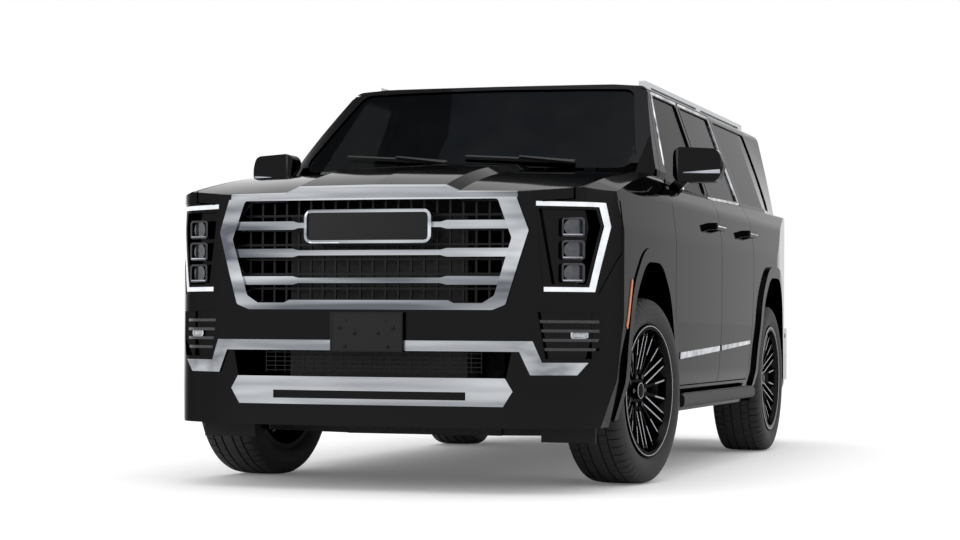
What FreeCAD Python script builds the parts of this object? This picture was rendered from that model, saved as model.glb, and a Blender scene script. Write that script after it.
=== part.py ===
import FreeCAD
import Part
import math
import os

V = FreeCAD.Vector

# Frame: millimetres, +Z up, the vehicle faces -Y, +X is its left-hand side.
# The origin lies on the ground under the middle of the outer box.

# Overall
OVERALL_LENGTH = 5340.0
FRONT_OVERHANG = 1000.0
WHEELBASE = 3071.0
GROUND = 0.0
FRONT_AXLE_Y = FRONT_OVERHANG - OVERALL_LENGTH / 2
REAR_AXLE_Y = FRONT_AXLE_Y + WHEELBASE

# General gaps
PANEL_GAP = 6.0
PART_GAP = 1.0
SWING_GAP = 8.0
BIG = 4000.0

# Body in plan: half widths and distances ahead of the front axle
BODY_HALF_WIDTH = 1012.0
PLAN_HALF_WIDTH = 1017.0
NOSE_AHEAD = 985.0
NOSE_EDGE_HALF = 660.0
NOSE_EDGE_AHEAD = 948.0
NOSE_EDGE_ROUND = 300.0
CORNER_HALF = 925.0
CORNER_AHEAD = 782.0
CORNER_ROUND = 260.0
NOSE_SIDE_AHEAD = 600.0
NOSE_SIDE_ROUND = 330.0

# Tail in plan: distances behind the front axle
TAIL_BACK = 4228.0
TAIL_EDGE_HALF = 700.0
TAIL_EDGE_BACK = 4205.0
TAIL_EDGE_ROUND = 400.0
TAIL_CORNER_HALF = 912.0
TAIL_CORNER_BACK = 4085.0
TAIL_CORNER_ROUND = 150.0
TAIL_SIDE_BACK = 3240.0

# Body side seen from the front: half widths and heights
FLOOR_Z = 300.0
SILL_HALF = 950.0
TUCK_HALF = 996.0
TUCK_Z = 470.0
WAIST_HALF = 1012.0
WAIST_Z = 730.0
WAIST_ROUND = 900.0
CREASE_HALF = 1012.0
CREASE_Z = 1125.0
CREASE_ROUND = 400.0
SHOULDER_HALF = 990.0
SHOULDER_Z = 1295.0
SHOULDER_ROUND = 120.0
FENDER_TOP_HALF = 950.0
FENDER_TOP_Z = 1388.0
FENDER_TOP_ROUND = 50.0
FENDER_INNER_HALF = 880.0
FENDER_INNER_Z = 1440.0
BODY_CROWN_Z = 1520.0

# Belt line behind the front door cut
BELT_Z = 1354.0
BELT_REAR_Z = 1384.0
BELT_HALF = 958.0
BELT_ROUND = 26.0

# Hood and fender tops at four stations from the front axle
NOSE_STATION = -1010.0
FRONT_STATION = -500.0
MIDDLE_STATION = 0.0
COWL_STATION = 560.0
NOSE_CENTRE_Z = 1277.0
NOSE_DOME_Z = 1274.0
NOSE_EDGE_Z = 1243.0
NOSE_SIDE_Z = 1196.0
FRONT_CENTRE_Z = 1391.0
FRONT_DOME_Z = 1385.0
FRONT_EDGE_Z = 1338.0
FRONT_SIDE_Z = 1290.0
MIDDLE_CENTRE_Z = 1450.0
MIDDLE_DOME_Z = 1444.0
MIDDLE_EDGE_Z = 1400.0
MIDDLE_SIDE_Z = 1352.0
COWL_CENTRE_Z = 1482.0
COWL_DOME_Z = 1478.0
COWL_EDGE_Z = 1420.0
COWL_SIDE_Z = 1368.0
DOME_HALF = 330.0
VALLEY_HALF = 390.0
VALLEY_DROP = 26.0
HOOD_EDGE_HALF = 892.0

# Greenhouse seen from the front
GLASS_FOOT_HALF = 946.0
GLASS_FOOT_Z = 1354.0
GLASS_HEAD_HALF = 766.0
GLASS_HEAD_Z = 1866.0
ROOF_EDGE_HALF = 742.0
ROOF_EDGE_Z = 1893.0
ROOF_EDGE_ROUND = 46.0
ROOF_Z = 1938.0

# Windshield and rear glass
SCREEN_FOOT_CENTRE = 236.0
SCREEN_FOOT_MID = 262.0
SCREEN_MID_HALF = 500.0
SCREEN_FOOT_CORNER = 345.0
SCREEN_CORNER_HALF = 850.0
SCREEN_CORNER_ROUND = 260.0
SCREEN_SIDE = 640.0
SCREEN_FOOT_Z = 1452.0
SCREEN_RISE = 455.0
SCREEN_RUN = 640.0
ROOF_FRONT = 885.0
ROOF_FRONT_Z = 1900.0
ROOF_HIGH_FRONT = 1500.0
ROOF_HIGH_REAR = 2600.0
ROOF_REAR = 4040.0
ROOF_REAR_Z = 1878.0
ROOF_HIGH_ROUND = 4000.0
REAR_FOOT_CENTRE = 4195.0
REAR_FOOT_MID = 4165.0
REAR_MID_HALF = 560.0
REAR_FOOT_CORNER = 4060.0
REAR_CORNER_HALF = 905.0
REAR_CORNER_ROUND = 150.0
REAR_FOOT_Z = 1366.0
REAR_RISE = 500.0
REAR_RUN = 175.0

# Wall thicknesses
WALL_SIDE = 84.0
WALL_TOP = 44.0
WALL_GLASSHOUSE = 46.0
WALL_END = 100.0
GLASS_THICK = 5.0
GLASS_SET_IN = 7.0

# Outline details
TINY = 0.001
ROUND_SHARE = 0.48
NOSE_CROWN_ROUND = 6000.0
TAIL_SIDE_ROUND = 3000.0
TUCK_ROUND = 200.0
FOOT_SPREAD = 18.0
FOOT_BURY = 50.0
GLASS_HEAD_ROUND = 120.0
ROOF_CROWN_ROUND = 9000.0
ROOF_TAIL_FALL = 0.12
SCREEN_MID_ROUND = 2500.0
REAR_SIDE_SPREAD = 60.0
REAR_SIDE_BACK = 3600.0

# Doors and pillars: distances behind the front axle
DOOR_CUT = 462.0
DOOR_KICK_Z = 780.0
DOOR_CUT_LOW = 548.0
DOOR_BOTTOM_Z = 428.0
DOOR_TOP_Z = 1872.0
DOOR_REACH_IN = 716.0
PILLAR_FOOT_Z = 1362.0
PILLAR_HEAD = 918.0
B_CUT = 1566.0
C_CUT_LOW = 2385.0
C_CUT_MID = 2478.0
C_CUT_MID_Z = 1010.0
C_CUT_TOP = 2420.0
DOOR_FLANGE = 30.0
FRAME_FLANGE = 12.0
DOOR_STEP = 24.0

# Side windows
WINDOW_LOW_Z = 1378.0
WINDOW_REAR_LOW_Z = 1398.0
WINDOW_TOP_Z = 1848.0
WINDOW_ROUND = 40.0
FRONT_WINDOW_TIP = 612.0
FRONT_WINDOW_HEAD = 985.0
FRONT_WINDOW_END = 1500.0
REAR_WINDOW_START = 1618.0
REAR_WINDOW_END_LOW = 2392.0
REAR_WINDOW_END_TOP = 2340.0
QUARTER_START_LOW = 2520.0
QUARTER_START_TOP = 2462.0
QUARTER_END_LOW = 3640.0
QUARTER_END_TOP = 3400.0

# Windshield, roof and liftgate openings
SCREEN_LOW_Z = 1446.0
SCREEN_LOW_HALF = 842.0
SCREEN_TOP_Z = 1874.0
SCREEN_TOP_HALF = 700.0
SCREEN_OPENING_ROUND = 60.0
SCREEN_OPENING_BACK = 1150.0
ROOF_HALF = 640.0
ROOF_CUT = 3925.0
GATE_LOW_Z = 716.0
GATE_LOW_HALF = 750.0
GATE_BELT_HALF = 796.0
GATE_TOP_HALF = 664.0
GATE_START = 3931.0
GATE_WINDOW_LOW_Z = 1400.0
GATE_WINDOW_LOW_HALF = 676.0
GATE_WINDOW_TOP_Z = 1802.0
GATE_WINDOW_TOP_HALF = 612.0
PLATE_RECESS_HALF = 270.0
PLATE_RECESS_LOW_Z = 930.0
PLATE_RECESS_TOP_Z = 1080.0
PLATE_RECESS_DEEP = 30.0

# Hood
HOOD_NOSE_AHEAD = 925.0
HOOD_NOSE_CORNER_AHEAD = 850.0
HOOD_NOSE_CORNER_HALF = 868.0
HOOD_NOSE_MID_HALF = 640.0
HOOD_NOSE_ROUND = 120.0
HOOD_REAR = 196.0
HOOD_REAR_HALF = 890.0
COWL_REAR = 640.0
COWL_DROP = 34.0
COWL_THICK = 12.0

# Wheel arches and flares
ARCH_FRONT_SHIFT = -18.0
ARCH_HALF = 462.0
ARCH_SIDE_Z = 540.0
ARCH_SHOULDER_HALF = 352.0
ARCH_SHOULDER_Z = 838.0
ARCH_CROWN_HALF = 158.0
ARCH_TOP_Z = 992.0
ARCH_SIDE_ROUND = 420.0
ARCH_SHOULDER_ROUND = 330.0
ARCH_CROWN_ROUND = 260.0
FLARE_WIDTH = 64.0
LINER_HALF = 500.0
LINER_SHOULDER_HALF = 408.0
LINER_TOP_Z = 1010.0
LINER_SIDE_Z = 660.0
LINER_ROUND = 230.0
FLARE_OUT = 17.0
FLARE_DEEP = 24.0
LINER_WALL = 8.0
LINER_INNER_HALF = 470.0
REAR_LINER_INNER_HALF = 640.0
LINER_OUTER_HALF = 942.0
LINER_DOOR_HALF = 906.0
LINER_WINDOW_HALF = 238.0
LINER_WINDOW_TOP_Z = 646.0
REAR_WINDOW_HALF = 150.0
REAR_WINDOW_TOP_Z = 560.0
LINER_LOW_Z = 420.0

# Rocker and posts
ROCKER_IN = 800.0
POST_HALF = 52.0
POST_DEEP = 55.0
POST_LOW_Z = 340.0
POST_CAP_IN = 645.0
POST_CAP_OUT = 704.0
POST_CAP_LOW_Z = 1815.0
POST_CAP_TOP_Z = 1884.0

# Front fascia
FASCIA_CUT = -592.0
FASCIA_LOW_Z = 276.0
FASCIA_WALL = 96.0
GRILLE_KINK_Z = 1099.0
GRILLE_KINK_HALF = 693.0
GRILLE_LOW_Z = 768.0
GRILLE_LOW_HALF = 545.0
GRILLE_PROUD = 20.0
GRILLE_DEEP = 70.0
LAMP_INNER_TOP_HALF = 712.0
LAMP_INNER_LOW_HALF = 742.0
LAMP_OUTER_LOW_HALF = 930.0
LAMP_OUTER_MID_Z = 1073.0
LAMP_DEEP = 60.0
FOG_LOW_Z = 566.0
FOG_TOP_Z = 760.0

# Tail lamps and rear bumper
TAIL_LAMP_LOW_Z = 905.0
TAIL_LAMP_TOP_Z = 1330.0
TAIL_LAMP_INNER_HALF = 806.0
TAIL_LAMP_START = 4010.0
REAR_BUMPER_TOP_Z = 706.0
REAR_BUMPER_LOW_Z = 392.0
REAR_BUMPER_OUT = 100.0
REAR_BUMPER_WALL = 60.0
REAR_BUMPER_START = 3700.0
REAR_STEP_Z = 668.0
REAR_STEP_LOW_Z = 596.0
REAR_STEP_HALF = 520.0
REAR_STEP_DEEP = 46.0
REAR_STEP_ROUND = 18.0

# Door handles and mirrors
HANDLE_IN_HALF = 1006.0
HANDLE_STAND = 26.0
HANDLE_THICK = 14.0
HANDLE_LENGTH = 236.0
HANDLE_HEIGHT = 34.0
HANDLE_ROUND = 10.0
HANDLE_FOOT = 34.0
HANDLE_FOOT_IN = 985.0
HANDLE_Z = 1196.0
FRONT_HANDLE_START = 1270.0
REAR_HANDLE_START = 2175.0
MIRROR_IN = 966.0
MIRROR_OUT = 1206.0
MIRROR_LOW_Z = 1392.0
MIRROR_TOP_Z = 1560.0
MIRROR_FALL = 10.0
MIRROR_SHOULDER = 1176.0
MIRROR_TIP_Z = 1470.0
MIRROR_TIP_ROUND = 60.0
MIRROR_ROUND = 42.0
MIRROR_FRONT = 560.0
MIRROR_DEEP = 122.0
MIRROR_SWEEP = 52.0
MIRROR_PLAN_ROUND = 60.0
MIRROR_ARM_IN = 944.0
MIRROR_ARM_LOW_Z = 1300.0
MIRROR_ARM_TOP_Z = 1376.0
MIRROR_ARM_LAP = 34.0
MIRROR_ARM_SET = 40.0
MIRROR_ARM_WIDE = 62.0

# Wheels
TYRE_RADIUS = 417.0
TYRE_WIDTH = 275.0
TYRE_SIDES = 60
TYRE_CROWN_SHARE = 0.62
TYRE_SHOULDER_SHARE = 0.86
TYRE_SHOULDER_RADIUS = 407.0
TYRE_FLANK_SHARE = 0.965
TYRE_FLANK_RADIUS = 382.0
TYRE_BULGE_RADIUS = 344.0
RIM_RADIUS = 282.0
RIM_WIDTH = 236.0
RIM_LIP = 16.0
RIM_LIP_WIDE = 14.0
RIM_WALL = 9.0
RIM_WELL_RADIUS = 236.0
TRACK_HALF = 870.0
STEER_REST = 8.0
KINGPIN_HALF = 800.0
HUB_RADIUS = 86.0
HUB_CAP_RADIUS = 38.0
SPOKE_COUNT = 6
SPOKE_PAIR_HALF = 20.0
SPOKE_FORK_HALF = 46.0
SPOKE_END_TALL = 12.0
SPOKE_ROOT_RADIUS = 66.0
SPOKE_TIP_RADIUS = 262.0
SPOKE_ROOT_WIDE = 16.0
SPOKE_TIP_WIDE = 13.0
SPOKE_DEEP = 34.0
SPOKE_FACE_ROOT = 70.0
SPOKE_FACE_TIP = 112.0
STUD_CIRCLE = 139.7
STUD_COUNT = 6
STUD_HOLE_RADIUS = 7.5

# Knuckles, suspension, axle
DISC_RADIUS = 165.0
DISC_THICK = 30.0
DISC_FACE = 26.0
KNUCKLE_TALL = 342.0
KNUCKLE_WIDE = 90.0
KNUCKLE_DEEP = 56.0
JOINT_GAP = 1.0
ARM_IN = 330.0
ARM_THICK = 34.0
ARM_SPREAD = 190.0
ARM_END_WIDE = 70.0
AXLE_RADIUS = 44.0
DIFF_RADIUS = 150.0
DIFF_LONG = 280.0
REAR_HUB_HALF = 742.0

# Ladder frame
RAIL_OUT = 440.0
RAIL_WIDE = 84.0
RAIL_TALL = 150.0
RAIL_LOW_Z = 300.0
RAIL_FRONT = -760.0
RAIL_REAR = 4120.0
RAIL_MID_OUT = 620.0
RAIL_FLARE_START = 640.0
RAIL_FLARE_END = 1000.0
RAIL_NARROW_START = 2280.0
RAIL_NARROW_END = 2560.0
RAIL_RISE = 168.0
RAIL_LIFT_START = 2490.0
RAIL_LIFT_LONG = 240.0
CROSS_TALL = 60.0
CROSS_WIDE = 110.0
CROSS_PLACES = (-700.0, 760.0, 1560.0, 2240.0, 3560.0)
HITCH_SQUARE = 50.8
HITCH_WALL = 7.0
HITCH_LONG = 240.0
HITCH_Z = 352.0
HITCH_END = 4290.0
HITCH_PIN_RADIUS = 8.0

# Floor, bulkhead, engine, tank
FLOOR_HALF = 796.0
FLOOR_TOP_Z = 500.0
FLOOR_THICK = 40.0
FLOOR_FRONT = 560.0
FLOOR_STEP = 2440.0
FLOOR_STEP_Z = 700.0
FLOOR_REAR = 4120.0
TUB_HALF = 632.0
BULKHEAD_BACK = 552.0
BULKHEAD_THICK = 36.0
BULKHEAD_HALF = 862.0
BULKHEAD_LOW_Z = 470.0
BULKHEAD_TOP_Z = 1400.0
ENGINE_HALF = 284.0
ENGINE_FRONT = -330.0
ENGINE_REAR = 430.0
ENGINE_LOW_Z = 470.0
ENGINE_TOP_Z = 1130.0
GEARBOX_HALF = 138.0
GEARBOX_REAR = 1240.0
GEARBOX_LOW_Z = 366.0
GEARBOX_TOP_Z = 536.0
TANK_IN = 62.0
TANK_OUT = 506.0
TANK_FRONT = 1640.0
TANK_REAR = 2165.0
TANK_LOW_Z = 262.0
TANK_TOP_Z = 440.0
MUFFLER_FRONT = 1660.0
MUFFLER_REAR = 2150.0
MUFFLER_X = -300.0
MUFFLER_RADIUS = 84.0
MUFFLER_Z = 350.0
PIPE_RADIUS = 27.0
PIPE_Z = 392.0
PIPE_FRONT = 560.0

# Running boards and roof rails
BOARD_OUT = 1020.0
BOARD_IN = 876.0
BOARD_TOP_Z = 392.0
BOARD_LOW_Z = 322.0
BOARD_START = 620.0
BOARD_END = 2470.0
BOARD_ROUND = 24.0
RAIL_ROOF_HALF = 700.0
RAIL_ROOF_START = 1080.0
RAIL_ROOF_END = 3660.0
RAIL_ROOF_Z = 1912.0
RAIL_ROOF_TALL = 22.0
RAIL_ROOF_WIDE = 34.0
RAIL_FOOT_LONG = 120.0
RAIL_FOOT_LOW_Z = 1880.0

# Cabin
SEAT_WIDE = 520.0
SEAT_X = 420.0
SEAT_FRONT = 1060.0
SEAT_LONG = 520.0
SEAT_LOW_Z = 700.0
SEAT_TOP_Z = 850.0
SEAT_BACK_TOP_Z = 1430.0
SEAT_BACK_THICK = 130.0
SEAT_BACK_LEAN = 150.0
SEAT_ROUND = 50.0
HEADREST_WIDE = 270.0
HEADREST_LOW_Z = 1460.0
HEADREST_TOP_Z = 1640.0
HEADREST_DEEP = 100.0
SECOND_ROW = 1950.0
THIRD_ROW = 2830.0
BENCH_X = 350.0
BENCH_WIDE = 460.0
ROW_RISE = 90.0
DASH_HALF = 790.0
DASH_FRONT = 570.0
DASH_REAR = 880.0
DASH_LOW_Z = 820.0
DASH_TOP_Z = 1290.0
DASH_ROUND = 90.0
CONSOLE_HALF = 120.0
CONSOLE_REAR = 1560.0
CONSOLE_TOP_Z = 830.0
WHEEL_X = 400.0
WHEEL_Y = 1010.0
WHEEL_Z = 1205.0
WHEEL_RING = 180.0
WHEEL_GRIP = 16.0
GRIP_STEP = 45
WHEEL_LEAN = 28.0
COLUMN_LONG = 180.0
COLUMN_RADIUS = 34.0

# Grille, lamps and lower trim seen from the front
GRILLE_HEAD_Z = 1320.0
GRILLE_HEAD_HALF = 638.0
GRILLE_SHOULDER_Z = 1238.0
GRILLE_SHOULDER_HALF = 644.0
GRILLE_MOUTH_TOP_Z = 1231.0
GRILLE_CORNER_HALF = 601.0
GRILLE_CORNER_Z = 790.0
GRILLE_MOUTH_TOP_HALF = 566.0
GRILLE_MOUTH_KINK_HALF = 625.0
GRILLE_MOUTH_KINK_Z = 1068.0
GRILLE_MOUTH_CORNER_HALF = 553.0
GRILLE_MOUTH_CORNER_Z = 828.0
GRILLE_MOUTH_LOW_Z = 796.0
GRILLE_MOUTH_LOW_HALF = 502.0
GRILLE_STEP_Z = 808.0
GRILLE_STEP_HALF = 356.0
GRILLE_STEP_RUN = 24.0
GRILLE_MOUTH_ROUND = 16.0
BAR_PLACES = (1125.0, 1008.0, 891.0)
BAR_TALL_END = 36.0
BAR_TALL_MID = 22.0
BAR_STEP_HALF = 318.0
BAR_STEP_RUN = 26.0
BAR_PROUD = 8.0
BAR_DEEP = 46.0
PLATE_HALF = 284.0
PLATE_LOW_Z = 1047.0
PLATE_TOP_Z = 1190.0
PLATE_ROUND = 34.0
PLATE_RIM = 13.0
PLATE_PROUD = 30.0
PLATE_SINK = 8.0
MESH_FRONT = 44.0
MESH_DEEP = 12.0
MESH_ROWS = 12
MESH_COLUMNS = 22
MESH_BAR = 9.0
RADIATOR_HALF = 400.0
RADIATOR_FRONT = -850.0
RADIATOR_THICK = 50.0
RADIATOR_LOW_Z = 480.0
RADIATOR_TOP_Z = 1170.0
LAMP_OUTER_HALF = 1030.0
LAMP_OUTER_TOP_Z = 1236.0
LAMP_COVER_SET = 3.0
LIGHT_BAR = 19.0
LIGHT_TOP_Z = 1222.0
LIGHT_LOW_Z = 846.0
LIGHT_KINK_Z = 1122.0
LIGHT_KINK_HALF = 977.0
LIGHT_OUTER_TOP_HALF = 962.0
LIGHT_OUTER_LOW_HALF = 930.0
LIGHT_DEEP = 18.0
LAMP_POCKET_DEEP = 46.0
LAMP_POCKET_EDGE = 12.0
MODULE_COUNT = 3
MODULE_X = 850.0
MODULE_RADIUS = 36.0
MODULE_LOW_Z = 925.0
MODULE_PITCH = 96.0
MODULE_FRONT = 16.0
STRIP_TOP_Z = 639.0
STRIP_LOW_Z = 595.0
STRIP_KINK_TOP_HALF = 707.0
STRIP_KINK_LOW_HALF = 655.0
STRIP_OUT_TOP_Z = 550.0
STRIP_OUT_LOW_Z = 498.0
STRIP_BEND_TOP_HALF = 742.0
STRIP_BEND_LOW_HALF = 698.0
STRIP_END_TOP_HALF = 912.0
STRIP_END_LOW_HALF = 872.0
STRIP_PROUD = 8.0
STRIP_DEEP = 24.0
SKID_TOP_Z = 484.0
SKID_LOW_Z = 366.0
SKID_TOP_HALF = 598.0
SKID_MID_HALF = 630.0
SKID_MID_Z = 430.0
SKID_LOW_HALF = 590.0
SKID_SLOT_HALF = 430.0
SKID_SLOT_LOW_Z = 391.0
SKID_SLOT_TOP_Z = 425.0
SKID_PROUD = 10.0
MOUTH_LOW_HALF = 600.0
MOUTH_TOP_HALF = 622.0
PLATE_BRACKET_HALF = 162.0
PLATE_BRACKET_LOW_Z = 590.0
PLATE_BRACKET_TOP_Z = 757.0
PLATE_HOLE_SPACING = 178.0
PLATE_HOLE_Z = 722.0
PLATE_HOLE_RADIUS = 3.0
PLATE_HOLE_DEEP = 12.0
FOG_INNER_LOW_HALF = 752.0
FOG_INNER_TOP_HALF = 722.0
FOG_OUTER_LOW_HALF = 935.0
FOG_OUTER_TOP_HALF = 985.0
FOG_DEEP = 42.0
FIN_COUNT = 4
FIN_TALL = 12.0
FIN_DEEP = 30.0
FLAP_FRONT = -620.0
FLAP_THICK = 12.0
FLAP_IN = 660.0
FLAP_OUT = 900.0
FLAP_LOW_Z = 206.0

# Further small sizes
SPOKE_DRAFT = 0.6
HITCH_PIN_BACK = 70.0
HITCH_BEAM = 80.0
LINK_HALF = 520.0
LINK_FRONT = 2600.0
LINK_Z = 400.0
LINK_EYE_RADIUS = 24.0
TUNNEL_HALF = 190.0
TUNNEL_REAR = 1500.0
TUNNEL_RISE = 90.0
COWL_LIP_Z = 1425.0
ENGINE_LAP = 60.0
SHAFT_X = 0.0
SHAFT_Z = 404.0
SHAFT_RADIUS = 34.0


def along(distance):
    """Frame Y of a distance behind the front axle."""
    return FRONT_AXLE_Y + distance


def path(points, place):
    """Closed outline: each point is (a, b) or (a, b, rounding radius)."""
    count = len(points)
    edges = []
    ends = []
    for index in range(count):
        before = points[index - 1]
        here = points[index]
        after = points[(index + 1) % count]
        radius = here[2] if len(here) > 2 else 0.0
        corner = V(here[0], here[1], 0)
        back = V(before[0], before[1], 0) - corner
        ahead = V(after[0], after[1], 0) - corner
        reach = 0.0
        half = back.getAngle(ahead) / 2
        if radius > 0:
            reach = radius / math.tan(half)
            longest = min(back.Length, ahead.Length) * ROUND_SHARE
            if reach > longest:
                reach = longest
                radius = reach * math.tan(half)
        back.normalize()
        ahead.normalize()
        start = corner + back * reach
        finish = corner + ahead * reach
        if radius > 0:
            middle = (back + ahead).normalize()
            middle = corner + middle * (radius / math.sin(half) - radius)
            ends.append((start, middle, finish))
        else:
            ends.append((corner, None, corner))
    for index in range(count):
        start, middle, finish = ends[index]
        if middle is not None:
            edges.append(Part.Arc(place(start), place(middle), place(finish)).toShape())
        following = ends[(index + 1) % count][0]
        if finish.distanceToPoint(following) > TINY:
            edges.append(Part.LineSegment(place(finish), place(following)).toShape())
    return Part.Wire(edges)


def inset(points, depth):
    """Convex outline with every side moved inwards by the depth."""
    if depth == 0:
        return list(points)
    count = len(points)
    area = sum(points[i - 1][0] * points[i][1] - points[i][0] * points[i - 1][1] for i in range(count))
    turn = 1 if area > 0 else -1
    lines = []
    for index in range(count):
        a = points[index]
        b = points[(index + 1) % count]
        dx = b[0] - a[0]
        dy = b[1] - a[1]
        size = math.hypot(dx, dy)
        nx = -dy / size * turn
        ny = dx / size * turn
        lines.append((a[0] + nx * depth, a[1] + ny * depth, dx / size, dy / size))
    moved = []
    for index in range(count):
        x1, y1, dx1, dy1 = lines[index - 1]
        x2, y2, dx2, dy2 = lines[index]
        cross = dx1 * dy2 - dy1 * dx2
        reach = ((x2 - x1) * dy2 - (y2 - y1) * dx2) / cross
        point = [x1 + dx1 * reach, y1 + dy1 * reach]
        if len(points[index]) > 2 and points[index][2] > depth:
            point.append(points[index][2] - depth)
        moved.append(tuple(point))
    return moved


def prism_x(points, low, high):
    """Outline in (y, z) drawn out along X."""
    wire = path(points, lambda p: V(low, p.x, p.y))
    return Part.Face(wire).extrude(V(high - low, 0, 0))


def prism_y(points, low, high):
    """Outline in (x, z) drawn out along Y."""
    wire = path(points, lambda p: V(p.x, low, p.y))
    return Part.Face(wire).extrude(V(0, high - low, 0))


def prism_z(points, low, high, lean=0.0):
    """Outline in (x, y) drawn out along Z, leaning along Y by a run."""
    wire = path(points, lambda p: V(p.x, p.y, low))
    return Part.Face(wire).extrude(V(0, lean, high - low))


def box(x_low, x_high, y_low, y_high, z_low, z_high):
    """Plain block between limits."""
    return Part.makeBox(x_high - x_low, y_high - y_low, z_high - z_low, V(x_low, y_low, z_low))


def rod(start, finish, radius):
    """Round bar between two points."""
    return Part.makeCylinder(radius, (finish - start).Length, start, finish - start)


def bar(start, finish, width, height):
    """Square-edged bar between two points."""
    run = finish - start
    shape = Part.makeBox(width, height, run.Length, V(-width / 2, -height / 2, 0))
    turn = FreeCAD.Rotation(V(0, 0, 1), run)
    shape.Placement = FreeCAD.Placement(start, turn)
    return shape


def flip(shape):
    """The same shape on the other side of the vehicle."""
    return shape.mirror(V(0, 0, 0), V(1, 0, 0))


def both(shape):
    """A shape and its mirror image as separate solids."""
    return Part.makeCompound(shape.Solids + flip(shape).Solids)


def join(shapes):
    """One solid from touching shapes."""
    whole = shapes[0]
    if len(shapes) > 1:
        whole = whole.fuse(shapes[1:])
    return whole.removeSplitter()


def mirrored(points):
    """Closed outline from its +X half, which runs from centre to centre."""
    half = [p for p in points]
    other = []
    for p in reversed(half):
        if p[0] != 0:
            other.append((-p[0],) + tuple(p[1:]))
    return half + other


def biggest(shape):
    """The largest solid of a shape."""
    return max(shape.Solids, key=lambda s: s.Volume)


# Body solids

FORMS = {}


def nose_outline():
    """Plan of the body ahead of the front door cut, from nose to well behind it."""
    return mirrored([
        (NOSE_EDGE_HALF, along(-NOSE_EDGE_AHEAD), NOSE_EDGE_ROUND),
        (CORNER_HALF, along(-CORNER_AHEAD), CORNER_ROUND),
        (PLAN_HALF_WIDTH, along(-NOSE_SIDE_AHEAD), NOSE_SIDE_ROUND),
        (PLAN_HALF_WIDTH, along(WHEELBASE)),
    ]) + [(0.0, along(-NOSE_AHEAD), NOSE_CROWN_ROUND)]


def tail_outline():
    """Plan of the body from well ahead of the rear wheels to the tail."""
    return mirrored([
        (PLAN_HALF_WIDTH, along(0.0)),
        (PLAN_HALF_WIDTH, along(TAIL_SIDE_BACK), TAIL_SIDE_ROUND),
        (TAIL_CORNER_HALF, along(TAIL_CORNER_BACK), TAIL_CORNER_ROUND),
        (TAIL_EDGE_HALF, along(TAIL_EDGE_BACK), TAIL_EDGE_ROUND),
        (0.0, along(TAIL_BACK), NOSE_CROWN_ROUND),
    ])


def side_section(low):
    """Front view of the body side, with the fender top."""
    return mirrored([
        (SILL_HALF, low),
        (TUCK_HALF, TUCK_Z, TUCK_ROUND),
        (WAIST_HALF, WAIST_Z, WAIST_ROUND),
        (CREASE_HALF, CREASE_Z, CREASE_ROUND),
        (SHOULDER_HALF, SHOULDER_Z, SHOULDER_ROUND),
        (FENDER_TOP_HALF, FENDER_TOP_Z, FENDER_TOP_ROUND),
        (FENDER_INNER_HALF, FENDER_INNER_Z),
        (0.0, BODY_CROWN_Z),
    ])


def belt_section(low, rise):
    """Front view of the body side behind the front door cut, up to the belt and a rise beyond."""
    slope = (SHOULDER_HALF - BELT_HALF) / (BELT_Z - SHOULDER_Z)
    return mirrored([
        (SILL_HALF, low),
        (TUCK_HALF, TUCK_Z, TUCK_ROUND),
        (WAIST_HALF, WAIST_Z, WAIST_ROUND),
        (CREASE_HALF, CREASE_Z, CREASE_ROUND),
        (SHOULDER_HALF, SHOULDER_Z, SHOULDER_ROUND),
        (BELT_HALF - rise * slope, BELT_Z + rise, BELT_ROUND),
    ])


def hood_wire(station, centre, dome, edge, side, drop):
    """Top outline of the hood and fenders at one station, closed far below."""
    y = along(station)
    half = [
        (0.0, centre - drop),
        (DOME_HALF, dome - drop),
        (VALLEY_HALF, dome - drop - VALLEY_DROP),
        (HOOD_EDGE_HALF, edge - drop),
        (BODY_HALF_WIDTH + PANEL_GAP, side - drop),
        (BODY_HALF_WIDTH + PANEL_GAP, GROUND),
    ]
    points = half + [(-p[0], p[1]) for p in reversed(half) if p[0] != 0]
    return Part.makePolygon([V(p[0], y, p[1]) for p in points + points[:1]])


def hood_top(drop):
    """Solid under the hood and fender tops."""
    rows = (
        (NOSE_STATION, NOSE_CENTRE_Z, NOSE_DOME_Z, NOSE_EDGE_Z, NOSE_SIDE_Z),
        (FRONT_STATION, FRONT_CENTRE_Z, FRONT_DOME_Z, FRONT_EDGE_Z, FRONT_SIDE_Z),
        (MIDDLE_STATION, MIDDLE_CENTRE_Z, MIDDLE_DOME_Z, MIDDLE_EDGE_Z, MIDDLE_SIDE_Z),
        (COWL_STATION, COWL_CENTRE_Z, COWL_DOME_Z, COWL_EDGE_Z, COWL_SIDE_Z),
    )
    wires = [hood_wire(*row, drop) for row in rows]
    return Part.makeLoft(wires, True, False)


def kept(key, make):
    """A form made once and used again."""
    if key not in FORMS:
        FORMS[key] = make()
    return FORMS[key]


def front_body(depth, drop, low=FLOOR_Z):
    """Outer form ahead of the front door cut, moved in by a depth."""
    return kept(("front", depth, drop, low), lambda: make_front_body(depth, drop, low))


def make_front_body(depth, drop, low):
    """Intersection of plan, front view and hood tops."""
    plan = prism_z(inset(nose_outline(), depth), GROUND, ROOF_Z)
    section = prism_y(inset(side_section(low), depth), along(NOSE_STATION), along(COWL_STATION))
    return plan.common(section).common(hood_top(drop))


def rear_body(depth, low=FLOOR_Z):
    """Outer form behind the front door cut, up to the belt."""
    return kept(("rear", depth, low), lambda: make_rear_body(depth, low))


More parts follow.
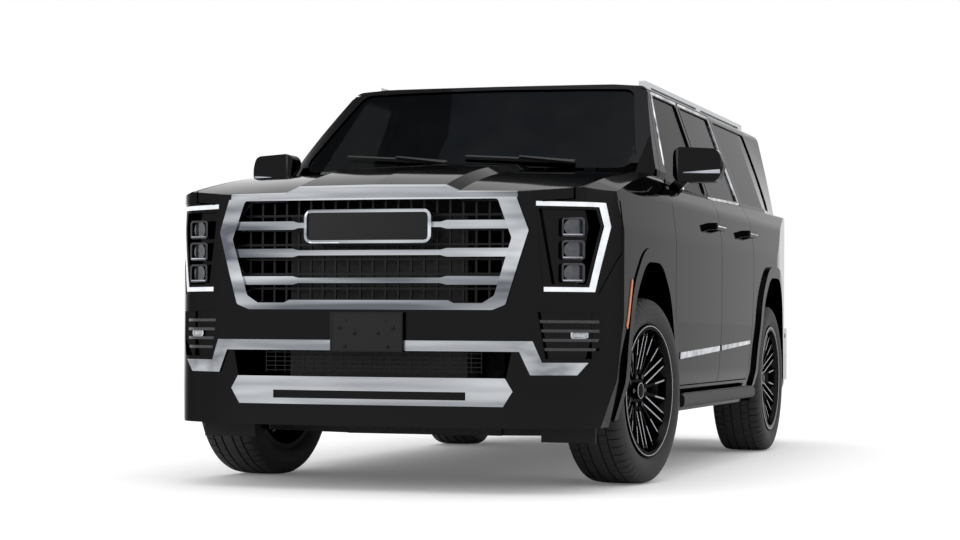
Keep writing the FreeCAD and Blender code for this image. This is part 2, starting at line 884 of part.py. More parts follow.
def make_rear_body(depth, low):
    """Intersection of plan, front view and belt."""
    plan = prism_z(inset(tail_outline(), depth), GROUND, ROOF_Z)
    rise = max(depth, 0.0) + BELT_REAR_Z - BELT_Z
    section = prism_y(inset(belt_section(low, rise), depth), along(0.0), along(TAIL_BACK + PANEL_GAP))
    belt = prism_x([
        (along(0.0), GROUND - BIG),
        (along(0.0), BELT_Z),
        (along(SCREEN_SIDE), BELT_Z),
        (along(TAIL_BACK + PANEL_GAP), BELT_REAR_Z),
        (along(TAIL_BACK + PANEL_GAP), GROUND - BIG),
    ], -BIG, BIG)
    return plan.common(section).common(belt)


def glasshouse(depth):
    """Outer form of windows and roof, moved in by a depth."""
    return kept(("glass", depth), lambda: make_glasshouse(depth))


def glass_section(depth, pull, y):
    """Front-view wire of the windows and roof, its foot pulled in."""
    spread = FOOT_SPREAD - pull
    points = mirrored([
        (GLASS_FOOT_HALF + spread, GLASS_FOOT_Z - FOOT_BURY),
        (GLASS_HEAD_HALF, GLASS_HEAD_Z, GLASS_HEAD_ROUND),
        (ROOF_EDGE_HALF, ROOF_EDGE_Z, ROOF_EDGE_ROUND),
        (0.0, ROOF_Z, ROOF_CROWN_ROUND),
    ])
    return path(inset(points, depth), lambda p: V(p.x, y, p.y))


def make_glasshouse(depth):
    """Intersection of front view, side view and both screens."""
    turn = along(TAIL_SIDE_BACK)
    end = along(ROOF_REAR + BIG / 2)
    pull = (PLAN_HALF_WIDTH - TAIL_CORNER_HALF) * (end - turn) / (along(TAIL_CORNER_BACK) - turn)
    ahead = Part.Face(glass_section(depth, 0.0, along(0.0))).extrude(V(0, turn - along(0.0), 0))
    behind = Part.makeLoft([glass_section(depth, 0.0, turn), glass_section(depth, pull, end)], True, True)
    section = ahead.fuse(behind)
    side = prism_x(inset([
        (along(0.0), GLASS_FOOT_Z - FOOT_BURY),
        (along(0.0), ROOF_FRONT_Z - (ROOF_Z - ROOF_FRONT_Z)),
        (along(ROOF_FRONT), ROOF_FRONT_Z, ROOF_HIGH_ROUND),
        (along(ROOF_HIGH_FRONT), ROOF_Z, ROOF_HIGH_ROUND),
        (along(ROOF_HIGH_REAR), ROOF_Z, ROOF_HIGH_ROUND),
        (along(ROOF_REAR), ROOF_REAR_Z),
        (along(ROOF_REAR + BIG), ROOF_REAR_Z - BIG * ROOF_TAIL_FALL),
        (along(ROOF_REAR + BIG), GLASS_FOOT_Z - FOOT_BURY),
    ], depth), -BIG, BIG)
    lift = SCREEN_FOOT_Z - GLASS_FOOT_Z + FOOT_BURY
    slope = SCREEN_RUN / SCREEN_RISE
    shift = -lift * slope + depth * math.hypot(1, slope)
    front = prism_z(mirrored([
        (SCREEN_MID_HALF, along(SCREEN_FOOT_MID + shift), SCREEN_MID_ROUND),
        (SCREEN_CORNER_HALF, along(SCREEN_FOOT_CORNER + shift), SCREEN_CORNER_ROUND),
        (BODY_HALF_WIDTH + PANEL_GAP, along(SCREEN_SIDE + shift)),
        (BODY_HALF_WIDTH + PANEL_GAP, along(ROOF_REAR + BIG)),
    ]) + [(0.0, along(SCREEN_FOOT_CENTRE + shift), SCREEN_MID_ROUND)],
        GLASS_FOOT_Z - FOOT_BURY, ROOF_Z + FOOT_BURY,
        (ROOF_Z + FOOT_BURY - GLASS_FOOT_Z + FOOT_BURY) * slope)
    back_slope = -REAR_RUN / REAR_RISE
    back_lift = REAR_FOOT_Z - GLASS_FOOT_Z + FOOT_BURY
    back_shift = -back_lift * back_slope - depth * math.hypot(1, back_slope)
    rear = prism_z(mirrored([
        (REAR_CORNER_HALF + depth, along(0.0)),
        (REAR_CORNER_HALF + REAR_SIDE_SPREAD, along(REAR_SIDE_BACK + back_shift), REAR_CORNER_ROUND),
        (REAR_CORNER_HALF, along(REAR_FOOT_CORNER + back_shift), REAR_CORNER_ROUND),
        (REAR_MID_HALF, along(REAR_FOOT_MID + back_shift), SCREEN_MID_ROUND),
        (0.0, along(REAR_FOOT_CENTRE + back_shift), SCREEN_MID_ROUND),
    ]), GLASS_FOOT_Z - FOOT_BURY, ROOF_Z + FOOT_BURY,
        (ROOF_Z + FOOT_BURY - GLASS_FOOT_Z + FOOT_BURY) * back_slope)
    return section.common(side).common(front).common(rear)


def half_space(low):
    """Block of everything further out than a half width on the +X side."""
    return box(low, BIG, -BIG, BIG, -BIG, BIG)


def arch_points(centre, grow):
    """Outline of a wheel arch opening in (y, z)."""
    rise = [
        (ARCH_HALF, GROUND - BIG),
        (ARCH_HALF, ARCH_SIDE_Z, ARCH_SIDE_ROUND),
        (ARCH_SHOULDER_HALF, ARCH_SHOULDER_Z, ARCH_SHOULDER_ROUND),
        (ARCH_CROWN_HALF, ARCH_TOP_Z, ARCH_CROWN_ROUND),
    ]
    points = [(centre - p[0],) + p[1:] for p in rise] + [(centre + p[0],) + p[1:] for p in reversed(rise)]
    return inset(points, -grow)


def liner_points(centre, grow):
    """Outline of the housing over a wheel in (y, z)."""
    points = [
        (centre - LINER_HALF, GROUND - BIG),
        (centre - LINER_HALF, LINER_SIDE_Z, LINER_ROUND),
        (centre - LINER_SHOULDER_HALF, LINER_TOP_Z, LINER_ROUND),
        (centre + LINER_SHOULDER_HALF, LINER_TOP_Z, LINER_ROUND),
        (centre + LINER_HALF, LINER_SIDE_Z, LINER_ROUND),
        (centre + LINER_HALF, GROUND - BIG),
    ]
    return inset(points, -grow)


def arch(centre, grow=0.0):
    """Solid through both sides of a wheel arch."""
    return prism_x(arch_points(centre, grow), -BIG, BIG)


def flare(form, centre, low):
    """Raised rim round one left arch, cut from a body form function."""
    ring = prism_x(arch_points(centre, FLARE_WIDTH), ROCKER_IN, BIG)
    ring = ring.cut(arch(centre))
    ring = ring.common(box(ROCKER_IN, BIG, -BIG, BIG, low, BIG))
    return biggest(form(-FLARE_OUT).cut(form(FLARE_DEEP)).common(ring))


def front_form(depth):
    """Front body form for the flares."""
    return front_body(depth, 0.0, FLOOR_Z - depth)


def hood_plan(gap):
    """Plan prism of the hood, grown by a gap."""
    return prism_z(inset(mirrored([
        (HOOD_NOSE_MID_HALF, along(-HOOD_NOSE_AHEAD), HOOD_NOSE_ROUND),
        (HOOD_NOSE_CORNER_HALF, along(-HOOD_NOSE_CORNER_AHEAD), HOOD_NOSE_ROUND),
        (HOOD_REAR_HALF, along(HOOD_REAR)),
    ]), -gap), GROUND, ROOF_Z)


def hood_cut():
    """Room the closed hood takes out of the fenders and fascia."""
    return hood_plan(PANEL_GAP).cut(hood_top(WALL_TOP + PANEL_GAP))


def hood():
    """Hood panel with its raised middle."""
    return biggest(front_body(0.0, 0.0).common(hood_plan(0.0)).cut(hood_top(WALL_TOP)))


def front_shell():
    """Front walls and tops as one hollow form."""
    return front_body(0.0, 0.0).cut(front_body(WALL_SIDE, WALL_TOP, GROUND - WALL_SIDE))


def fender_room():
    """Zone of the left front fender, ahead of the front door."""
    room = box(0.0, BIG, along(FASCIA_CUT), along(DOOR_CUT) - PANEL_GAP, FLOOR_Z, BIG)
    room = room.fuse(box(0.0, BIG, along(FASCIA_CUT), along(DOOR_CUT_LOW) - PANEL_GAP, FLOOR_Z,
                         DOOR_KICK_Z))
    return room.cut(side_prism(inset(door_points(True), -PANEL_GAP)))


def fender():
    """Left front fender with its flare and arch liner."""
    room = fender_room()
    centre = along(ARCH_FRONT_SHIFT)
    panel = front_shell().common(room).common(half_space(LINER_INNER_HALF))
    panel = panel.cut(arch(centre))
    panel = biggest(panel.cut(hood_cut()))
    rim = flare(front_form, centre, FLOOR_Z).common(room)
    liner = arch_liner(FRONT_AXLE_Y, LINER_INNER_HALF, LINER_WINDOW_HALF, LINER_WINDOW_TOP_Z)
    door_room = side_prism(inset(door_points(True), -PANEL_GAP)).common(half_space(LINER_DOOR_HALF))
    return biggest(join([panel, rim, liner.cut(door_room)]))


def arch_liner(centre, inner_half, window_half, window_top):
    """Thin housing over one left wheel, its inner wall open round the axle."""
    outer = prism_x(liner_points(centre, LINER_WALL), inner_half - LINER_WALL, LINER_OUTER_HALF)
    inner = prism_x(liner_points(centre, 0.0), inner_half, BIG)
    above = box(-BIG, BIG, -BIG, BIG, LINER_LOW_Z, BIG)
    window = box(GROUND, inner_half + LINER_WALL, centre - window_half, centre + window_half, GROUND,
                 window_top)
    return outer.cut(inner).common(above).cut(window)


def door_points(front):
    """Outline of a door in (y, z): the front or the rear one."""
    if front:
        return [
            (along(DOOR_CUT_LOW), DOOR_BOTTOM_Z),
            (along(DOOR_CUT), DOOR_KICK_Z),
            (along(DOOR_CUT), PILLAR_FOOT_Z - PANEL_GAP),
            (along(PILLAR_HEAD), DOOR_TOP_Z),
            (along(B_CUT), DOOR_TOP_Z),
            (along(B_CUT), DOOR_BOTTOM_Z),
        ]
    return [
        (along(B_CUT + PANEL_GAP), DOOR_BOTTOM_Z),
        (along(B_CUT + PANEL_GAP), DOOR_TOP_Z),
        (along(C_CUT_TOP), DOOR_TOP_Z),
        (along(C_CUT_MID), C_CUT_MID_Z),
        (along(C_CUT_LOW), DOOR_BOTTOM_Z),
    ]


def window_points(name):
    """Outline of a side window in (y, z)."""
    if name == "front":
        return [
            (along(FRONT_WINDOW_TIP), WINDOW_LOW_Z),
            (along(FRONT_WINDOW_HEAD), WINDOW_TOP_Z, WINDOW_ROUND),
            (along(FRONT_WINDOW_END), WINDOW_TOP_Z),
            (along(FRONT_WINDOW_END), WINDOW_LOW_Z),
        ]
    if name == "rear":
        return [
            (along(REAR_WINDOW_START), WINDOW_LOW_Z),
            (along(REAR_WINDOW_START), WINDOW_TOP_Z),
            (along(REAR_WINDOW_END_TOP), WINDOW_TOP_Z, WINDOW_ROUND),
            (along(REAR_WINDOW_END_LOW), WINDOW_REAR_LOW_Z, WINDOW_ROUND),
        ]
    return [
        (along(QUARTER_START_LOW), WINDOW_REAR_LOW_Z, WINDOW_ROUND),
        (along(QUARTER_START_TOP), WINDOW_TOP_Z, WINDOW_ROUND),
        (along(QUARTER_END_TOP), WINDOW_TOP_Z, WINDOW_ROUND),
        (along(QUARTER_END_LOW), WINDOW_REAR_LOW_Z + PANEL_GAP, WINDOW_ROUND),
    ]


def side_prism(points):
    """A side-view outline through the left wall only."""
    return prism_x(points, DOOR_REACH_IN, BIG)


def cabin_outer():
    """Outside of cabin and cargo space."""
    return rear_body(0.0).fuse(glasshouse(0.0))


def cabin_inner(extra=0.0):
    """Inside of cabin and cargo space."""
    low = rear_body(WALL_SIDE + extra, GROUND - WALL_SIDE)
    return low.fuse(glasshouse(WALL_GLASSHOUSE + extra))


def cabin_shell():
    """All cabin walls and the roof as one hollow form."""
    return cabin_outer().cut(cabin_inner())


def shut_step(front):
    """Room that the inner part of a door leaves free at its edge over the middle post."""
    deep = rear_body(DOOR_FLANGE).fuse(glasshouse(FRAME_FLANGE))
    edge = B_CUT - DOOR_STEP if front else B_CUT + PANEL_GAP
    return deep.common(box(0.0, BIG, along(edge), along(edge + DOOR_STEP), GROUND, BIG))


def door(shell, front):
    """Left door with its window frame and outer handle."""
    panel = shell.common(side_prism(door_points(front)))
    name = "front" if front else "rear"
    panel = biggest(panel.cut(side_prism(window_points(name))).cut(shut_step(front)))
    start = FRONT_HANDLE_START if front else REAR_HANDLE_START
    return join([panel, handle(along(start))])


def handle(y):
    """Pull handle standing off the door skin on two feet."""
    grip = prism_z([
        (HANDLE_IN_HALF + HANDLE_STAND, y),
        (HANDLE_IN_HALF + HANDLE_STAND + HANDLE_THICK, y, HANDLE_ROUND),
        (HANDLE_IN_HALF + HANDLE_STAND + HANDLE_THICK, y + HANDLE_LENGTH, HANDLE_ROUND),
        (HANDLE_IN_HALF + HANDLE_STAND, y + HANDLE_LENGTH),
    ], HANDLE_Z, HANDLE_Z + HANDLE_HEIGHT)
    near = box(HANDLE_FOOT_IN, HANDLE_IN_HALF + HANDLE_STAND, y, y + HANDLE_FOOT, HANDLE_Z,
               HANDLE_Z + HANDLE_HEIGHT)
    far = near.copy()
    far.translate(V(0, HANDLE_LENGTH - HANDLE_FOOT, 0))
    return grip.fuse([near, far])


def mirror_housing():
    """Left outside mirror with its arm and glass face."""
    head = prism_y([
        (MIRROR_IN, MIRROR_LOW_Z, MIRROR_ROUND),
        (MIRROR_IN, MIRROR_TOP_Z, MIRROR_ROUND),
        (MIRROR_SHOULDER, MIRROR_TOP_Z - MIRROR_FALL, MIRROR_ROUND),
        (MIRROR_OUT, MIRROR_TIP_Z, MIRROR_TIP_ROUND),
        (MIRROR_SHOULDER, MIRROR_LOW_Z, MIRROR_ROUND),
    ], along(MIRROR_FRONT), along(MIRROR_FRONT) + MIRROR_DEEP)
    plan = prism_z([
        (MIRROR_IN - MIRROR_FALL, along(MIRROR_FRONT), MIRROR_ROUND),
        (MIRROR_OUT, along(MIRROR_FRONT) + MIRROR_SWEEP, MIRROR_PLAN_ROUND),
        (MIRROR_OUT, along(MIRROR_FRONT) + MIRROR_DEEP),
        (MIRROR_IN - MIRROR_FALL, along(MIRROR_FRONT) + MIRROR_DEEP),
    ], MIRROR_LOW_Z - BELT_ROUND, MIRROR_TOP_Z + BELT_ROUND)
    arm = prism_y([
        (MIRROR_ARM_IN, MIRROR_ARM_LOW_Z),
        (MIRROR_ARM_IN, MIRROR_ARM_TOP_Z),
        (MIRROR_IN + MIRROR_ARM_LAP, MIRROR_LOW_Z + MIRROR_ARM_LAP),
        (MIRROR_IN + MIRROR_ARM_LAP + MIRROR_ARM_LAP, MIRROR_LOW_Z),
    ], along(MIRROR_FRONT) + MIRROR_ARM_SET, along(MIRROR_FRONT) + MIRROR_ARM_SET + MIRROR_ARM_WIDE)
    return join([head.common(plan), arm])


def pane(room):
    """Thin glass layer of the glasshouse inside a prism."""
    return biggest(glasshouse(GLASS_SET_IN).common(room).cut(glasshouse(GLASS_SET_IN + GLASS_THICK)))


def side_glass(name):
    """One left side window pane."""
    return pane(side_prism(window_points(name)))


def screen_prism():
    """Front-view prism of the windshield opening."""
    return prism_y(mirrored([
        (SCREEN_LOW_HALF, SCREEN_LOW_Z, SCREEN_OPENING_ROUND),
        (SCREEN_TOP_HALF, SCREEN_TOP_Z, SCREEN_OPENING_ROUND),
        (0.0, SCREEN_TOP_Z + PANEL_GAP, NOSE_CROWN_ROUND),
    ]), along(0.0), along(SCREEN_OPENING_BACK))


def screen_foot():
    """Room below the windshield, where the cowl lies."""
    return box(-SCREEN_LOW_HALF, SCREEN_LOW_HALF, along(0.0), along(COWL_REAR), GROUND,
               SCREEN_LOW_Z + BELT_ROUND)


def gate_prism(gap):
    """Rear-view prism of the liftgate, from roof cut to tail."""
    points = mirrored([
        (GATE_LOW_HALF, GATE_LOW_Z),
        (GATE_BELT_HALF, GLASS_FOOT_Z),
        (GATE_TOP_HALF, ROOF_Z + FOOT_BURY + FOOT_BURY),
    ])
    start = along(GATE_START) if gap == 0 else along(ROOF_CUT)
    return prism_y(inset(points, -gap), start, along(TAIL_BACK + BIG))


def gate_window(points_gap):
    """Rear-view prism of the liftgate window."""
    return prism_y(inset(mirrored([
        (GATE_WINDOW_LOW_HALF, GATE_WINDOW_LOW_Z, WINDOW_ROUND),
        (GATE_WINDOW_TOP_HALF, GATE_WINDOW_TOP_Z, WINDOW_ROUND),
    ]), points_gap), along(ROOF_CUT), along(TAIL_BACK + BIG))


def liftgate(shell):
    """Liftgate with its window frame, roof tail and blank plate recess."""
    panel = shell.common(gate_prism(0.0)).cut(gate_window(0.0))
    recess = box(-PLATE_RECESS_HALF, PLATE_RECESS_HALF, along(TAIL_BACK) - PLATE_RECESS_DEEP,
                 along(TAIL_BACK + BIG),
                 PLATE_RECESS_LOW_Z, PLATE_RECESS_TOP_Z)
    return biggest(panel.cut(recess))


def liftgate_glass():
    """Rear window pane."""
    return pane(gate_window(0.0))


def roof_panel(shell):
    """Roof skin between the side rails, from windshield head to liftgate."""
    room = box(-ROOF_HALF, ROOF_HALF, along(0.0), along(ROOF_CUT),
               DOOR_TOP_Z - WALL_GLASSHOUSE - WALL_GLASSHOUSE, BIG)
    panel = shell.common(room).cut(screen_prism())
    return biggest(panel)


def side_frame(shell):
    """Left pillars, roof rail, quarter panel and rocker."""
    wall = shell.common(half_space(0.0))
    wall = wall.cut(box(-ROOF_HALF, ROOF_HALF, -BIG, along(ROOF_CUT), GROUND, BIG))
    wall = wall.cut(screen_prism()).cut(screen_foot())
    wall = wall.cut(box(-BIG, BIG, -BIG, along(DOOR_CUT - PANEL_GAP / 2), -BIG, FENDER_TOP_Z + BELT_ROUND))
    wall = wall.cut(box(-BIG, BIG, -BIG, along(DOOR_CUT_LOW), -BIG, DOOR_KICK_Z))
    wall = wall.cut(front_body(0.0, 0.0).common(box(-BIG, BIG, -BIG, along(DOOR_CUT), -BIG, BIG)))
    wall = wall.cut(side_prism(inset(door_points(True), -PANEL_GAP)))
    wall = wall.cut(side_prism(inset(door_points(False), -PANEL_GAP)))
    wall = wall.cut(side_prism(window_points("quarter")))
    wall = wall.cut(arch(REAR_AXLE_Y)).cut(gate_prism(PANEL_GAP))
    wall = wall.cut(tail_lamp_room()).cut(rear_bumper_room())
    wall = biggest(wall)
    rocker = box(ROCKER_IN, TUCK_HALF, along(DOOR_CUT_LOW), REAR_AXLE_Y - LINER_HALF, FLOOR_Z,
                 DOOR_BOTTOM_Z - PANEL_GAP)
    rocker = rocker.common(rear_body(0.0))
    rim = flare(rear_body, REAR_AXLE_Y, FLOOR_Z).cut(side_prism(inset(door_points(False), -PANEL_GAP)))
    liner = arch_liner(REAR_AXLE_Y, REAR_LINER_INNER_HALF, REAR_WINDOW_HALF, REAR_WINDOW_TOP_Z)
    posts = [post(y, low) for y, low in ((along(B_CUT), POST_LOW_Z), (along(C_CUT_LOW + POST_HALF),
                                                                      POST_LOW_Z))]
    return biggest(join([wall, rocker, rim, liner] + posts))


def post(y, low):
    """Inner post behind the door edges."""
    slab = cabin_inner(SWING_GAP).cut(cabin_inner(SWING_GAP + POST_DEEP))
    room = box(POST_CAP_IN, BIG, y - POST_HALF, y + POST_HALF, low, POST_CAP_TOP_Z)
    slab = biggest(slab.common(room))
    cap = box(POST_CAP_IN, POST_CAP_OUT, y - POST_HALF, y + POST_HALF, POST_CAP_LOW_Z, POST_CAP_TOP_Z)
    return slab.fuse(cap)


def tail_lamp_room():
    """Corner pocket of the left tail lamp."""
    return box(TAIL_LAMP_INNER_HALF, BIG, along(TAIL_LAMP_START), BIG, TAIL_LAMP_LOW_Z, TAIL_LAMP_TOP_Z)


def tail_lamp(shell):
    """Left tail lamp, wrapping the corner."""
    return biggest(shell.common(inset_box(tail_lamp_room())).cut(gate_prism(PANEL_GAP)))


def inset_box(room):
    """The same box, one part gap smaller on every side."""
    b = room.BoundBox
    return box(b.XMin + PART_GAP, b.XMax, b.YMin + PART_GAP, b.YMax, b.ZMin + PART_GAP, b.ZMax - PART_GAP)


def rear_bumper_room():
    """Zone the rear bumper takes below the liftgate."""
    return box(-BIG, BIG, along(REAR_BUMPER_START), BIG, GROUND, REAR_BUMPER_TOP_Z)


def rear_bumper():
    """Rear bumper wrapping both corners, with a step pad."""
    points = tail_outline()
    grown = [(p[0],
              p[1] + (REAR_BUMPER_OUT if p[1] > along(TAIL_SIDE_BACK) else 0)) + tuple(p[2:]) for p in points]
    outer = prism_z(grown, REAR_BUMPER_LOW_Z, REAR_BUMPER_TOP_Z - PART_GAP)
    inner = prism_z(inset(grown, REAR_BUMPER_WALL), GROUND, REAR_BUMPER_TOP_Z - REAR_BUMPER_WALL)
    section = prism_y(side_section(FLOOR_Z), along(0.0), along(TAIL_BACK + BIG))
    shape = outer.cut(inner).common(section)
    shape = shape.common(box(-BIG, BIG, along(REAR_BUMPER_START), BIG, GROUND, BIG)).cut(arch(REAR_AXLE_Y,
                                                                                              FLARE_WIDTH))
    shape = biggest(shape.cut(cabin_space_behind()))
    pad = prism_y([
        (-REAR_STEP_HALF, REAR_STEP_LOW_Z, REAR_STEP_ROUND),
        (-REAR_STEP_HALF, REAR_STEP_Z, REAR_STEP_ROUND),
        (REAR_STEP_HALF, REAR_STEP_Z, REAR_STEP_ROUND),
        (REAR_STEP_HALF, REAR_STEP_LOW_Z, REAR_STEP_ROUND),
    ], OVERALL_LENGTH / 2 - REAR_STEP_DEEP, OVERALL_LENGTH / 2)
    return join([shape, pad])


def cabin_space_behind():
    """Cargo room and liftgate foot, kept clear by the bumper."""
    reach = FLOOR_HALF + PANEL_GAP
    return box(-reach, reach, along(0.0), along(TAIL_BACK - WALL_END), GROUND, BIG)


def front_prism(points):
    """Front-view outline drawn back through the nose."""
    return prism_y(points, along(NOSE_STATION - BELT_ROUND), along(FASCIA_CUT))


def nose_layer(proud, deep, low=FASCIA_LOW_Z):
    """Layer following the nose, from a distance proud of it to a depth."""
    return kept(("layer", proud, deep, low), lambda: front_body(-proud, -proud, low - proud).cut(
        front_body(deep, 0.0, GROUND - BIG / 2)))


def grille_points():
    """Outer outline of the grille frame."""
    return mirrored([
        (GRILLE_HEAD_HALF, GRILLE_HEAD_Z),
        (GRILLE_SHOULDER_HALF, GRILLE_SHOULDER_Z),
        (GRILLE_KINK_HALF, GRILLE_KINK_Z, GRILLE_MOUTH_ROUND),
        (GRILLE_CORNER_HALF, GRILLE_CORNER_Z, GRILLE_MOUTH_ROUND),
        (GRILLE_LOW_HALF, GRILLE_LOW_Z, GRILLE_MOUTH_ROUND),
    ])


def mouth_points():
    """Inner outline of the grille frame."""
    return mirrored([
        (GRILLE_MOUTH_TOP_HALF, GRILLE_MOUTH_TOP_Z, GRILLE_MOUTH_ROUND),
        (GRILLE_MOUTH_KINK_HALF, GRILLE_MOUTH_KINK_Z, GRILLE_MOUTH_ROUND),
        (GRILLE_MOUTH_CORNER_HALF, GRILLE_MOUTH_CORNER_Z, GRILLE_MOUTH_ROUND),
        (GRILLE_MOUTH_LOW_HALF, GRILLE_MOUTH_LOW_Z),
        (GRILLE_STEP_HALF + GRILLE_STEP_RUN, GRILLE_MOUTH_LOW_Z),
        (GRILLE_STEP_HALF, GRILLE_STEP_Z),
    ])


def lamp_points():
    """Front-view outline of the left headlamp."""
    return [
        (LAMP_INNER_TOP_HALF, LAMP_OUTER_TOP_Z),
        (LAMP_OUTER_HALF, LAMP_OUTER_TOP_Z),
        (LAMP_OUTER_HALF, LAMP_OUTER_MID_Z),
        (LAMP_OUTER_LOW_HALF + LAMP_POCKET_EDGE, LIGHT_LOW_Z - LAMP_POCKET_EDGE),
        (LAMP_INNER_LOW_HALF, LIGHT_LOW_Z - LAMP_POCKET_EDGE),
    ]


def light_points():
    """Front-view outline of the C-shaped light strip."""
    return [
        (LAMP_INNER_TOP_HALF + LAMP_COVER_SET, LIGHT_TOP_Z),
        (LIGHT_OUTER_TOP_HALF, LIGHT_TOP_Z),
        (LIGHT_KINK_HALF, LIGHT_KINK_Z),
        (LIGHT_OUTER_LOW_HALF, LIGHT_LOW_Z),
        (LAMP_INNER_LOW_HALF + LAMP_COVER_SET, LIGHT_LOW_Z),
        (LAMP_INNER_LOW_HALF + LAMP_COVER_SET, LIGHT_LOW_Z + LIGHT_BAR),
        (LIGHT_OUTER_LOW_HALF - LIGHT_BAR, LIGHT_LOW_Z + LIGHT_BAR),
        (LIGHT_KINK_HALF - LIGHT_BAR, LIGHT_KINK_Z),
        (LIGHT_OUTER_TOP_HALF - LIGHT_BAR, LIGHT_TOP_Z - LIGHT_BAR),
        (LAMP_INNER_TOP_HALF + LAMP_COVER_SET, LIGHT_TOP_Z - LIGHT_BAR),
    ]


def pocket_points():
    """Front-view outline of the lamp pocket behind the light strip."""
    edge = LIGHT_BAR + LAMP_POCKET_EDGE
    return [
        (LAMP_INNER_TOP_HALF + LAMP_POCKET_EDGE, LIGHT_TOP_Z - edge),
        (LIGHT_OUTER_TOP_HALF - edge, LIGHT_TOP_Z - edge),
        (LIGHT_KINK_HALF - edge, LIGHT_KINK_Z),
        (LIGHT_OUTER_LOW_HALF - edge, LIGHT_LOW_Z + edge),
        (LAMP_INNER_LOW_HALF + edge, LIGHT_LOW_Z + edge),
    ]


def light_strip():
    """Left light strip."""
    layer = nose_layer(0.0, LIGHT_DEEP)
    return biggest(layer.common(front_prism(light_points())).cut(hood_cut()))


def lamp_module(index):
    """One round lens of the left headlamp."""
    z = MODULE_LOW_Z + MODULE_PITCH * index
    start = V(MODULE_X, along(NOSE_STATION), z)
    lens = rod(start, V(MODULE_X, along(FASCIA_CUT), z), MODULE_RADIUS)
    return biggest(lens.common(nose_layer(-MODULE_FRONT, LAMP_POCKET_DEEP)))


def headlamp():
    """Left headlamp housing with its pocket."""
    layer = nose_layer(-LAMP_COVER_SET, LAMP_DEEP)
    shape = layer.common(front_prism(lamp_points())).cut(hood_cut()).cut(light_strip())
    pocket = nose_layer(LAMP_COVER_SET, LAMP_POCKET_DEEP).common(front_prism(pocket_points()))
    return biggest(shape.cut(pocket))


def lamp_lights():
    """Light strips and lenses of both headlamps."""
    parts = [light_strip()] + [lamp_module(index) for index in range(MODULE_COUNT)]
    return both(Part.makeCompound(parts))


def strip_points():
    """Half outline of the bright strip that steps down below the fog lamps."""
    half = [
        (STRIP_KINK_TOP_HALF, STRIP_TOP_Z),
        (STRIP_BEND_TOP_HALF, STRIP_OUT_TOP_Z),
        (STRIP_END_TOP_HALF, STRIP_OUT_TOP_Z),
        (STRIP_END_LOW_HALF, STRIP_OUT_LOW_Z),
        (STRIP_BEND_LOW_HALF, STRIP_OUT_LOW_Z),
        (STRIP_KINK_LOW_HALF, STRIP_LOW_Z),
    ]
    return mirrored(half)


def skid_points():
    """Outline of the bright lower bar."""
    return mirrored([
        (SKID_TOP_HALF, SKID_TOP_Z),
        (SKID_MID_HALF, SKID_MID_Z),
        (SKID_LOW_HALF, SKID_LOW_Z),
    ])


def bracket():
    """Blank plate bracket on the nose, with its two screw holes."""
    front = -OVERALL_LENGTH / 2
    shape = box(-PLATE_BRACKET_HALF, PLATE_BRACKET_HALF, front, along(-NOSE_EDGE_AHEAD),
                PLATE_BRACKET_LOW_Z, PLATE_BRACKET_TOP_Z)
    for x in (-PLATE_HOLE_SPACING / 2, PLATE_HOLE_SPACING / 2):
        start = V(x, front - PART_GAP, PLATE_HOLE_Z)
        shape = shape.cut(rod(start, start + V(0, PLATE_HOLE_DEEP + PART_GAP, 0), PLATE_HOLE_RADIUS))
    return shape


def front_strip():
    """Bright strip across the bumper."""
    layer = nose_layer(STRIP_PROUD, STRIP_DEEP)
    return layer.common(front_prism(strip_points())).cut(bracket())


def skid_bar():
    """Bright lower bar with its slot."""
    layer = nose_layer(SKID_PROUD, STRIP_DEEP)
    slot = box(-SKID_SLOT_HALF, SKID_SLOT_HALF, -BIG, BIG, SKID_SLOT_LOW_Z, SKID_SLOT_TOP_Z)
    return biggest(layer.common(front_prism(skid_points())).cut(slot))


def fog_points():
    """Front-view outline of the left fog lamp pocket."""
    return [
        (FOG_INNER_LOW_HALF, FOG_LOW_Z),
        (FOG_INNER_TOP_HALF, FOG_TOP_Z),
        (FOG_OUTER_TOP_HALF, FOG_TOP_Z),
        (FOG_OUTER_LOW_HALF, FOG_LOW_Z),
    ]


def fog_pocket():
    """Room of the left fog lamp pocket."""
    return nose_layer(STRIP_PROUD, FOG_DEEP).common(front_prism(fog_points())).cut(front_form_tail())


def front_form_tail():
    """Zone next to the wheel arch, which the fog pocket leaves alone."""
    return box(0.0, BIG, along(FASCIA_CUT) - FLARE_WIDTH - FLARE_WIDTH, BIG, -BIG, BIG)


def fog_fins():
    """Bright fins across the left fog lamp pocket."""
    pitch = (FOG_TOP_Z - FOG_LOW_Z) / (FIN_COUNT + 1)
    slats = [box(0.0, BIG, -BIG, BIG, FOG_LOW_Z + pitch * (index + 1) - FIN_TALL / 2,
                 FOG_LOW_Z + pitch * (index + 1) + FIN_TALL / 2) for index in range(FIN_COUNT)]
    room = fog_pocket().common(front_body(FOG_DEEP - FIN_DEEP, 0.0))
    return [biggest(room.common(slat)) for slat in slats]


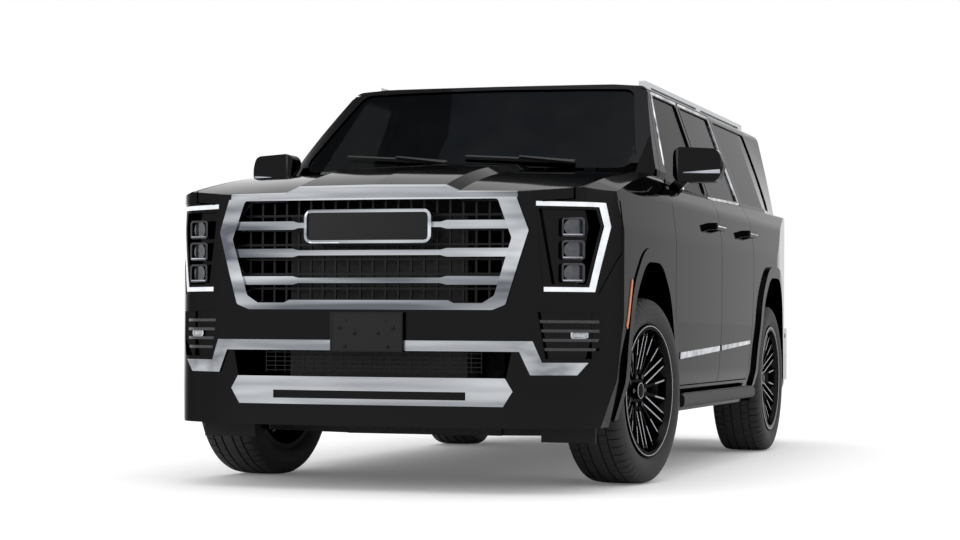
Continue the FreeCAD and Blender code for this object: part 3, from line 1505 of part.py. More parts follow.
def fascia():
    """Front bumper skin with openings, plate bracket and wheel deflectors."""
    shape = front_body(0.0, 0.0, FASCIA_LOW_Z).cut(front_body(FASCIA_WALL, WALL_TOP, GROUND - BIG / 2))
    shape = shape.common(box(-BIG, BIG, -BIG, along(FASCIA_CUT), FASCIA_LOW_Z, BIG))
    shape = shape.cut(hood_cut()).cut(arch(along(ARCH_FRONT_SHIFT)))
    shape = shape.cut(front_prism(grille_points()))
    lamp = front_prism(lamp_points())
    shape = shape.cut(lamp).cut(flip(lamp))
    pocket = fog_pocket()
    shape = shape.cut(pocket).cut(flip(pocket))
    mouth = front_prism(mirrored([(MOUTH_LOW_HALF, SKID_TOP_Z), (MOUTH_TOP_HALF, STRIP_LOW_Z)]))
    shape = shape.cut(mouth).cut(front_strip()).cut(skid_bar())
    shape = biggest(shape)
    rim = flare(front_form, along(ARCH_FRONT_SHIFT),
                FASCIA_LOW_Z).common(box(0.0, BIG, -BIG, along(FASCIA_CUT), FASCIA_LOW_Z, BIG))
    flap = box(FLAP_IN, FLAP_OUT, along(FLAP_FRONT), along(FLAP_FRONT) + FLAP_THICK, FLAP_LOW_Z,
               FASCIA_LOW_Z + FASCIA_WALL)
    shelf = box(FLAP_IN, FLAP_OUT, along(-CORNER_AHEAD), along(FLAP_FRONT) + FLAP_THICK, FASCIA_LOW_Z,
                FASCIA_LOW_Z + FLAP_THICK)
    pieces = [shape, bracket().cut(front_strip()), rim, flip(rim), flap, flip(flap), shelf, flip(shelf)]
    return biggest(join(pieces))


def grille_bar(z):
    """One bright cross bar, tall at its ends and slim in the middle."""
    upper = [
        (-GRILLE_KINK_HALF, z + BAR_TALL_END / 2),
        (-BAR_STEP_HALF - BAR_STEP_RUN, z + BAR_TALL_END / 2),
        (-BAR_STEP_HALF, z + BAR_TALL_MID / 2),
    ]
    upper += [(-p[0], p[1]) for p in reversed(upper)]
    return front_prism(upper + [(p[0], z + z - p[1]) for p in reversed(upper)])


def grille():
    """Bright grille frame, cross bars and bare centre plate."""
    whole = front_prism(grille_points())
    mouth = front_prism(mouth_points())
    ring = nose_layer(GRILLE_PROUD, GRILLE_DEEP).common(whole).cut(mouth)
    ring = ring.cut(front_prism([(-BIG, GRILLE_SHOULDER_Z), (-BIG, BIG), (BIG, BIG),
                                 (BIG, GRILLE_SHOULDER_Z)]).cut(
        front_body(0.0, 0.0, FASCIA_LOW_Z)))
    ring = biggest(ring.cut(hood_cut()))
    layer = nose_layer(BAR_PROUD, BAR_DEEP).common(whole)
    bars = [biggest(layer.common(grille_bar(z))) for z in BAR_PLACES]
    outline = mirrored([(PLATE_HALF, PLATE_LOW_Z, PLATE_ROUND), (PLATE_HALF, PLATE_TOP_Z, PLATE_ROUND)])
    plate = nose_layer(PLATE_PROUD, BAR_DEEP).common(front_prism(outline))
    sunk = nose_layer(PLATE_PROUD + PART_GAP, PLATE_SINK - PLATE_PROUD).common(front_prism(inset(outline,
                                                                                                 PLATE_RIM)))
    plate = biggest(plate.cut(sunk))
    return biggest(join([ring] + bars + [plate]))


def grille_mesh():
    """Dark mesh behind the bars and in the lower mouth."""
    step_z = (GRILLE_MOUTH_TOP_Z - SKID_TOP_Z) / MESH_ROWS
    step_x = 2 * GRILLE_MOUTH_KINK_HALF / MESH_COLUMNS
    low = SKID_TOP_Z
    slats = [box(-BIG, BIG, along(NOSE_STATION), along(FASCIA_CUT), low + step_z * row - MESH_BAR / 2,
                 low + step_z * row + MESH_BAR / 2) for row in range(1, MESH_ROWS)]
    rods = [box(step_x * (column - MESH_COLUMNS / 2) - MESH_BAR / 2,
                step_x * (column - MESH_COLUMNS / 2) + MESH_BAR / 2,
                along(NOSE_STATION), along(FASCIA_CUT), GROUND, ROOF_Z) for column in range(1,
                                                                                            MESH_COLUMNS)]
    web = slats[0].fuse(slats[1:] + rods)
    upper = web.common(front_prism(mouth_points())).common(nose_layer(-MESH_FRONT - BAR_PROUD,
                                                                      MESH_FRONT + BAR_PROUD + MESH_DEEP))
    return biggest(upper)


def radiator():
    """Radiator pack as a plain block behind the grille."""
    return box(-RADIATOR_HALF, RADIATOR_HALF, along(RADIATOR_FRONT), along(RADIATOR_FRONT) + RADIATOR_THICK,
               RADIATOR_LOW_Z, RADIATOR_TOP_Z)


# Wheels and running gear


def spun(shape, x, y, angle):
    """A part made on the X axis line, set at a wheel centre and steered."""
    placed = shape.copy()
    placed.translate(V(x, y, TYRE_RADIUS))
    if angle != 0:
        pivot = KINGPIN_HALF if x > 0 else -KINGPIN_HALF
        placed.rotate(V(pivot, y, 0), V(0, 0, 1), angle)
    return placed


def turned(points):
    """Ring turned about X from an outline in (x, radius)."""
    wire = path(points, lambda p: V(p.x, 0, p.y))
    return Part.Face(wire).revolve(V(0, 0, 0), V(1, 0, 0), 360)


def tyre():
    """Tyre about the X axis, made of flat facets round its outline."""
    half = TYRE_WIDTH / 2
    seat = RIM_WIDTH / 2 - PART_GAP
    side = [
        (seat, RIM_RADIUS + PART_GAP),
        (seat, RIM_RADIUS + RIM_LIP + PART_GAP),
        (half, TYRE_BULGE_RADIUS),
        (half * TYRE_FLANK_SHARE, TYRE_FLANK_RADIUS),
        (half * TYRE_SHOULDER_SHARE, TYRE_SHOULDER_RADIUS),
        (half * TYRE_CROWN_SHARE, TYRE_RADIUS),
    ]
    outline = side + [(-x, radius) for x, radius in reversed(side)]
    rings = []
    for index in range(TYRE_SIDES + 1):
        turn = 2 * math.pi * (index % TYRE_SIDES) / TYRE_SIDES
        rings.append([V(x, radius * math.sin(turn), -radius * math.cos(turn)) for x, radius in outline])
    faces = []
    for here, there in zip(rings, rings[1:]):
        for spot in range(len(outline)):
            corners = [here[spot - 1], here[spot], there[spot], there[spot - 1]]
            faces.append(Part.Face(Part.makePolygon(corners + corners[:1])))
    return Part.Solid(Part.Shell(faces))


def rim():
    """Rim with paired spokes about the X axis, face towards +X."""
    half = RIM_WIDTH / 2
    barrel = turned([
        (half, RIM_RADIUS),
        (half, RIM_RADIUS + RIM_LIP - PART_GAP),
        (half + RIM_LIP_WIDE, RIM_RADIUS + RIM_LIP - PART_GAP),
        (half + RIM_LIP_WIDE, RIM_RADIUS - RIM_WALL),
        (half - RIM_LIP_WIDE, RIM_RADIUS - RIM_WALL - RIM_WALL),
        (0.0, RIM_WELL_RADIUS),
        (-half, RIM_RADIUS - RIM_WALL),
        (-half - PART_GAP, RIM_RADIUS - RIM_WALL),
        (-half - PART_GAP, RIM_RADIUS + RIM_LIP - PART_GAP),
        (-half, RIM_RADIUS + RIM_LIP - PART_GAP),
        (-half, RIM_RADIUS),
        (0.0, RIM_WELL_RADIUS + RIM_WALL + RIM_WALL / 2),
    ])
    pad = Part.makeCylinder(HUB_RADIUS, SPOKE_DEEP, V(SPOKE_FACE_ROOT - SPOKE_DEEP, 0, 0), V(1, 0, 0))
    cap = Part.makeCylinder(HUB_CAP_RADIUS, SPOKE_DEEP / 2, V(SPOKE_FACE_ROOT, 0, 0), V(1, 0, 0))
    shapes = [pad, cap]
    for index in range(SPOKE_COUNT):
        pair_angle = index * 360 / SPOKE_COUNT
        shapes += spoke_pair(pair_angle, SPOKE_PAIR_HALF, SPOKE_PAIR_HALF)
        shapes += spoke_pair(pair_angle + 180 / SPOKE_COUNT, SPOKE_PAIR_HALF / 2, SPOKE_FORK_HALF)
    whole = barrel.fuse(shapes)
    for index in range(STUD_COUNT):
        angle = math.radians((index + 1 / 2) * 360 / STUD_COUNT)
        y = math.sin(angle) * STUD_CIRCLE / 2
        z = math.cos(angle) * STUD_CIRCLE / 2
        hole = Part.makeCylinder(STUD_HOLE_RADIUS, BIG, V(-BIG / 2, y, z), V(1, 0, 0))
        whole = whole.cut(hole)
    return biggest(whole)


def spoke(side, root_half, tip_half):
    """One rail of an upright spoke, from the hub pad to the rim."""
    wires = []
    for radius, half, wide, face in ((SPOKE_ROOT_RADIUS, root_half, SPOKE_ROOT_WIDE, SPOKE_FACE_ROOT),
                                     (SPOKE_TIP_RADIUS, tip_half, SPOKE_TIP_WIDE, SPOKE_FACE_TIP)):
        corners = [
            V(face, side * half - wide / 2, radius),
            V(face, side * half + wide / 2, radius),
            V(face - SPOKE_DEEP, side * half + wide / 2 * SPOKE_DRAFT, radius),
            V(face - SPOKE_DEEP, side * half - wide / 2 * SPOKE_DRAFT, radius),
        ]
        wires.append(Part.makePolygon(corners + corners[:1]))
    return Part.makeLoft(wires, True, True)


def spoke_pair(angle, root_half, tip_half):
    """Two rails joined by a bar at the rim, turned to their place."""
    end = box(SPOKE_FACE_TIP - SPOKE_DEEP, SPOKE_FACE_TIP - PART_GAP, -tip_half, tip_half,
              SPOKE_TIP_RADIUS - SPOKE_END_TALL - PANEL_GAP, SPOKE_TIP_RADIUS - PANEL_GAP)
    shapes = [spoke(-1, root_half, tip_half), spoke(1, root_half, tip_half), end]
    for shape in shapes:
        shape.rotate(V(0, 0, 0), V(1, 0, 0), angle)
    return shapes


def knuckle():
    """Left front knuckle, disc and hub stub about the wheel centre."""
    reach = SPOKE_FACE_ROOT - SPOKE_DEEP - PART_GAP
    disc = Part.makeCylinder(DISC_RADIUS, DISC_THICK, V(-DISC_FACE - DISC_THICK, 0, 0), V(1, 0, 0))
    stub = Part.makeCylinder(HUB_RADIUS - BELT_ROUND, reach + DISC_FACE, V(-DISC_FACE, 0, 0), V(1, 0, 0))
    offset = KINGPIN_HALF - TRACK_HALF
    body = box(offset - KNUCKLE_DEEP / 2, offset + KNUCKLE_DEEP / 2, -KNUCKLE_WIDE / 2, KNUCKLE_WIDE / 2,
               -KNUCKLE_TALL / 2, KNUCKLE_TALL / 2)
    return join([disc, stub, body])


def wishbone(low):
    """Left A-shaped suspension arm lying flat, seen from above."""
    half = ARM_END_WIDE / 2
    foot = ARM_SPREAD + ARM_THICK / 2
    points = [
        (ARM_IN, FRONT_AXLE_Y - foot),
        (KINGPIN_HALF + half, FRONT_AXLE_Y - half, half / 2),
        (KINGPIN_HALF + half, FRONT_AXLE_Y + half, half / 2),
        (ARM_IN, FRONT_AXLE_Y + foot),
        (ARM_IN, FRONT_AXLE_Y + foot - ARM_THICK),
        (KINGPIN_HALF - ARM_END_WIDE, FRONT_AXLE_Y, half / 2),
        (ARM_IN, FRONT_AXLE_Y - foot + ARM_THICK),
    ]
    return prism_z(points, low, low + ARM_THICK)


def suspension_arms():
    """Front subframe, lower and upper arms of both sides."""
    low_z = TYRE_RADIUS - KNUCKLE_TALL / 2 - JOINT_GAP
    top_z = TYRE_RADIUS + KNUCKLE_TALL / 2 + JOINT_GAP
    arms = wishbone(low_z - ARM_THICK).fuse(wishbone(top_z))
    reach = ARM_SPREAD + ARM_THICK
    cross = box(-ARM_IN - ARM_THICK, ARM_IN + ARM_THICK, FRONT_AXLE_Y - reach, FRONT_AXLE_Y + reach,
                low_z - ARM_THICK, low_z)
    tower = box(ARM_IN - ARM_THICK, ARM_IN + ARM_THICK, FRONT_AXLE_Y - reach, FRONT_AXLE_Y + reach, low_z,
                top_z + ARM_THICK)
    shape = join([cross, arms, flip(arms), tower, flip(tower)])
    return biggest(shape.cut(frame_rails_room()))


def frame_rails_room():
    """Room of the frame rails where the arm towers meet them."""
    left = box(RAIL_OUT - RAIL_WIDE - PART_GAP, RAIL_OUT + PART_GAP, -BIG, BIG, RAIL_LOW_Z - PART_GAP,
               RAIL_LOW_Z + RAIL_TALL + PART_GAP)
    return left.fuse(flip(left))


def rail_outline():
    """Plan outline of the left frame rail."""
    narrow = RAIL_OUT
    wide = RAIL_MID_OUT
    outer = [
        (narrow, along(RAIL_FRONT)),
        (narrow, along(RAIL_FLARE_START)),
        (wide, along(RAIL_FLARE_END)),
        (wide, along(RAIL_NARROW_START)),
        (narrow, along(RAIL_NARROW_END)),
        (narrow, along(RAIL_REAR)),
    ]
    inner = [(x - RAIL_WIDE, y) for x, y in reversed(outer)]
    return outer + inner


def rail_side():
    """Side outline of the frame rails, stepping up over the rear axle."""
    low = RAIL_LOW_Z
    high = RAIL_LOW_Z + RAIL_RISE
    return [
        (along(RAIL_FRONT), low),
        (along(RAIL_LIFT_START), low),
        (along(RAIL_LIFT_START + RAIL_LIFT_LONG), high),
        (along(RAIL_REAR), high),
        (along(RAIL_REAR), high + RAIL_TALL),
        (along(RAIL_LIFT_START + RAIL_LIFT_LONG), high + RAIL_TALL),
        (along(RAIL_LIFT_START), low + RAIL_TALL),
        (along(RAIL_FRONT), low + RAIL_TALL),
    ]


def chassis_frame():
    """Ladder frame with cross members and the hitch receiver."""
    rail = prism_z(rail_outline(), GROUND, ROOF_Z).common(prism_x(rail_side(), -BIG, BIG))
    pieces = [rail, flip(rail)]
    for place in CROSS_PLACES:
        lift = RAIL_RISE if place > RAIL_NARROW_END else 0.0
        wide = RAIL_MID_OUT if RAIL_FLARE_START < place < RAIL_NARROW_END else RAIL_OUT
        reach = wide - RAIL_WIDE / 2
        pieces.append(box(-reach, reach, along(place) - CROSS_WIDE / 2, along(place) + CROSS_WIDE / 2,
                          RAIL_LOW_Z + lift + PART_GAP, RAIL_LOW_Z + lift + CROSS_TALL))
    half = HITCH_SQUARE / 2
    wall = half + HITCH_WALL
    middle = HITCH_Z
    tube = box(-wall, wall, along(HITCH_END) - HITCH_LONG, along(HITCH_END), middle - wall, middle + wall)
    room = box(-half, half, along(HITCH_END) - HITCH_LONG + HITCH_WALL, along(HITCH_END) + PART_GAP,
               middle - half, middle + half)
    pin = rod(V(-wall - PART_GAP, along(HITCH_END) - HITCH_PIN_BACK, middle),
              V(wall + PART_GAP, along(HITCH_END) - HITCH_PIN_BACK, middle), HITCH_PIN_RADIUS)
    beam = box(-RAIL_OUT, RAIL_OUT, along(RAIL_REAR) - HITCH_BEAM, along(RAIL_REAR), middle - wall,
               middle + wall)
    leg = box(RAIL_OUT - RAIL_WIDE, RAIL_OUT, along(RAIL_REAR) - HITCH_BEAM, along(RAIL_REAR),
              middle - wall,
              RAIL_LOW_Z + RAIL_RISE + PART_GAP)
    pieces += [beam.cut(room), tube.cut(room).cut(pin), leg, flip(leg)]
    return biggest(join(pieces))


def rear_axle():
    """Rear axle beam with its housing, discs and hubs."""
    beam = rod(V(-REAR_HUB_HALF, REAR_AXLE_Y, TYRE_RADIUS), V(REAR_HUB_HALF, REAR_AXLE_Y, TYRE_RADIUS),
               AXLE_RADIUS)
    housing = rod(V(-DIFF_LONG / 2, REAR_AXLE_Y, TYRE_RADIUS), V(DIFF_LONG / 2, REAR_AXLE_Y, TYRE_RADIUS),
                  DIFF_RADIUS)
    pieces = [beam, housing]
    for side in (-1, 1):
        x = side * (TRACK_HALF - DISC_FACE - DISC_THICK)
        disc = rod(V(x, REAR_AXLE_Y, TYRE_RADIUS), V(x + side * DISC_THICK, REAR_AXLE_Y, TYRE_RADIUS),
                   DISC_RADIUS)
        near = side * REAR_HUB_HALF
        reach = side * (TRACK_HALF + SPOKE_FACE_ROOT - SPOKE_DEEP - PART_GAP)
        hub = rod(V(near - side * PART_GAP, REAR_AXLE_Y, TYRE_RADIUS), V(reach, REAR_AXLE_Y, TYRE_RADIUS),
                  HUB_RADIUS - BELT_ROUND)
        pieces += [disc, hub]
        start = V(side * LINK_HALF, REAR_AXLE_Y, TYRE_RADIUS - AXLE_RADIUS)
        eye = V(side * LINK_HALF, along(LINK_FRONT), LINK_Z)
        pieces.append(bar(start, eye, ARM_THICK, ARM_THICK))
        pieces.append(rod(eye + V(side * ARM_THICK / 2, 0, 0),
                          V(side * (RAIL_OUT + PANEL_GAP), along(LINK_FRONT), LINK_Z),
                          LINK_EYE_RADIUS))
    return biggest(join(pieces))


def floor_pan():
    """Cabin and cargo floor with the wheel tubs."""
    top = FLOOR_TOP_Z
    high = FLOOR_STEP_Z
    side = [
        (along(FLOOR_FRONT), top - FLOOR_THICK),
        (along(FLOOR_FRONT), top),
        (along(FLOOR_STEP) - PANEL_GAP, top),
        (along(FLOOR_STEP) - PANEL_GAP, high),
        (along(FLOOR_REAR), high),
        (along(FLOOR_REAR), high - FLOOR_THICK),
        (along(FLOOR_STEP) + FLOOR_THICK, high - FLOOR_THICK),
        (along(FLOOR_STEP) + FLOOR_THICK, top - FLOOR_THICK),
    ]
    front = prism_x(side, -FLOOR_HALF, FLOOR_HALF)
    front = front.common(prism_z(inset(tail_outline(), WALL_END + PANEL_GAP), GROUND, ROOF_Z))
    reach = LINER_HALF + LINER_WALL + PART_GAP
    narrow = box(TUB_HALF - PART_GAP, BIG, REAR_AXLE_Y - reach, REAR_AXLE_Y + reach, GROUND, LINER_TOP_Z)
    shape = front.cut(narrow).cut(flip(narrow))
    hump = box(-TUNNEL_HALF, TUNNEL_HALF, along(FLOOR_FRONT), along(TUNNEL_REAR), top - PART_GAP,
               top + TUNNEL_RISE)
    shape = join([shape, hump])
    passage = box(-TUNNEL_HALF + FLOOR_THICK, TUNNEL_HALF - FLOOR_THICK, along(FLOOR_FRONT) - PART_GAP,
                  along(TUNNEL_REAR) - FLOOR_THICK, GROUND, top + TUNNEL_RISE - FLOOR_THICK)
    return biggest(shape.cut(passage))


def bulkhead():
    """Wall between engine bay and cabin with the cowl on top."""
    wall = box(-BULKHEAD_HALF, BULKHEAD_HALF, along(BULKHEAD_BACK) - BULKHEAD_THICK, along(BULKHEAD_BACK),
               BULKHEAD_LOW_Z, BULKHEAD_TOP_Z)
    passage = box(-TUNNEL_HALF + FLOOR_THICK, TUNNEL_HALF - FLOOR_THICK, -BIG, BIG, GROUND,
                  FLOOR_TOP_Z + TUNNEL_RISE - FLOOR_THICK)
    foot = box(-FLOOR_HALF, FLOOR_HALF, along(BULKHEAD_BACK), along(FLOOR_FRONT),
               FLOOR_TOP_Z - FLOOR_THICK, FLOOR_TOP_Z)
    cowl = hood_top(COWL_DROP).cut(hood_top(COWL_DROP + COWL_THICK))
    cowl = cowl.common(box(-BULKHEAD_HALF, BULKHEAD_HALF, along(HOOD_REAR + PANEL_GAP),
                           along(BULKHEAD_BACK), GROUND, ROOF_Z))
    cowl = cowl.cut(glasshouse(0.0))
    drop = box(-BULKHEAD_HALF, BULKHEAD_HALF, along(BULKHEAD_BACK) - BULKHEAD_THICK, along(BULKHEAD_BACK),
               BULKHEAD_TOP_Z, COWL_LIP_Z)
    return biggest(join([wall.cut(passage), foot.cut(passage), biggest(cowl), drop]))


def engine_block():
    """Engine and gearbox as plain joined blocks."""
    engine = box(-ENGINE_HALF, ENGINE_HALF, along(ENGINE_FRONT), along(ENGINE_REAR), ENGINE_LOW_Z,
                 ENGINE_TOP_Z)
    gearbox = box(-GEARBOX_HALF, GEARBOX_HALF, along(ENGINE_REAR) - ENGINE_LAP, along(GEARBOX_REAR),
                  GEARBOX_LOW_Z, GEARBOX_TOP_Z)
    neck = box(-GEARBOX_HALF, GEARBOX_HALF, along(ENGINE_REAR) - ENGINE_LAP, along(ENGINE_REAR),
               GEARBOX_LOW_Z, ENGINE_LOW_Z + ENGINE_LAP)
    return join([engine, gearbox, neck])


def underbody():
    """Fuel tank, muffler, exhaust pipe and propeller shaft."""
    tank = prism_y([
        (TANK_IN, TANK_LOW_Z, BELT_ROUND),
        (TANK_IN, TANK_TOP_Z, BELT_ROUND),
        (TANK_OUT, TANK_TOP_Z, BELT_ROUND),
        (TANK_OUT, TANK_LOW_Z, BELT_ROUND),
    ], along(TANK_FRONT), along(TANK_REAR))
    shaft = rod(V(SHAFT_X, along(GEARBOX_REAR) + PART_GAP, SHAFT_Z),
                V(SHAFT_X, REAR_AXLE_Y - DIFF_RADIUS - PART_GAP, TYRE_RADIUS), SHAFT_RADIUS)
    muffler = rod(V(MUFFLER_X, along(MUFFLER_FRONT), MUFFLER_Z),
                  V(MUFFLER_X, along(MUFFLER_REAR), MUFFLER_Z), MUFFLER_RADIUS)
    pipe = rod(V(MUFFLER_X, along(PIPE_FRONT), PIPE_Z), V(MUFFLER_X, along(MUFFLER_FRONT) + PART_GAP,
                                                          PIPE_Z), PIPE_RADIUS)
    return [tank, muffler.fuse(pipe), shaft]


def running_board():
    """Left running board with its carriers."""
    board = prism_y([
        (BOARD_IN, BOARD_LOW_Z, BOARD_ROUND / 2),
        (BOARD_IN, BOARD_TOP_Z - BOARD_ROUND, BOARD_ROUND / 2),
        (BOARD_OUT, BOARD_TOP_Z, BOARD_ROUND),
        (BOARD_OUT, BOARD_LOW_Z, BOARD_ROUND),
    ], along(BOARD_START), along(BOARD_END))
    return board.cut(rear_body(0.0).fuse(box(0.0, TUCK_HALF, along(ARCH_HALF), REAR_AXLE_Y - ARCH_HALF,
                                             FLOOR_Z, TUCK_Z)))


def roof_rail():
    """Left roof rail on three feet."""
    rail = box(RAIL_ROOF_HALF - RAIL_ROOF_WIDE / 2, RAIL_ROOF_HALF + RAIL_ROOF_WIDE / 2,
               along(RAIL_ROOF_START),
               along(RAIL_ROOF_END), RAIL_ROOF_Z, RAIL_ROOF_Z + RAIL_ROOF_TALL)
    pieces = [rail]
    length = RAIL_ROOF_END - RAIL_ROOF_START - RAIL_FOOT_LONG
    for share in (0, 1 / 2, 1):
        y = along(RAIL_ROOF_START) + length * share
        pieces.append(box(RAIL_ROOF_HALF - RAIL_ROOF_WIDE / 2, RAIL_ROOF_HALF + RAIL_ROOF_WIDE / 2, y,
                          y + RAIL_FOOT_LONG,
                          RAIL_FOOT_LOW_Z, RAIL_ROOF_Z))
    return join(pieces).cut(glasshouse(0.0))


# Cabin


def seat(x, front, wide, lift, rest):
    """Seat with cushion, back and headrest as one soft solid."""
    left = x - wide / 2
    right = x + wide / 2
    y = along(front)
    base = prism_x([
        (y, SEAT_LOW_Z + lift, SEAT_ROUND),
        (y, SEAT_TOP_Z + lift, SEAT_ROUND),
        (y + SEAT_LONG, SEAT_TOP_Z + lift),
        (y + SEAT_LONG, SEAT_LOW_Z + lift),
    ], left, right)
    back = prism_x([
        (y + SEAT_LONG - SEAT_BACK_THICK / 2, SEAT_LOW_Z + lift),
        (y + SEAT_LONG - SEAT_BACK_THICK / 2, SEAT_TOP_Z + lift),
        (y + SEAT_LONG + SEAT_BACK_LEAN - SEAT_BACK_THICK / 2, SEAT_BACK_TOP_Z + lift, SEAT_ROUND),
        (y + SEAT_LONG + SEAT_BACK_LEAN + SEAT_BACK_THICK / 2, SEAT_BACK_TOP_Z + lift, SEAT_ROUND),
        (y + SEAT_LONG + SEAT_BACK_THICK / 2, SEAT_LOW_Z + lift),
    ], left, right)
    y_head = y + SEAT_LONG + SEAT_BACK_LEAN
    head = prism_x([
        (y_head - HEADREST_DEEP / 2, HEADREST_LOW_Z + lift, SEAT_ROUND / 2),
        (y_head - HEADREST_DEEP / 2 + SEAT_ROUND / 2, HEADREST_TOP_Z + lift, SEAT_ROUND / 2),
        (y_head + HEADREST_DEEP / 2 + SEAT_ROUND / 2, HEADREST_TOP_Z + lift, SEAT_ROUND / 2),
        (y_head + HEADREST_DEEP / 2, HEADREST_LOW_Z + lift, SEAT_ROUND / 2),
    ], x - HEADREST_WIDE / 2, x + HEADREST_WIDE / 2)
    neck = box(x - HEADREST_WIDE / 4, x + HEADREST_WIDE / 4, y_head - SEAT_ROUND / 2,
               y_head + SEAT_ROUND / 2,
               SEAT_BACK_TOP_Z + lift - SEAT_ROUND, HEADREST_LOW_Z + lift + SEAT_ROUND / 2)
    foot = box(left + SEAT_ROUND, right - SEAT_ROUND, y + SEAT_ROUND, y + SEAT_LONG - SEAT_ROUND, rest,
               SEAT_LOW_Z + lift + PART_GAP)
    return join([base, back, head, neck, foot])


def wheel_axis():
    """Direction of the steering column, up towards the driver."""
    lean = math.radians(WHEEL_LEAN)
    return V(0, math.cos(lean), math.sin(lean))


def dashboard():
    """Dashboard with the centre console and the steering column."""
    dash = prism_x([
        (along(DASH_FRONT), DASH_LOW_Z),
        (along(DASH_FRONT), DASH_TOP_Z + DASH_ROUND / 2),
        (along(DASH_REAR), DASH_TOP_Z - DASH_ROUND / 2, DASH_ROUND),
        (along(DASH_REAR), DASH_TOP_Z - DASH_ROUND - DASH_ROUND, DASH_ROUND),
        (along(DASH_REAR) - DASH_ROUND, DASH_LOW_Z, DASH_ROUND / 2),
    ], -DASH_HALF, DASH_HALF)
    console = box(-CONSOLE_HALF, CONSOLE_HALF, along(DASH_FRONT), along(CONSOLE_REAR),
                  FLOOR_TOP_Z + TUNNEL_RISE,
                  CONSOLE_TOP_Z)
    start = V(WHEEL_X, along(WHEEL_Y), WHEEL_Z) - wheel_axis() * (WHEEL_GRIP + JOINT_GAP)
    column = Part.makeCylinder(COLUMN_RADIUS, COLUMN_LONG, start - wheel_axis() * COLUMN_LONG, wheel_axis())
    return join([dash, console, column])


def steering_wheel():
    """Steering wheel with three spokes."""
    centre = V(WHEEL_X, along(WHEEL_Y), WHEEL_Z)
    axis = wheel_axis()
    grip = [(WHEEL_GRIP * math.cos(math.radians(turn)),
             WHEEL_RING + WHEEL_GRIP * math.sin(math.radians(turn)))
            for turn in range(0, 360, GRIP_STEP)]
    ring = turned(grip)
    ring.Placement = FreeCAD.Placement(centre, FreeCAD.Rotation(V(1, 0, 0), axis))
    hub = Part.makeCylinder(COLUMN_RADIUS + COLUMN_RADIUS, WHEEL_GRIP + WHEEL_GRIP,
                            centre - axis * WHEEL_GRIP, axis)
    cross = V(1, 0, 0)
    down = axis.cross(cross)
    spokes = [bar(centre, centre + way * WHEEL_RING, WHEEL_GRIP + WHEEL_GRIP, WHEEL_GRIP)
              for way in (cross, -cross, down if down.z < 0 else -down)]
    return join([ring, hub] + spokes)


# Build


def save(name, shape):
    """Write one named piece."""
    shape.exportStep("parts/" + name + ".step")


def build_shell():
    """Panels, doors, glass and trim."""
    shell = cabin_shell()
    save("hood", hood())
    save("fenders", both(fender()))
    save("side_frames", both(side_frame(shell)))
    save("roof_panel", roof_panel(shell))
    save("liftgate", liftgate(shell))
    save("liftgate_glass", liftgate_glass())
    front = door(shell, True).fuse(mirror_housing()).removeSplitter()
    rear = door(shell, False)
    save("door_front_left", front)
    save("door_front_right", flip(front))
    save("door_rear_left", rear)
    save("door_rear_right", flip(rear))
    front_pane = side_glass("front")
    rear_pane = side_glass("rear")
    save("door_glass_front_left", front_pane)
    save("door_glass_front_right", flip(front_pane))
    save("door_glass_rear_left", rear_pane)
    save("door_glass_rear_right", flip(rear_pane))
    quarter = side_glass("quarter")
    save("body_glass", Part.makeCompound([pane(screen_prism()), quarter, flip(quarter)]))
    save("tail_lamps", both(tail_lamp(shell)))
    save("rear_bumper", rear_bumper())
    save("roof_rails", both(roof_rail()))
    save("running_boards", both(running_board()))


def build_nose():
    """Front bumper, grille and lamps."""
    save("front_bumper", fascia())
    save("grille", grille())
    save("grille_mesh", grille_mesh())
    save("headlamps", both(headlamp()))
    save("lamp_lights", lamp_lights())
    fins = Part.makeCompound(fog_fins())
    save("front_trim", Part.makeCompound(front_strip().Solids + skid_bar().Solids + both(fins).Solids))


def build_gear():
    """Frame, axles, knuckles and wheels."""
    save("chassis_frame", chassis_frame())
    save("front_suspension", suspension_arms())
    save("rear_axle", rear_axle())
    save("engine_block", Part.makeCompound([engine_block(), radiator()]))
    save("underbody", Part.makeCompound(underbody()))
    rubber = tyre()
    metal = rim()
    hub = knuckle()
    for side, sign in (("left", 1), ("right", -1)):
        turn = -STEER_REST
        parts = [part if sign > 0 else flip(part) for part in (rubber, metal, hub)]
        save("tyre_front_" + side, spun(parts[0], sign * TRACK_HALF, FRONT_AXLE_Y, turn))
        save("rim_front_" + side, spun(parts[1], sign * TRACK_HALF, FRONT_AXLE_Y, turn))
        save("knuckle_" + side, spun(parts[2], sign * TRACK_HALF, FRONT_AXLE_Y, turn))
        save("tyre_rear_" + side, spun(parts[0], sign * TRACK_HALF, REAR_AXLE_Y, 0))
        save("rim_rear_" + side, spun(parts[1], sign * TRACK_HALF, REAR_AXLE_Y, 0))


def build_cabin():
    """Floor, bulkhead, dashboard and seats."""
    save("floor_pan", Part.makeCompound([floor_pan(), bulkhead()]))
    save("dashboard", dashboard())
    save("steering_wheel", steering_wheel())
    front = seat(SEAT_X, SEAT_FRONT, SEAT_WIDE, 0.0, FLOOR_TOP_Z)
    save("front_seats", both(front))
    second = seat(SEAT_X, SECOND_ROW, SEAT_WIDE, 0.0, FLOOR_TOP_Z)
    third = seat(BENCH_X, THIRD_ROW, BENCH_WIDE, ROW_RISE, FLOOR_STEP_Z)
    save("rear_seats", both(Part.makeCompound([second, third])))


def build():
    """Write every piece."""
    os.makedirs("parts", exist_ok=True)
    build_gear()
    build_cabin()
    build_nose()
    build_shell()


build()
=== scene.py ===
import logging
import math
from dataclasses import dataclass, field
from enum import Enum
from typing import Callable, Iterable, Sequence

import bmesh
import bpy
from mathutils import Matrix, Vector
from mathutils.bvhtree import BVHTree


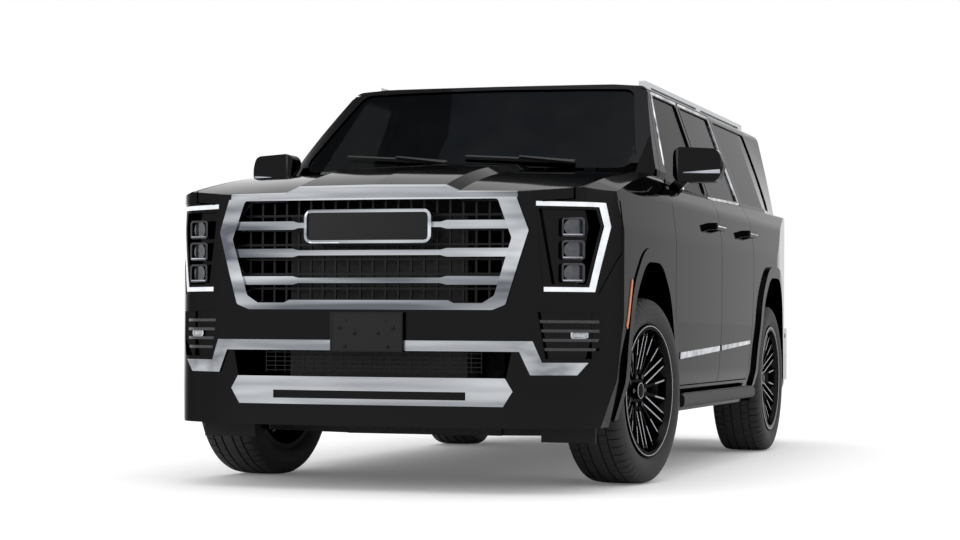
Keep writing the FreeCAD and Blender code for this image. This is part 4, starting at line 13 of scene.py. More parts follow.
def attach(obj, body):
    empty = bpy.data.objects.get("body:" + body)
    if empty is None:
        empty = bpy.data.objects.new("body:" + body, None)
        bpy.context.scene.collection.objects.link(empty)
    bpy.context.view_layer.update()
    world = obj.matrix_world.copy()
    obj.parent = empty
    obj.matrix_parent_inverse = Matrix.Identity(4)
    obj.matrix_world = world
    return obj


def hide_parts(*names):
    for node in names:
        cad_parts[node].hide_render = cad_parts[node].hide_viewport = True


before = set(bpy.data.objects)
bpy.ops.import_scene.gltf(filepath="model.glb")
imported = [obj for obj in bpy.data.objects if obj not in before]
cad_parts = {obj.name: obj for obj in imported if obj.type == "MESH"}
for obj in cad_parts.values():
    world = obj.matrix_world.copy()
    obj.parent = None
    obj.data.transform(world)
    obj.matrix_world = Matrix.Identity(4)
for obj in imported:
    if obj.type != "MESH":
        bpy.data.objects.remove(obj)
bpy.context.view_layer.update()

LOG = logging.getLogger("family_car")

Pair = tuple[float, float]
Triple = tuple[float, float, float]
Path = tuple[Pair, ...]

# Places of the vehicle in metres: the frame's origin is on the ground, it faces -Y and +X is its left side.
FRONT_AXLE = -1.670
REAR_AXLE = 1.401
WHEEL_X = 0.870
STEER_PIVOT_X = 0.800
TYRE_RADIUS = 0.417
STEER_AT_REST = math.radians(8)

SIDES = (("left", 1), ("right", -1))
CORNERS = ("front_left", "front_right", "rear_left", "rear_right")
FORWARD = Vector((0, -1, 0))
BACKWARD = Vector((0, 1, 0))
SIDEWAYS = Vector((1, 0, 0))
UP = Vector((0, 0, 1))


def along(distance: float) -> float:
    """Frame Y of a distance in metres behind the front axle."""
    return FRONT_AXLE + distance


# Finishes


class Grain(Enum):
    """How a finish breaks up: mostly grain at small scale, and on the bright metal broad painted reflection
    streaks.
    """

    NONE = "none"
    PEBBLE = "pebble"
    CAST = "cast"
    # Stretched noise: a fine brushed grain at high scales; at the bright metal's low scale its broad streaks
    # are painted reflections.
    BRUSHED = "brushed"
    ORANGE_PEEL = "orange_peel"


@dataclass(frozen=True)
class Finish:
    """A surface finish made from shader nodes.

    Attributes:
        name: Plain name of the finish.
        colour: Base colour, linear red, green and blue.
        colour_two: Second colour that the pattern mixes in.
        roughness: Lowest roughness.
        roughness_spread: How much the pattern adds to the roughness.
        metallic: Metal share.
        grain: Kind of small pattern.
        grain_scale: Pattern scale in repeats per metre.
        bump: Bump height in metres.
        coat: Clear coat weight.
        coat_roughness: Clear coat roughness.
        specular: Specular level.
        alpha: Opacity.
        glow: Emission strength.
        tint: Edge tint of a metal, or tint of the highlight.
    """

    name: str
    colour: Triple
    colour_two: Triple | None = None
    roughness: float = 0.5
    roughness_spread: float = 0.0
    metallic: float = 0.0
    grain: Grain = Grain.NONE
    grain_scale: float = 200.0
    bump: float = 0.0
    coat: float = 0.0
    coat_roughness: float = 0.03
    specular: float = 0.5
    alpha: float = 1.0
    glow: float = 0.0
    tint: float = 1.0

    # Noise detail, stretch of the streaked pattern (brushed grain on most metals, painted reflection streaks
    # on the bright metal), and where the second colour starts and ends.
    CAST_DETAIL = 5.0
    FINE_DETAIL = 2.0
    STREAK_STRETCH = 0.06
    RAMP = (0.35, 0.7)

    def material(self) -> bpy.types.Material:
        """Builds the material once and returns it.

        Returns:
            The material of this finish.
        """
        made = bpy.data.materials.get("fin_" + self.name)
        if made is not None:
            return made
        made = bpy.data.materials.new("fin_" + self.name)
        made.use_nodes = True
        tree = made.node_tree
        shader = tree.nodes["Principled BSDF"]
        shader.inputs["Base Color"].default_value = (*self.colour, 1.0)
        shader.inputs["Roughness"].default_value = self.roughness
        shader.inputs["Metallic"].default_value = self.metallic
        shader.inputs["Coat Weight"].default_value = self.coat
        shader.inputs["Coat Roughness"].default_value = self.coat_roughness
        shader.inputs["Specular IOR Level"].default_value = self.specular
        shader.inputs["Specular Tint"].default_value = (self.tint, self.tint, self.tint, 1.0)
        shader.inputs["Alpha"].default_value = self.alpha
        if self.glow > 0:
            shader.inputs["Emission Color"].default_value = (*self.colour, 1.0)
            shader.inputs["Emission Strength"].default_value = self.glow
        pattern = self._pattern(tree)
        if pattern is not None:
            self._mix(tree, shader, pattern)
        made.diffuse_color = (*self.colour, 1.0)
        return made

    def _pattern(self, tree: bpy.types.NodeTree) -> bpy.types.NodeSocket | None:
        """Makes the grain pattern.

        Args:
            tree: Node tree of the material.

        Returns:
            The socket with the pattern, or None without one.
        """
        if self.grain is Grain.NONE:
            return None
        place = tree.nodes.new("ShaderNodeTexCoord")
        mapping = tree.nodes.new("ShaderNodeMapping")
        tree.links.new(place.outputs["Object"], mapping.inputs["Vector"])
        if self.grain is Grain.PEBBLE:
            texture = tree.nodes.new("ShaderNodeTexVoronoi")
            texture.inputs["Scale"].default_value = self.grain_scale
            output = texture.outputs["Distance"]
        else:
            texture = tree.nodes.new("ShaderNodeTexNoise")
            texture.inputs["Scale"].default_value = self.grain_scale
            cast = self.grain is Grain.CAST
            texture.inputs["Detail"].default_value = self.CAST_DETAIL if cast else self.FINE_DETAIL
            output = texture.outputs["Fac"]
            # Stretched streaks: brushed grain, and on the bright metal painted reflections.
            if self.grain is Grain.BRUSHED:
                mapping.inputs["Scale"].default_value = (self.STREAK_STRETCH, 1.0, 1.0)
        tree.links.new(mapping.outputs["Vector"], texture.inputs["Vector"])
        return output

    def _mix(self, tree: bpy.types.NodeTree, shader: bpy.types.Node, pattern: bpy.types.NodeSocket) -> None:
        """Feeds the pattern to colour, roughness and bump.

        Args:
            tree: Node tree of the material.
            shader: The surface shader.
            pattern: Socket with the pattern.
        """
        # Second colour: on the bright metal this paints reflection streaks into the base colour.
        if self.colour_two is not None:
            ramp = tree.nodes.new("ShaderNodeValToRGB")
            for stop, place, colour in zip(ramp.color_ramp.elements, self.RAMP,
                                           (self.colour, self.colour_two)):
                stop.position = place
                stop.color = (*colour, 1.0)
            tree.links.new(pattern, ramp.inputs["Fac"])
            tree.links.new(ramp.outputs["Color"], shader.inputs["Base Color"])
        if self.roughness_spread > 0:
            rough = tree.nodes.new("ShaderNodeMapRange")
            rough.inputs["To Min"].default_value = self.roughness
            rough.inputs["To Max"].default_value = self.roughness + self.roughness_spread
            tree.links.new(pattern, rough.inputs["Value"])
            tree.links.new(rough.outputs["Result"], shader.inputs["Roughness"])
        if self.bump > 0:
            bump = tree.nodes.new("ShaderNodeBump")
            bump.inputs["Strength"].default_value = 1.0
            bump.inputs["Distance"].default_value = self.bump
            tree.links.new(pattern, bump.inputs["Height"])
            tree.links.new(bump.outputs["Normal"], shader.inputs["Normal"])


class Finishes:
    """All finishes of the vehicle. Black paint and dark glass are dark metals with a tinted edge."""

    PAINT = Finish("black_paint", (0.0125, 0.0125, 0.0135), (0.0145, 0.0145, 0.0155), 0.045, 0.02, 1.0,
                   Grain.ORANGE_PEEL, 900.0, tint=0.50)
    GLOSS_BLACK = Finish("gloss_black_trim", (0.0125, 0.0125, 0.0125), (0.0150, 0.0150, 0.0150), 0.11, 0.05,
                         1.0,
                         Grain.ORANGE_PEEL, 500.0, tint=0.50)
    PLASTIC = Finish("dark_moulded_plastic", (0.0045, 0.0045, 0.0046), (0.008, 0.008, 0.0082), 0.42, 0.18,
                     0.0,
                     Grain.PEBBLE, 700.0, 0.00012, 0.0, 0.03, 0.22)
    MESH = Finish("dark_grille_mesh", (0.0025, 0.0025, 0.0026), (0.0045, 0.0045, 0.0047), 0.42, 0.12, 0.0,
                  Grain.ORANGE_PEEL, 300.0, 0.0, 0.0, 0.03, 0.22)
    # Bright metal: its colour swings from dark to light in broad stretched streaks, which are painted
    # reflections and highlights, not a tone of the metal.
    CHROME = Finish("bright_metal", (0.13, 0.14, 0.16), (0.74, 0.76, 0.80), 0.07, 0.04, 1.0,
                    Grain.BRUSHED, 11.0)
    SATIN = Finish("satin_metal", (0.22, 0.23, 0.25), (0.56, 0.575, 0.60), 0.22, 0.08, 1.0,
                   Grain.BRUSHED, 13.0)
    DARK_METAL = Finish("dark_bright_metal", (0.05, 0.05, 0.055), (0.08, 0.08, 0.085), 0.16, 0.1, 1.0,
                        Grain.BRUSHED, 300.0, 0.00002)
    WHEEL_BLACK = Finish("wheel_black", (0.0110, 0.0110, 0.0112), (0.0150, 0.0150, 0.0152), 0.16, 0.1, 1.0,
                         Grain.ORANGE_PEEL, 260.0, tint=0.50)
    MACHINED = Finish("machined_metal", (0.30, 0.31, 0.33), (0.50, 0.51, 0.53), 0.18, 0.12, 1.0,
                      Grain.BRUSHED, 800.0, 0.00002)
    RUBBER = Finish("tyre_rubber", (0.010, 0.010, 0.010), (0.018, 0.018, 0.018), 0.55, 0.25, 0.0,
                    Grain.CAST, 240.0, 0.00025, 0.0, 0.03, 0.35)
    STEEL = Finish("cast_steel", (0.020, 0.020, 0.021), (0.045, 0.043, 0.040), 0.5, 0.3, 0.6,
                   Grain.CAST, 90.0, 0.0004)
    DISC = Finish("disc_steel", (0.30, 0.30, 0.31), (0.38, 0.38, 0.39), 0.3, 0.15, 1.0, Grain.BRUSHED,
                  500.0, 0.00002)
    FRAME = Finish("frame_coating", (0.008, 0.008, 0.008), (0.016, 0.016, 0.016), 0.45, 0.3, 0.0,
                   Grain.CAST, 120.0, 0.0003)
    RED_LENS = Finish("red_lens", (0.20, 0.0025, 0.003), (0.30, 0.005, 0.006), 0.10, 0.05, 0.0,
                      Grain.PEBBLE, 120.0, 0.0005, 0.12, 0.03, 0.28)
    RED_GUIDE = Finish("red_light_guide", (0.55, 0.012, 0.012), (0.65, 0.02, 0.02), 0.25, 0.05, 0.0,
                       Grain.ORANGE_PEEL, 60.0, glow=0.15)
    AMBER = Finish("amber_lens", (0.42, 0.085, 0.006), (0.55, 0.13, 0.010), 0.2, 0.06, 0.0,
                   Grain.PEBBLE, 260.0, 0.0004, 0.08, 0.03, 0.25)
    WHITE_LIGHT = Finish("white_light_strip", (0.62, 0.64, 0.67), (0.78, 0.80, 0.83), 0.25, 0.1, 0.0,
                         Grain.ORANGE_PEEL, 14.0, coat=0.3, glow=0.22)
    SCREEN = Finish("clear_screen", (0.010, 0.011, 0.012), (0.012, 0.013, 0.014), 0.02, 0.005, 1.0,
                    Grain.ORANGE_PEEL, 4.0, alpha=0.70, tint=0.46)
    DARK_GLASS = Finish("dark_glass", (0.012, 0.013, 0.014), (0.014, 0.015, 0.016), 0.02, 0.01, 1.0,
                        Grain.ORANGE_PEEL, 4.0, alpha=0.93, tint=0.46)
    MODULE = Finish("lamp_module", (0.045, 0.050, 0.056), (0.075, 0.080, 0.088), 0.10, 0.08, 0.5,
                    Grain.ORANGE_PEEL, 50.0, coat=0.4, coat_roughness=0.03)
    FOG = Finish("fog_lens", (0.42, 0.44, 0.46), (0.60, 0.62, 0.64), 0.12, 0.08, 0.3,
                 Grain.PEBBLE, 160.0, 0.0006, 0.8, 0.03, 0.5)
    RAIL = Finish("rail_metal", (0.42, 0.43, 0.45), (0.50, 0.51, 0.53), 0.22, 0.08, 1.0,
                  Grain.BRUSHED, 60.0)
    BADGE_BLACK = Finish("bare_plate_black", (0.0030, 0.0030, 0.0034), (0.005, 0.005, 0.0055), 0.26, 0.1,
                         0.0,
                         Grain.ORANGE_PEEL, 90.0, specular=0.22)
    CABIN = Finish("cabin_plastic", (0.020, 0.019, 0.018), (0.030, 0.028, 0.027), 0.55, 0.2, 0.0,
                   Grain.PEBBLE, 500.0, 0.0002, 0.0, 0.03, 0.3)
    LEATHER = Finish("seat_leather", (0.030, 0.027, 0.025), (0.045, 0.041, 0.038), 0.42, 0.2, 0.0,
                     Grain.PEBBLE, 260.0, 0.0004, 0.0, 0.03, 0.4)
    SEAM = Finish("seat_thread", (0.12, 0.11, 0.10), (0.16, 0.15, 0.14), 0.7, 0.1, 0.0, Grain.BRUSHED,
                  900.0, 0.0002)
    FLOOR_PAINT = Finish("floor_mat", (0.015, 0.015, 0.015), (0.025, 0.025, 0.025), 0.9, 0.05, 0.0,
                         Grain.CAST, 300.0, 0.0006)
    MIRROR = Finish("mirror_glass", (0.55, 0.57, 0.60), (0.56, 0.58, 0.61), 0.02, 0.01, 1.0,
                    Grain.ORANGE_PEEL, 2.0)


# Mesh tools


@dataclass
class Shape:
    """Points and faces of a piece being made.

    Attributes:
        points: Points in metres in the frame.
        faces: Lists of point numbers.
    """

    points: list[Vector] = field(default_factory=list)
    faces: list[tuple[int, ...]] = field(default_factory=list)

    # Edges sharper than these angles in degrees are bevelled, or shaded sharp.
    BEVEL_ANGLE = 35.0
    SMOOTH_ANGLE = 32.0
    BEVEL_STEPS = 2

    def add(self, points: Iterable[Sequence[float]], faces: Iterable[Sequence[int]]) -> "Shape":
        """Adds more points and faces.

        Args:
            points: New points.
            faces: Faces counted within the new points.

        Returns:
            This shape.
        """
        start = len(self.points)
        self.points += [Vector(p) for p in points]
        self.faces += [tuple(start + i for i in face) for face in faces]
        return self

    def rings(self, rings: Sequence[Sequence[Sequence[float]]], closed: bool = True, ends: bool = True,
              looped: bool = False) -> "Shape":
        """Skins a row of rings of equal length.

        Args:
            rings: Rows of points.
            closed: Whether each ring closes on itself.
            ends: Whether the first and last ring get a face.
            looped: Whether the last ring joins the first.

        Returns:
            This shape.
        """
        count = len(rings[0])
        faces: list[tuple[int, ...]] = []
        rows = len(rings)
        for row in range(rows if looped else rows - 1):
            here = row * count
            there = ((row + 1) % rows) * count
            for i in range(count if closed else count - 1):
                j = (i + 1) % count
                faces.append((here + i, here + j, there + j, there + i))
        if ends and closed and not looped:
            faces.append(tuple(reversed(range(count))))
            faces.append(tuple(range((rows - 1) * count, rows * count)))
        return self.add([p for ring in rings for p in ring], faces)

    def joined(self, other: "Shape") -> "Shape":
        """This shape with another one added."""
        return Shape(list(self.points), list(self.faces)).add(other.points, other.faces)

    def moved(self, matrix: Matrix) -> "Shape":
        """A copy of the shape moved by a matrix."""
        return Shape([matrix @ p for p in self.points], list(self.faces))

    def mesh(self, name: str) -> bpy.types.Mesh:
        """Makes a mesh whose faces all look outwards.

        Args:
            name: Mesh name.

        Returns:
            The new mesh.
        """
        made = bpy.data.meshes.new(name)
        made.from_pydata([tuple(p) for p in self.points], [], self.faces)
        made.update()
        work = bmesh.new()
        work.from_mesh(made)
        bmesh.ops.recalc_face_normals(work, faces=work.faces)
        work.to_mesh(made)
        work.free()
        return made

    def piece(self, name: str, finish: Finish, body: str = "body", bevel: float = 0.0, smooth: bool = True,
              subdivide: int = 0) -> bpy.types.Object:
        """Makes the Blender object and lets it ride on a body.

        Args:
            name: Piece name.
            finish: Its finish.
            body: Body that it rides on.
            bevel: Bevel width in metres.
            smooth: Whether faces are shaded smooth where they meet gently.
            subdivide: Subdivision levels.

        Returns:
            The new object.
        """
        mesh = self.mesh(name)
        mesh.materials.append(finish.material())
        made = bpy.data.objects.new(name, mesh)
        bpy.context.scene.collection.objects.link(made)
        if bevel > 0:
            edge = made.modifiers.new("edge", "BEVEL")
            edge.width = bevel
            edge.segments = self.BEVEL_STEPS
            edge.limit_method = "ANGLE"
            edge.angle_limit = math.radians(self.BEVEL_ANGLE)
        if subdivide > 0:
            soft = made.modifiers.new("soft", "SUBSURF")
            soft.levels = subdivide
            soft.render_levels = subdivide
        if smooth:
            for polygon in mesh.polygons:
                polygon.use_smooth = True
            mesh.set_sharp_from_angle(angle=math.radians(self.SMOOTH_ANGLE))
        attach(made, body)
        LOG.info("piece %s on %s", name, body)
        return made


class Surface:
    """Outer surface of some carried nodes, to lay trim on."""

    # Where the rays start: beside, before or behind, and over the vehicle.
    BESIDE = 1.6
    BEYOND = 3.2
    OVER = 2.4

    def __init__(self, *nodes: str) -> None:
        """Reads the nodes' meshes.

        Args:
            nodes: Names of nodes of the frame.
        """
        points: list[Vector] = []
        faces: list[tuple[int, ...]] = []
        for node in nodes:
            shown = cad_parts[node]
            start = len(points)
            points += [shown.matrix_world @ vertex.co for vertex in shown.data.vertices]
            faces += [tuple(start + i for i in polygon.vertices) for polygon in shown.data.polygons]
        self.tree = BVHTree.FromPolygons(points, faces)

    def _hit(self, start: Sequence[float], aim: Sequence[float]) -> Vector | None:
        """First point that a ray meets, or None."""
        return self.tree.ray_cast(Vector(start), Vector(aim))[0]

    def side(self, y: float, z: float, sign: int = 1) -> Vector | None:
        """Point of the outer side at a place, or None."""
        return self._hit((sign * self.BESIDE, y, z), (-sign, 0, 0))

    def front(self, x: float, z: float) -> Vector | None:
        """Point of the nose at a place, or None."""
        return self._hit((x, -self.BEYOND, z), (0, 1, 0))

    def top(self, x: float, y: float) -> Vector | None:
        """Point of the upper surface at a place, or None."""
        return self._hit((x, y, self.OVER), (0, 0, -1))

    def back(self, x: float, z: float) -> Vector | None:
        """Point of the tail at a place, or None."""
        return self._hit((x, self.BEYOND, z), (0, -1, 0))


FACE_SHARE = 0.86


def sampled(points: Sequence[Sequence[float]], step: float) -> list[Vector]:
    """Points along a line of corners, at about a step apart.

    Args:
        points: Corners of the line.
        step: Distance between points.

    Returns:
        The points, corners included.
    """
    result = [Vector(points[0])]
    for a, b in zip(points, points[1:]):
        a, b = Vector(a), Vector(b)
        count = max(1, round((b - a).length / step))
        result += [a.lerp(b, (i + 1) / count) for i in range(count)]
    return result


def ribbon(line: Sequence[Vector], widths: Sequence[float], across: Callable[[int], Vector],
           out: Callable[[int], Vector], proud: float, sunk: float) -> Shape:
    """Flat strip with thickness along a line, its face a little narrower than its back.

    Args:
        line: Middle of the strip.
        widths: Width at each point.
        across: Direction across the strip at a point.
        out: Outward direction at a point.
        proud: Height of its face over the line.
        sunk: Depth of its back under the line.

    Returns:
        The strip.
    """
    rings = []
    for index, point in enumerate(line):
        side = across(index).normalized() * (widths[index] / 2)
        face = out(index).normalized()
        low, high = point - face * sunk, point + face * proud
        rings.append([low - side, high - side * FACE_SHARE, high + side * FACE_SHARE, low + side])
    return Shape().rings(rings)


def circle(radius: float, count: int) -> list[Pair]:
    """Places round a circle.

    Args:
        radius: Its radius.
        count: How many places.

    Returns:
        Sine and cosine of each place's angle, times the radius.
    """
    angles = [math.tau * k / count for k in range(count)]
    return [(radius * math.sin(a), radius * math.cos(a)) for a in angles]


# Wheels


@dataclass
class RoadWheel:
    """One road wheel: tyre with its tread, bright spoke faces, nuts and cap."""

    # Corner of the vehicle, wheel centre, steering angle at rest, and 1 on the left or -1 on the right.
    name: str
    centre: Triple
    turn: float
    side: int
    # Tread blocks round the tyre, and its shoulder gaps and fine cuts: angles in degrees and depths.
    pitches: int = 60
    lug_gap: float = 0.8
    lug_wall: float = 0.06
    sipe_gap: float = 0.4
    sipe_wall: float = 0.05
    lug_deep: float = 0.006
    sipe_deep: float = 0.005
    # Where the shoulder gaps run out, height over which they deepen, and their least share of depth.
    lug_foot: float = 0.380
    lug_run: float = 0.03
    lug_least: float = 0.25
    # Pairs of spoke rails and as many forked ones: half distances and radii of their bright lines.
    spokes: int = 6
    pair_half: float = 0.020
    pair_start: float = 0.094
    fork_root_half: float = 0.010
    fork_half: float = 0.046
    fork_start: float = 0.168
    root: float = 0.066
    tip: float = 0.262
    line_end: float = 0.0125
    overlap: float = 0.004
    # How far out the face is at the hub and at the rim.
    face_root: float = 0.070
    face_tip: float = 0.112
    line: float = 0.0070
    nut_circle: float = 0.06985
    nut: float = 0.0115
    cap: float = 0.036

    # Half section of the tyre from the bead to the middle of the tread: outward place, radius, kind.
    SECTION = (
        (0.117, 0.283, "side"), (0.1185, 0.2965, "side"), (0.1275, 0.306, "side"), (0.1285, 0.309, "side"),
        (0.1335, 0.322, "side"), (0.1345, 0.3245, "side"), (0.1372, 0.343, "side"), (0.1373, 0.360, "side"),
        (0.1355, 0.374, "side"), (0.1345, 0.3765, "side"), (0.1318, 0.386, "lug"), (0.1270, 0.3965, "lug"),
        (0.1195, 0.4060, "lug"), (0.1110, 0.4108, "lug"), (0.0950, 0.4138, "lug"), (0.0770, 0.4154, "lug"),
        (0.0750, 0.4070, "side"), (0.0690, 0.4072, "side"), (0.0670, 0.4158, "sipe"), (0.0500, 0.4164,
                                                                                       "sipe"),
        (0.0330, 0.4167, "sipe"), (0.0310, 0.4086, "side"), (0.0250, 0.4086, "side"), (0.0230, 0.4169,
                                                                                       "middle"),
        (0.0060, 0.4170, "middle"),
    )
    # Sections and profiles: outward place, and radius, radius over the cap's, or share of the nut's radius.
    RIM_LINE = ((0.1316, 0.2875), (0.1328, 0.2880), (0.1328, 0.2910), (0.1316, 0.2915))
    CAP_RING = ((0.0868, -0.0035), (0.0892, -0.0030), (0.0892, 0.0), (0.0868, 0.0010))
    CAP_PROFILE = ((0.0868, 0.033), (0.0880, 0.032), (0.0890, 0.024), (0.0895, 0.012), (0.0897, 0.003))
    NUT_PROFILE = ((0.0695, 1.0), (0.0815, 1.0), (0.0845, 0.8), (0.0865, 0.42))
    NUT_BEVEL = 0.0008
    RIM_STEPS = 120
    CAP_RING_STEPS = 72
    CAP_STEPS = 48
    LINE_PROUD = 0.0011
    LINE_SUNK = 0.0010

    def build(self) -> None:
        """Makes every piece of the wheel."""
        tyre = self._ridden(self._tyre(), "tread_", Finishes.RUBBER)
        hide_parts("tyre_" + self.name)
        self._ridden(self._lines(), "spoke_faces_", Finishes.MACHINED, smooth=False)
        self._ridden(self._turned(self.RIM_LINE, self.RIM_STEPS), "rim_line_", Finishes.MACHINED)
        self._ridden(self._nuts(), "nuts_", Finishes.DARK_METAL, bevel=self.NUT_BEVEL)
        self._ridden(self._cap(), "centre_cap_", Finishes.GLOSS_BLACK)
        ring = [(x, self.cap + grow) for x, grow in self.CAP_RING]
        self._ridden(self._turned(ring, self.CAP_RING_STEPS), "cap_ring_", Finishes.SATIN)

    def place(self) -> Matrix:
        """Matrix from the wheel's own place to the frame."""
        mirrored = Matrix.Diagonal((self.side, 1, 1, 1))
        return Matrix.Translation(self.centre) @ Matrix.Rotation(self.turn, 4, "Z") @ mirrored

    def _ridden(self, shape: Shape, label: str, finish: Finish, bevel: float = 0.0,
                smooth: bool = True) -> bpy.types.Object:
        """Makes a piece that turns with the wheel.

        Args:
            shape: Its shape in the wheel's own place.
            label: Start of its name.
            finish: Its finish.
            bevel: Bevel width in metres.
            smooth: Whether it is shaded smooth.

        Returns:
            The new object.
        """
        moved = shape.moved(self.place())
        return moved.piece(label + self.name, finish, "wheel_" + self.name, bevel=bevel, smooth=smooth)

    def _tyre(self) -> Shape:
        """Turns the tyre's section and cuts its tread."""
        pitch = 360 / self.pitches
        half = pitch / 2
        # Turn in degrees from the block's start, and whether the shoulder gap and the fine cut are there.
        stations = [
            (0.0, False, False), (self.lug_wall, True, False), (self.lug_gap - self.lug_wall, True, False),
            (self.lug_gap, False, False), (half, False, False), (half + self.sipe_wall, False, True),
            (half + self.sipe_gap - self.sipe_wall, False, True), (half + self.sipe_gap, False, False),
        ]
        section = list(self.SECTION) + [(-x, r, kind) for x, r, kind in reversed(self.SECTION)]
        rings = []
        for number in range(self.pitches):
            for shift, lug, sipe in stations:
                ring = []
                for x, radius, kind in section:
                    skew = half if x < 0 else 0.0
                    angle = math.radians(number * pitch + shift + skew)
                    deep = self.lug_deep if lug and kind == "lug" else 0.0
                    deep = self.sipe_deep if sipe and kind == "sipe" else deep
                    deep *= min(1.0, max(self.lug_least, (radius - self.lug_foot) / self.lug_run))
                    ring.append((x, (radius - deep) * math.sin(angle), (radius - deep) * math.cos(angle)))
                rings.append(ring)
        return Shape().rings(rings, closed=True, ends=False, looped=True)

    def _turned(self, section: Sequence[Pair], count: int) -> Shape:
        """Turns a section about the wheel's axis.

        Args:
            section: Outward places and radii.
            count: Steps round.

        Returns:
            The turned ring.
        """
        rings = [[(x, r * sine, r * cosine) for x, r in section] for sine, cosine in circle(1.0, count)]
        return Shape().rings(rings, closed=True, ends=False, looped=True)

    def _face(self, radius: float) -> float:
        """How far out the spoke face is at a radius."""
        share = (radius - self.root) / (self.tip - self.root)
        return self.face_root + (self.face_tip - self.face_root) * share

    def _strip(self, points: Sequence[Pair], wide: float, angle: float) -> Shape:
        """Bright line on a spoke's face.

        Args:
            points: Sideways places and radii of its middle.
            wide: Width of the line.
            angle: Turn of the spoke.

        Returns:
            The line.
        """
        line = [Vector((self._face(radius), place, radius)) for place, radius in points]
        ahead = (line[-1] - line[0]).normalized()
        out = SIDEWAYS - ahead * ahead.x
        across = ahead.cross(out)
        made = ribbon(line, [wide] * len(line), lambda i: across, lambda i: out, self.LINE_PROUD,
                      self.LINE_SUNK)
        return made.moved(Matrix.Rotation(angle, 4, "X"))

    def _lines(self) -> Shape:
        """Bright lines of all spokes, each closed at the rim."""
        whole = Shape()
        step = math.tau / self.spokes
        span = self.tip - self.root
        end = self.tip - self.line_end
        kinds = ((0.0, self.pair_half, self.pair_half, self.pair_start),
                 (step / 2, self.fork_root_half, self.fork_half, self.fork_start))
        for number in range(self.spokes):
            for turn, root_half, tip_half, start in kinds:
                angle = number * step + turn
                stop = end + self.overlap
                near, far = [root_half + (tip_half - root_half) * (r - self.root) / span for r in (start,
                                                                                                   stop)]
                for sign in (-1, 1):
                    rail = [(sign * near, start), (sign * far, stop)]
                    whole = whole.joined(self._strip(rail, self.line, angle))
                whole = whole.joined(self._strip([(-far, end), (far, end)], self.line, angle))
        return whole

    def _nuts(self) -> Shape:
        """Six-sided nuts with domed ends, one between each two pairs of rails."""
        whole = Shape()
        for number in range(self.spokes):
            angle = math.tau * (number + 0.5) / self.spokes
            y, z = self.nut_circle * math.sin(angle), self.nut_circle * math.cos(angle)
            whole.rings([[(x, y + sine, z + cosine) for sine, cosine in circle(self.nut * share, 6)]
                         for x, share in self.NUT_PROFILE])
        return whole

    def _cap(self) -> Shape:
        """Bare domed cap in the middle."""
        return Shape().rings([[(x, sine, cosine) for sine, cosine in circle(radius, self.CAP_STEPS)]
                              for x, radius in self.CAP_PROFILE])


@dataclass
class Brakes:
    """Calipers over the discs."""

    # Radii of a caliper, its faces from the wheel centre, half its angle and its middle's angle in degrees.
    inner: float = 0.108
    outer: float = 0.190
    low: float = -0.070
    high: float = -0.006
    spread: float = 24.0
    middle: float = 68.0
    # Bulge of its outer side, and the slope of its edges.
    swell: float = 0.004
    edge: float = 0.006
    corner: float = 0.01
    bevel: float = 0.003
    steps: int = 8

    def build(self, wheels: Sequence[RoadWheel]) -> None:
        """Makes a caliper for every wheel.

        Args:
            wheels: The wheels that they brake.
        """
        for wheel in wheels:
            end, side = wheel.name.split("_")
            body = "knuckle_" + side if end == "front" else "body"
            self._caliper().moved(wheel.place()).piece("caliper_" + wheel.name, Finishes.STEEL, body,
                                                       bevel=self.bevel)

    def _caliper(self) -> Shape:
        """One caliper in the wheel's own place."""
        rings = []
        for step in range(self.steps + 1):
            angle = math.radians(self.middle + self.spread * (2 * step / self.steps - 1))
            outer = self.outer + self.swell * math.sin(math.pi * step / self.steps)
            section = ((self.low, self.inner), (self.low, self.outer), (self.high - self.edge, outer),
                       (self.high, self.outer - self.corner), (self.high, self.inner + self.corner),
                       (self.high - self.edge, self.inner))
            rings.append([(x, -r * math.sin(angle), r * math.cos(angle)) for x, r in section])
        return Shape().rings(rings)


# Seats


class PadKind(Enum):
    """Kinds of padded piece on a seat."""

    CUSHION = "cushion"
    BACK = "back"
    HEADREST = "headrest"


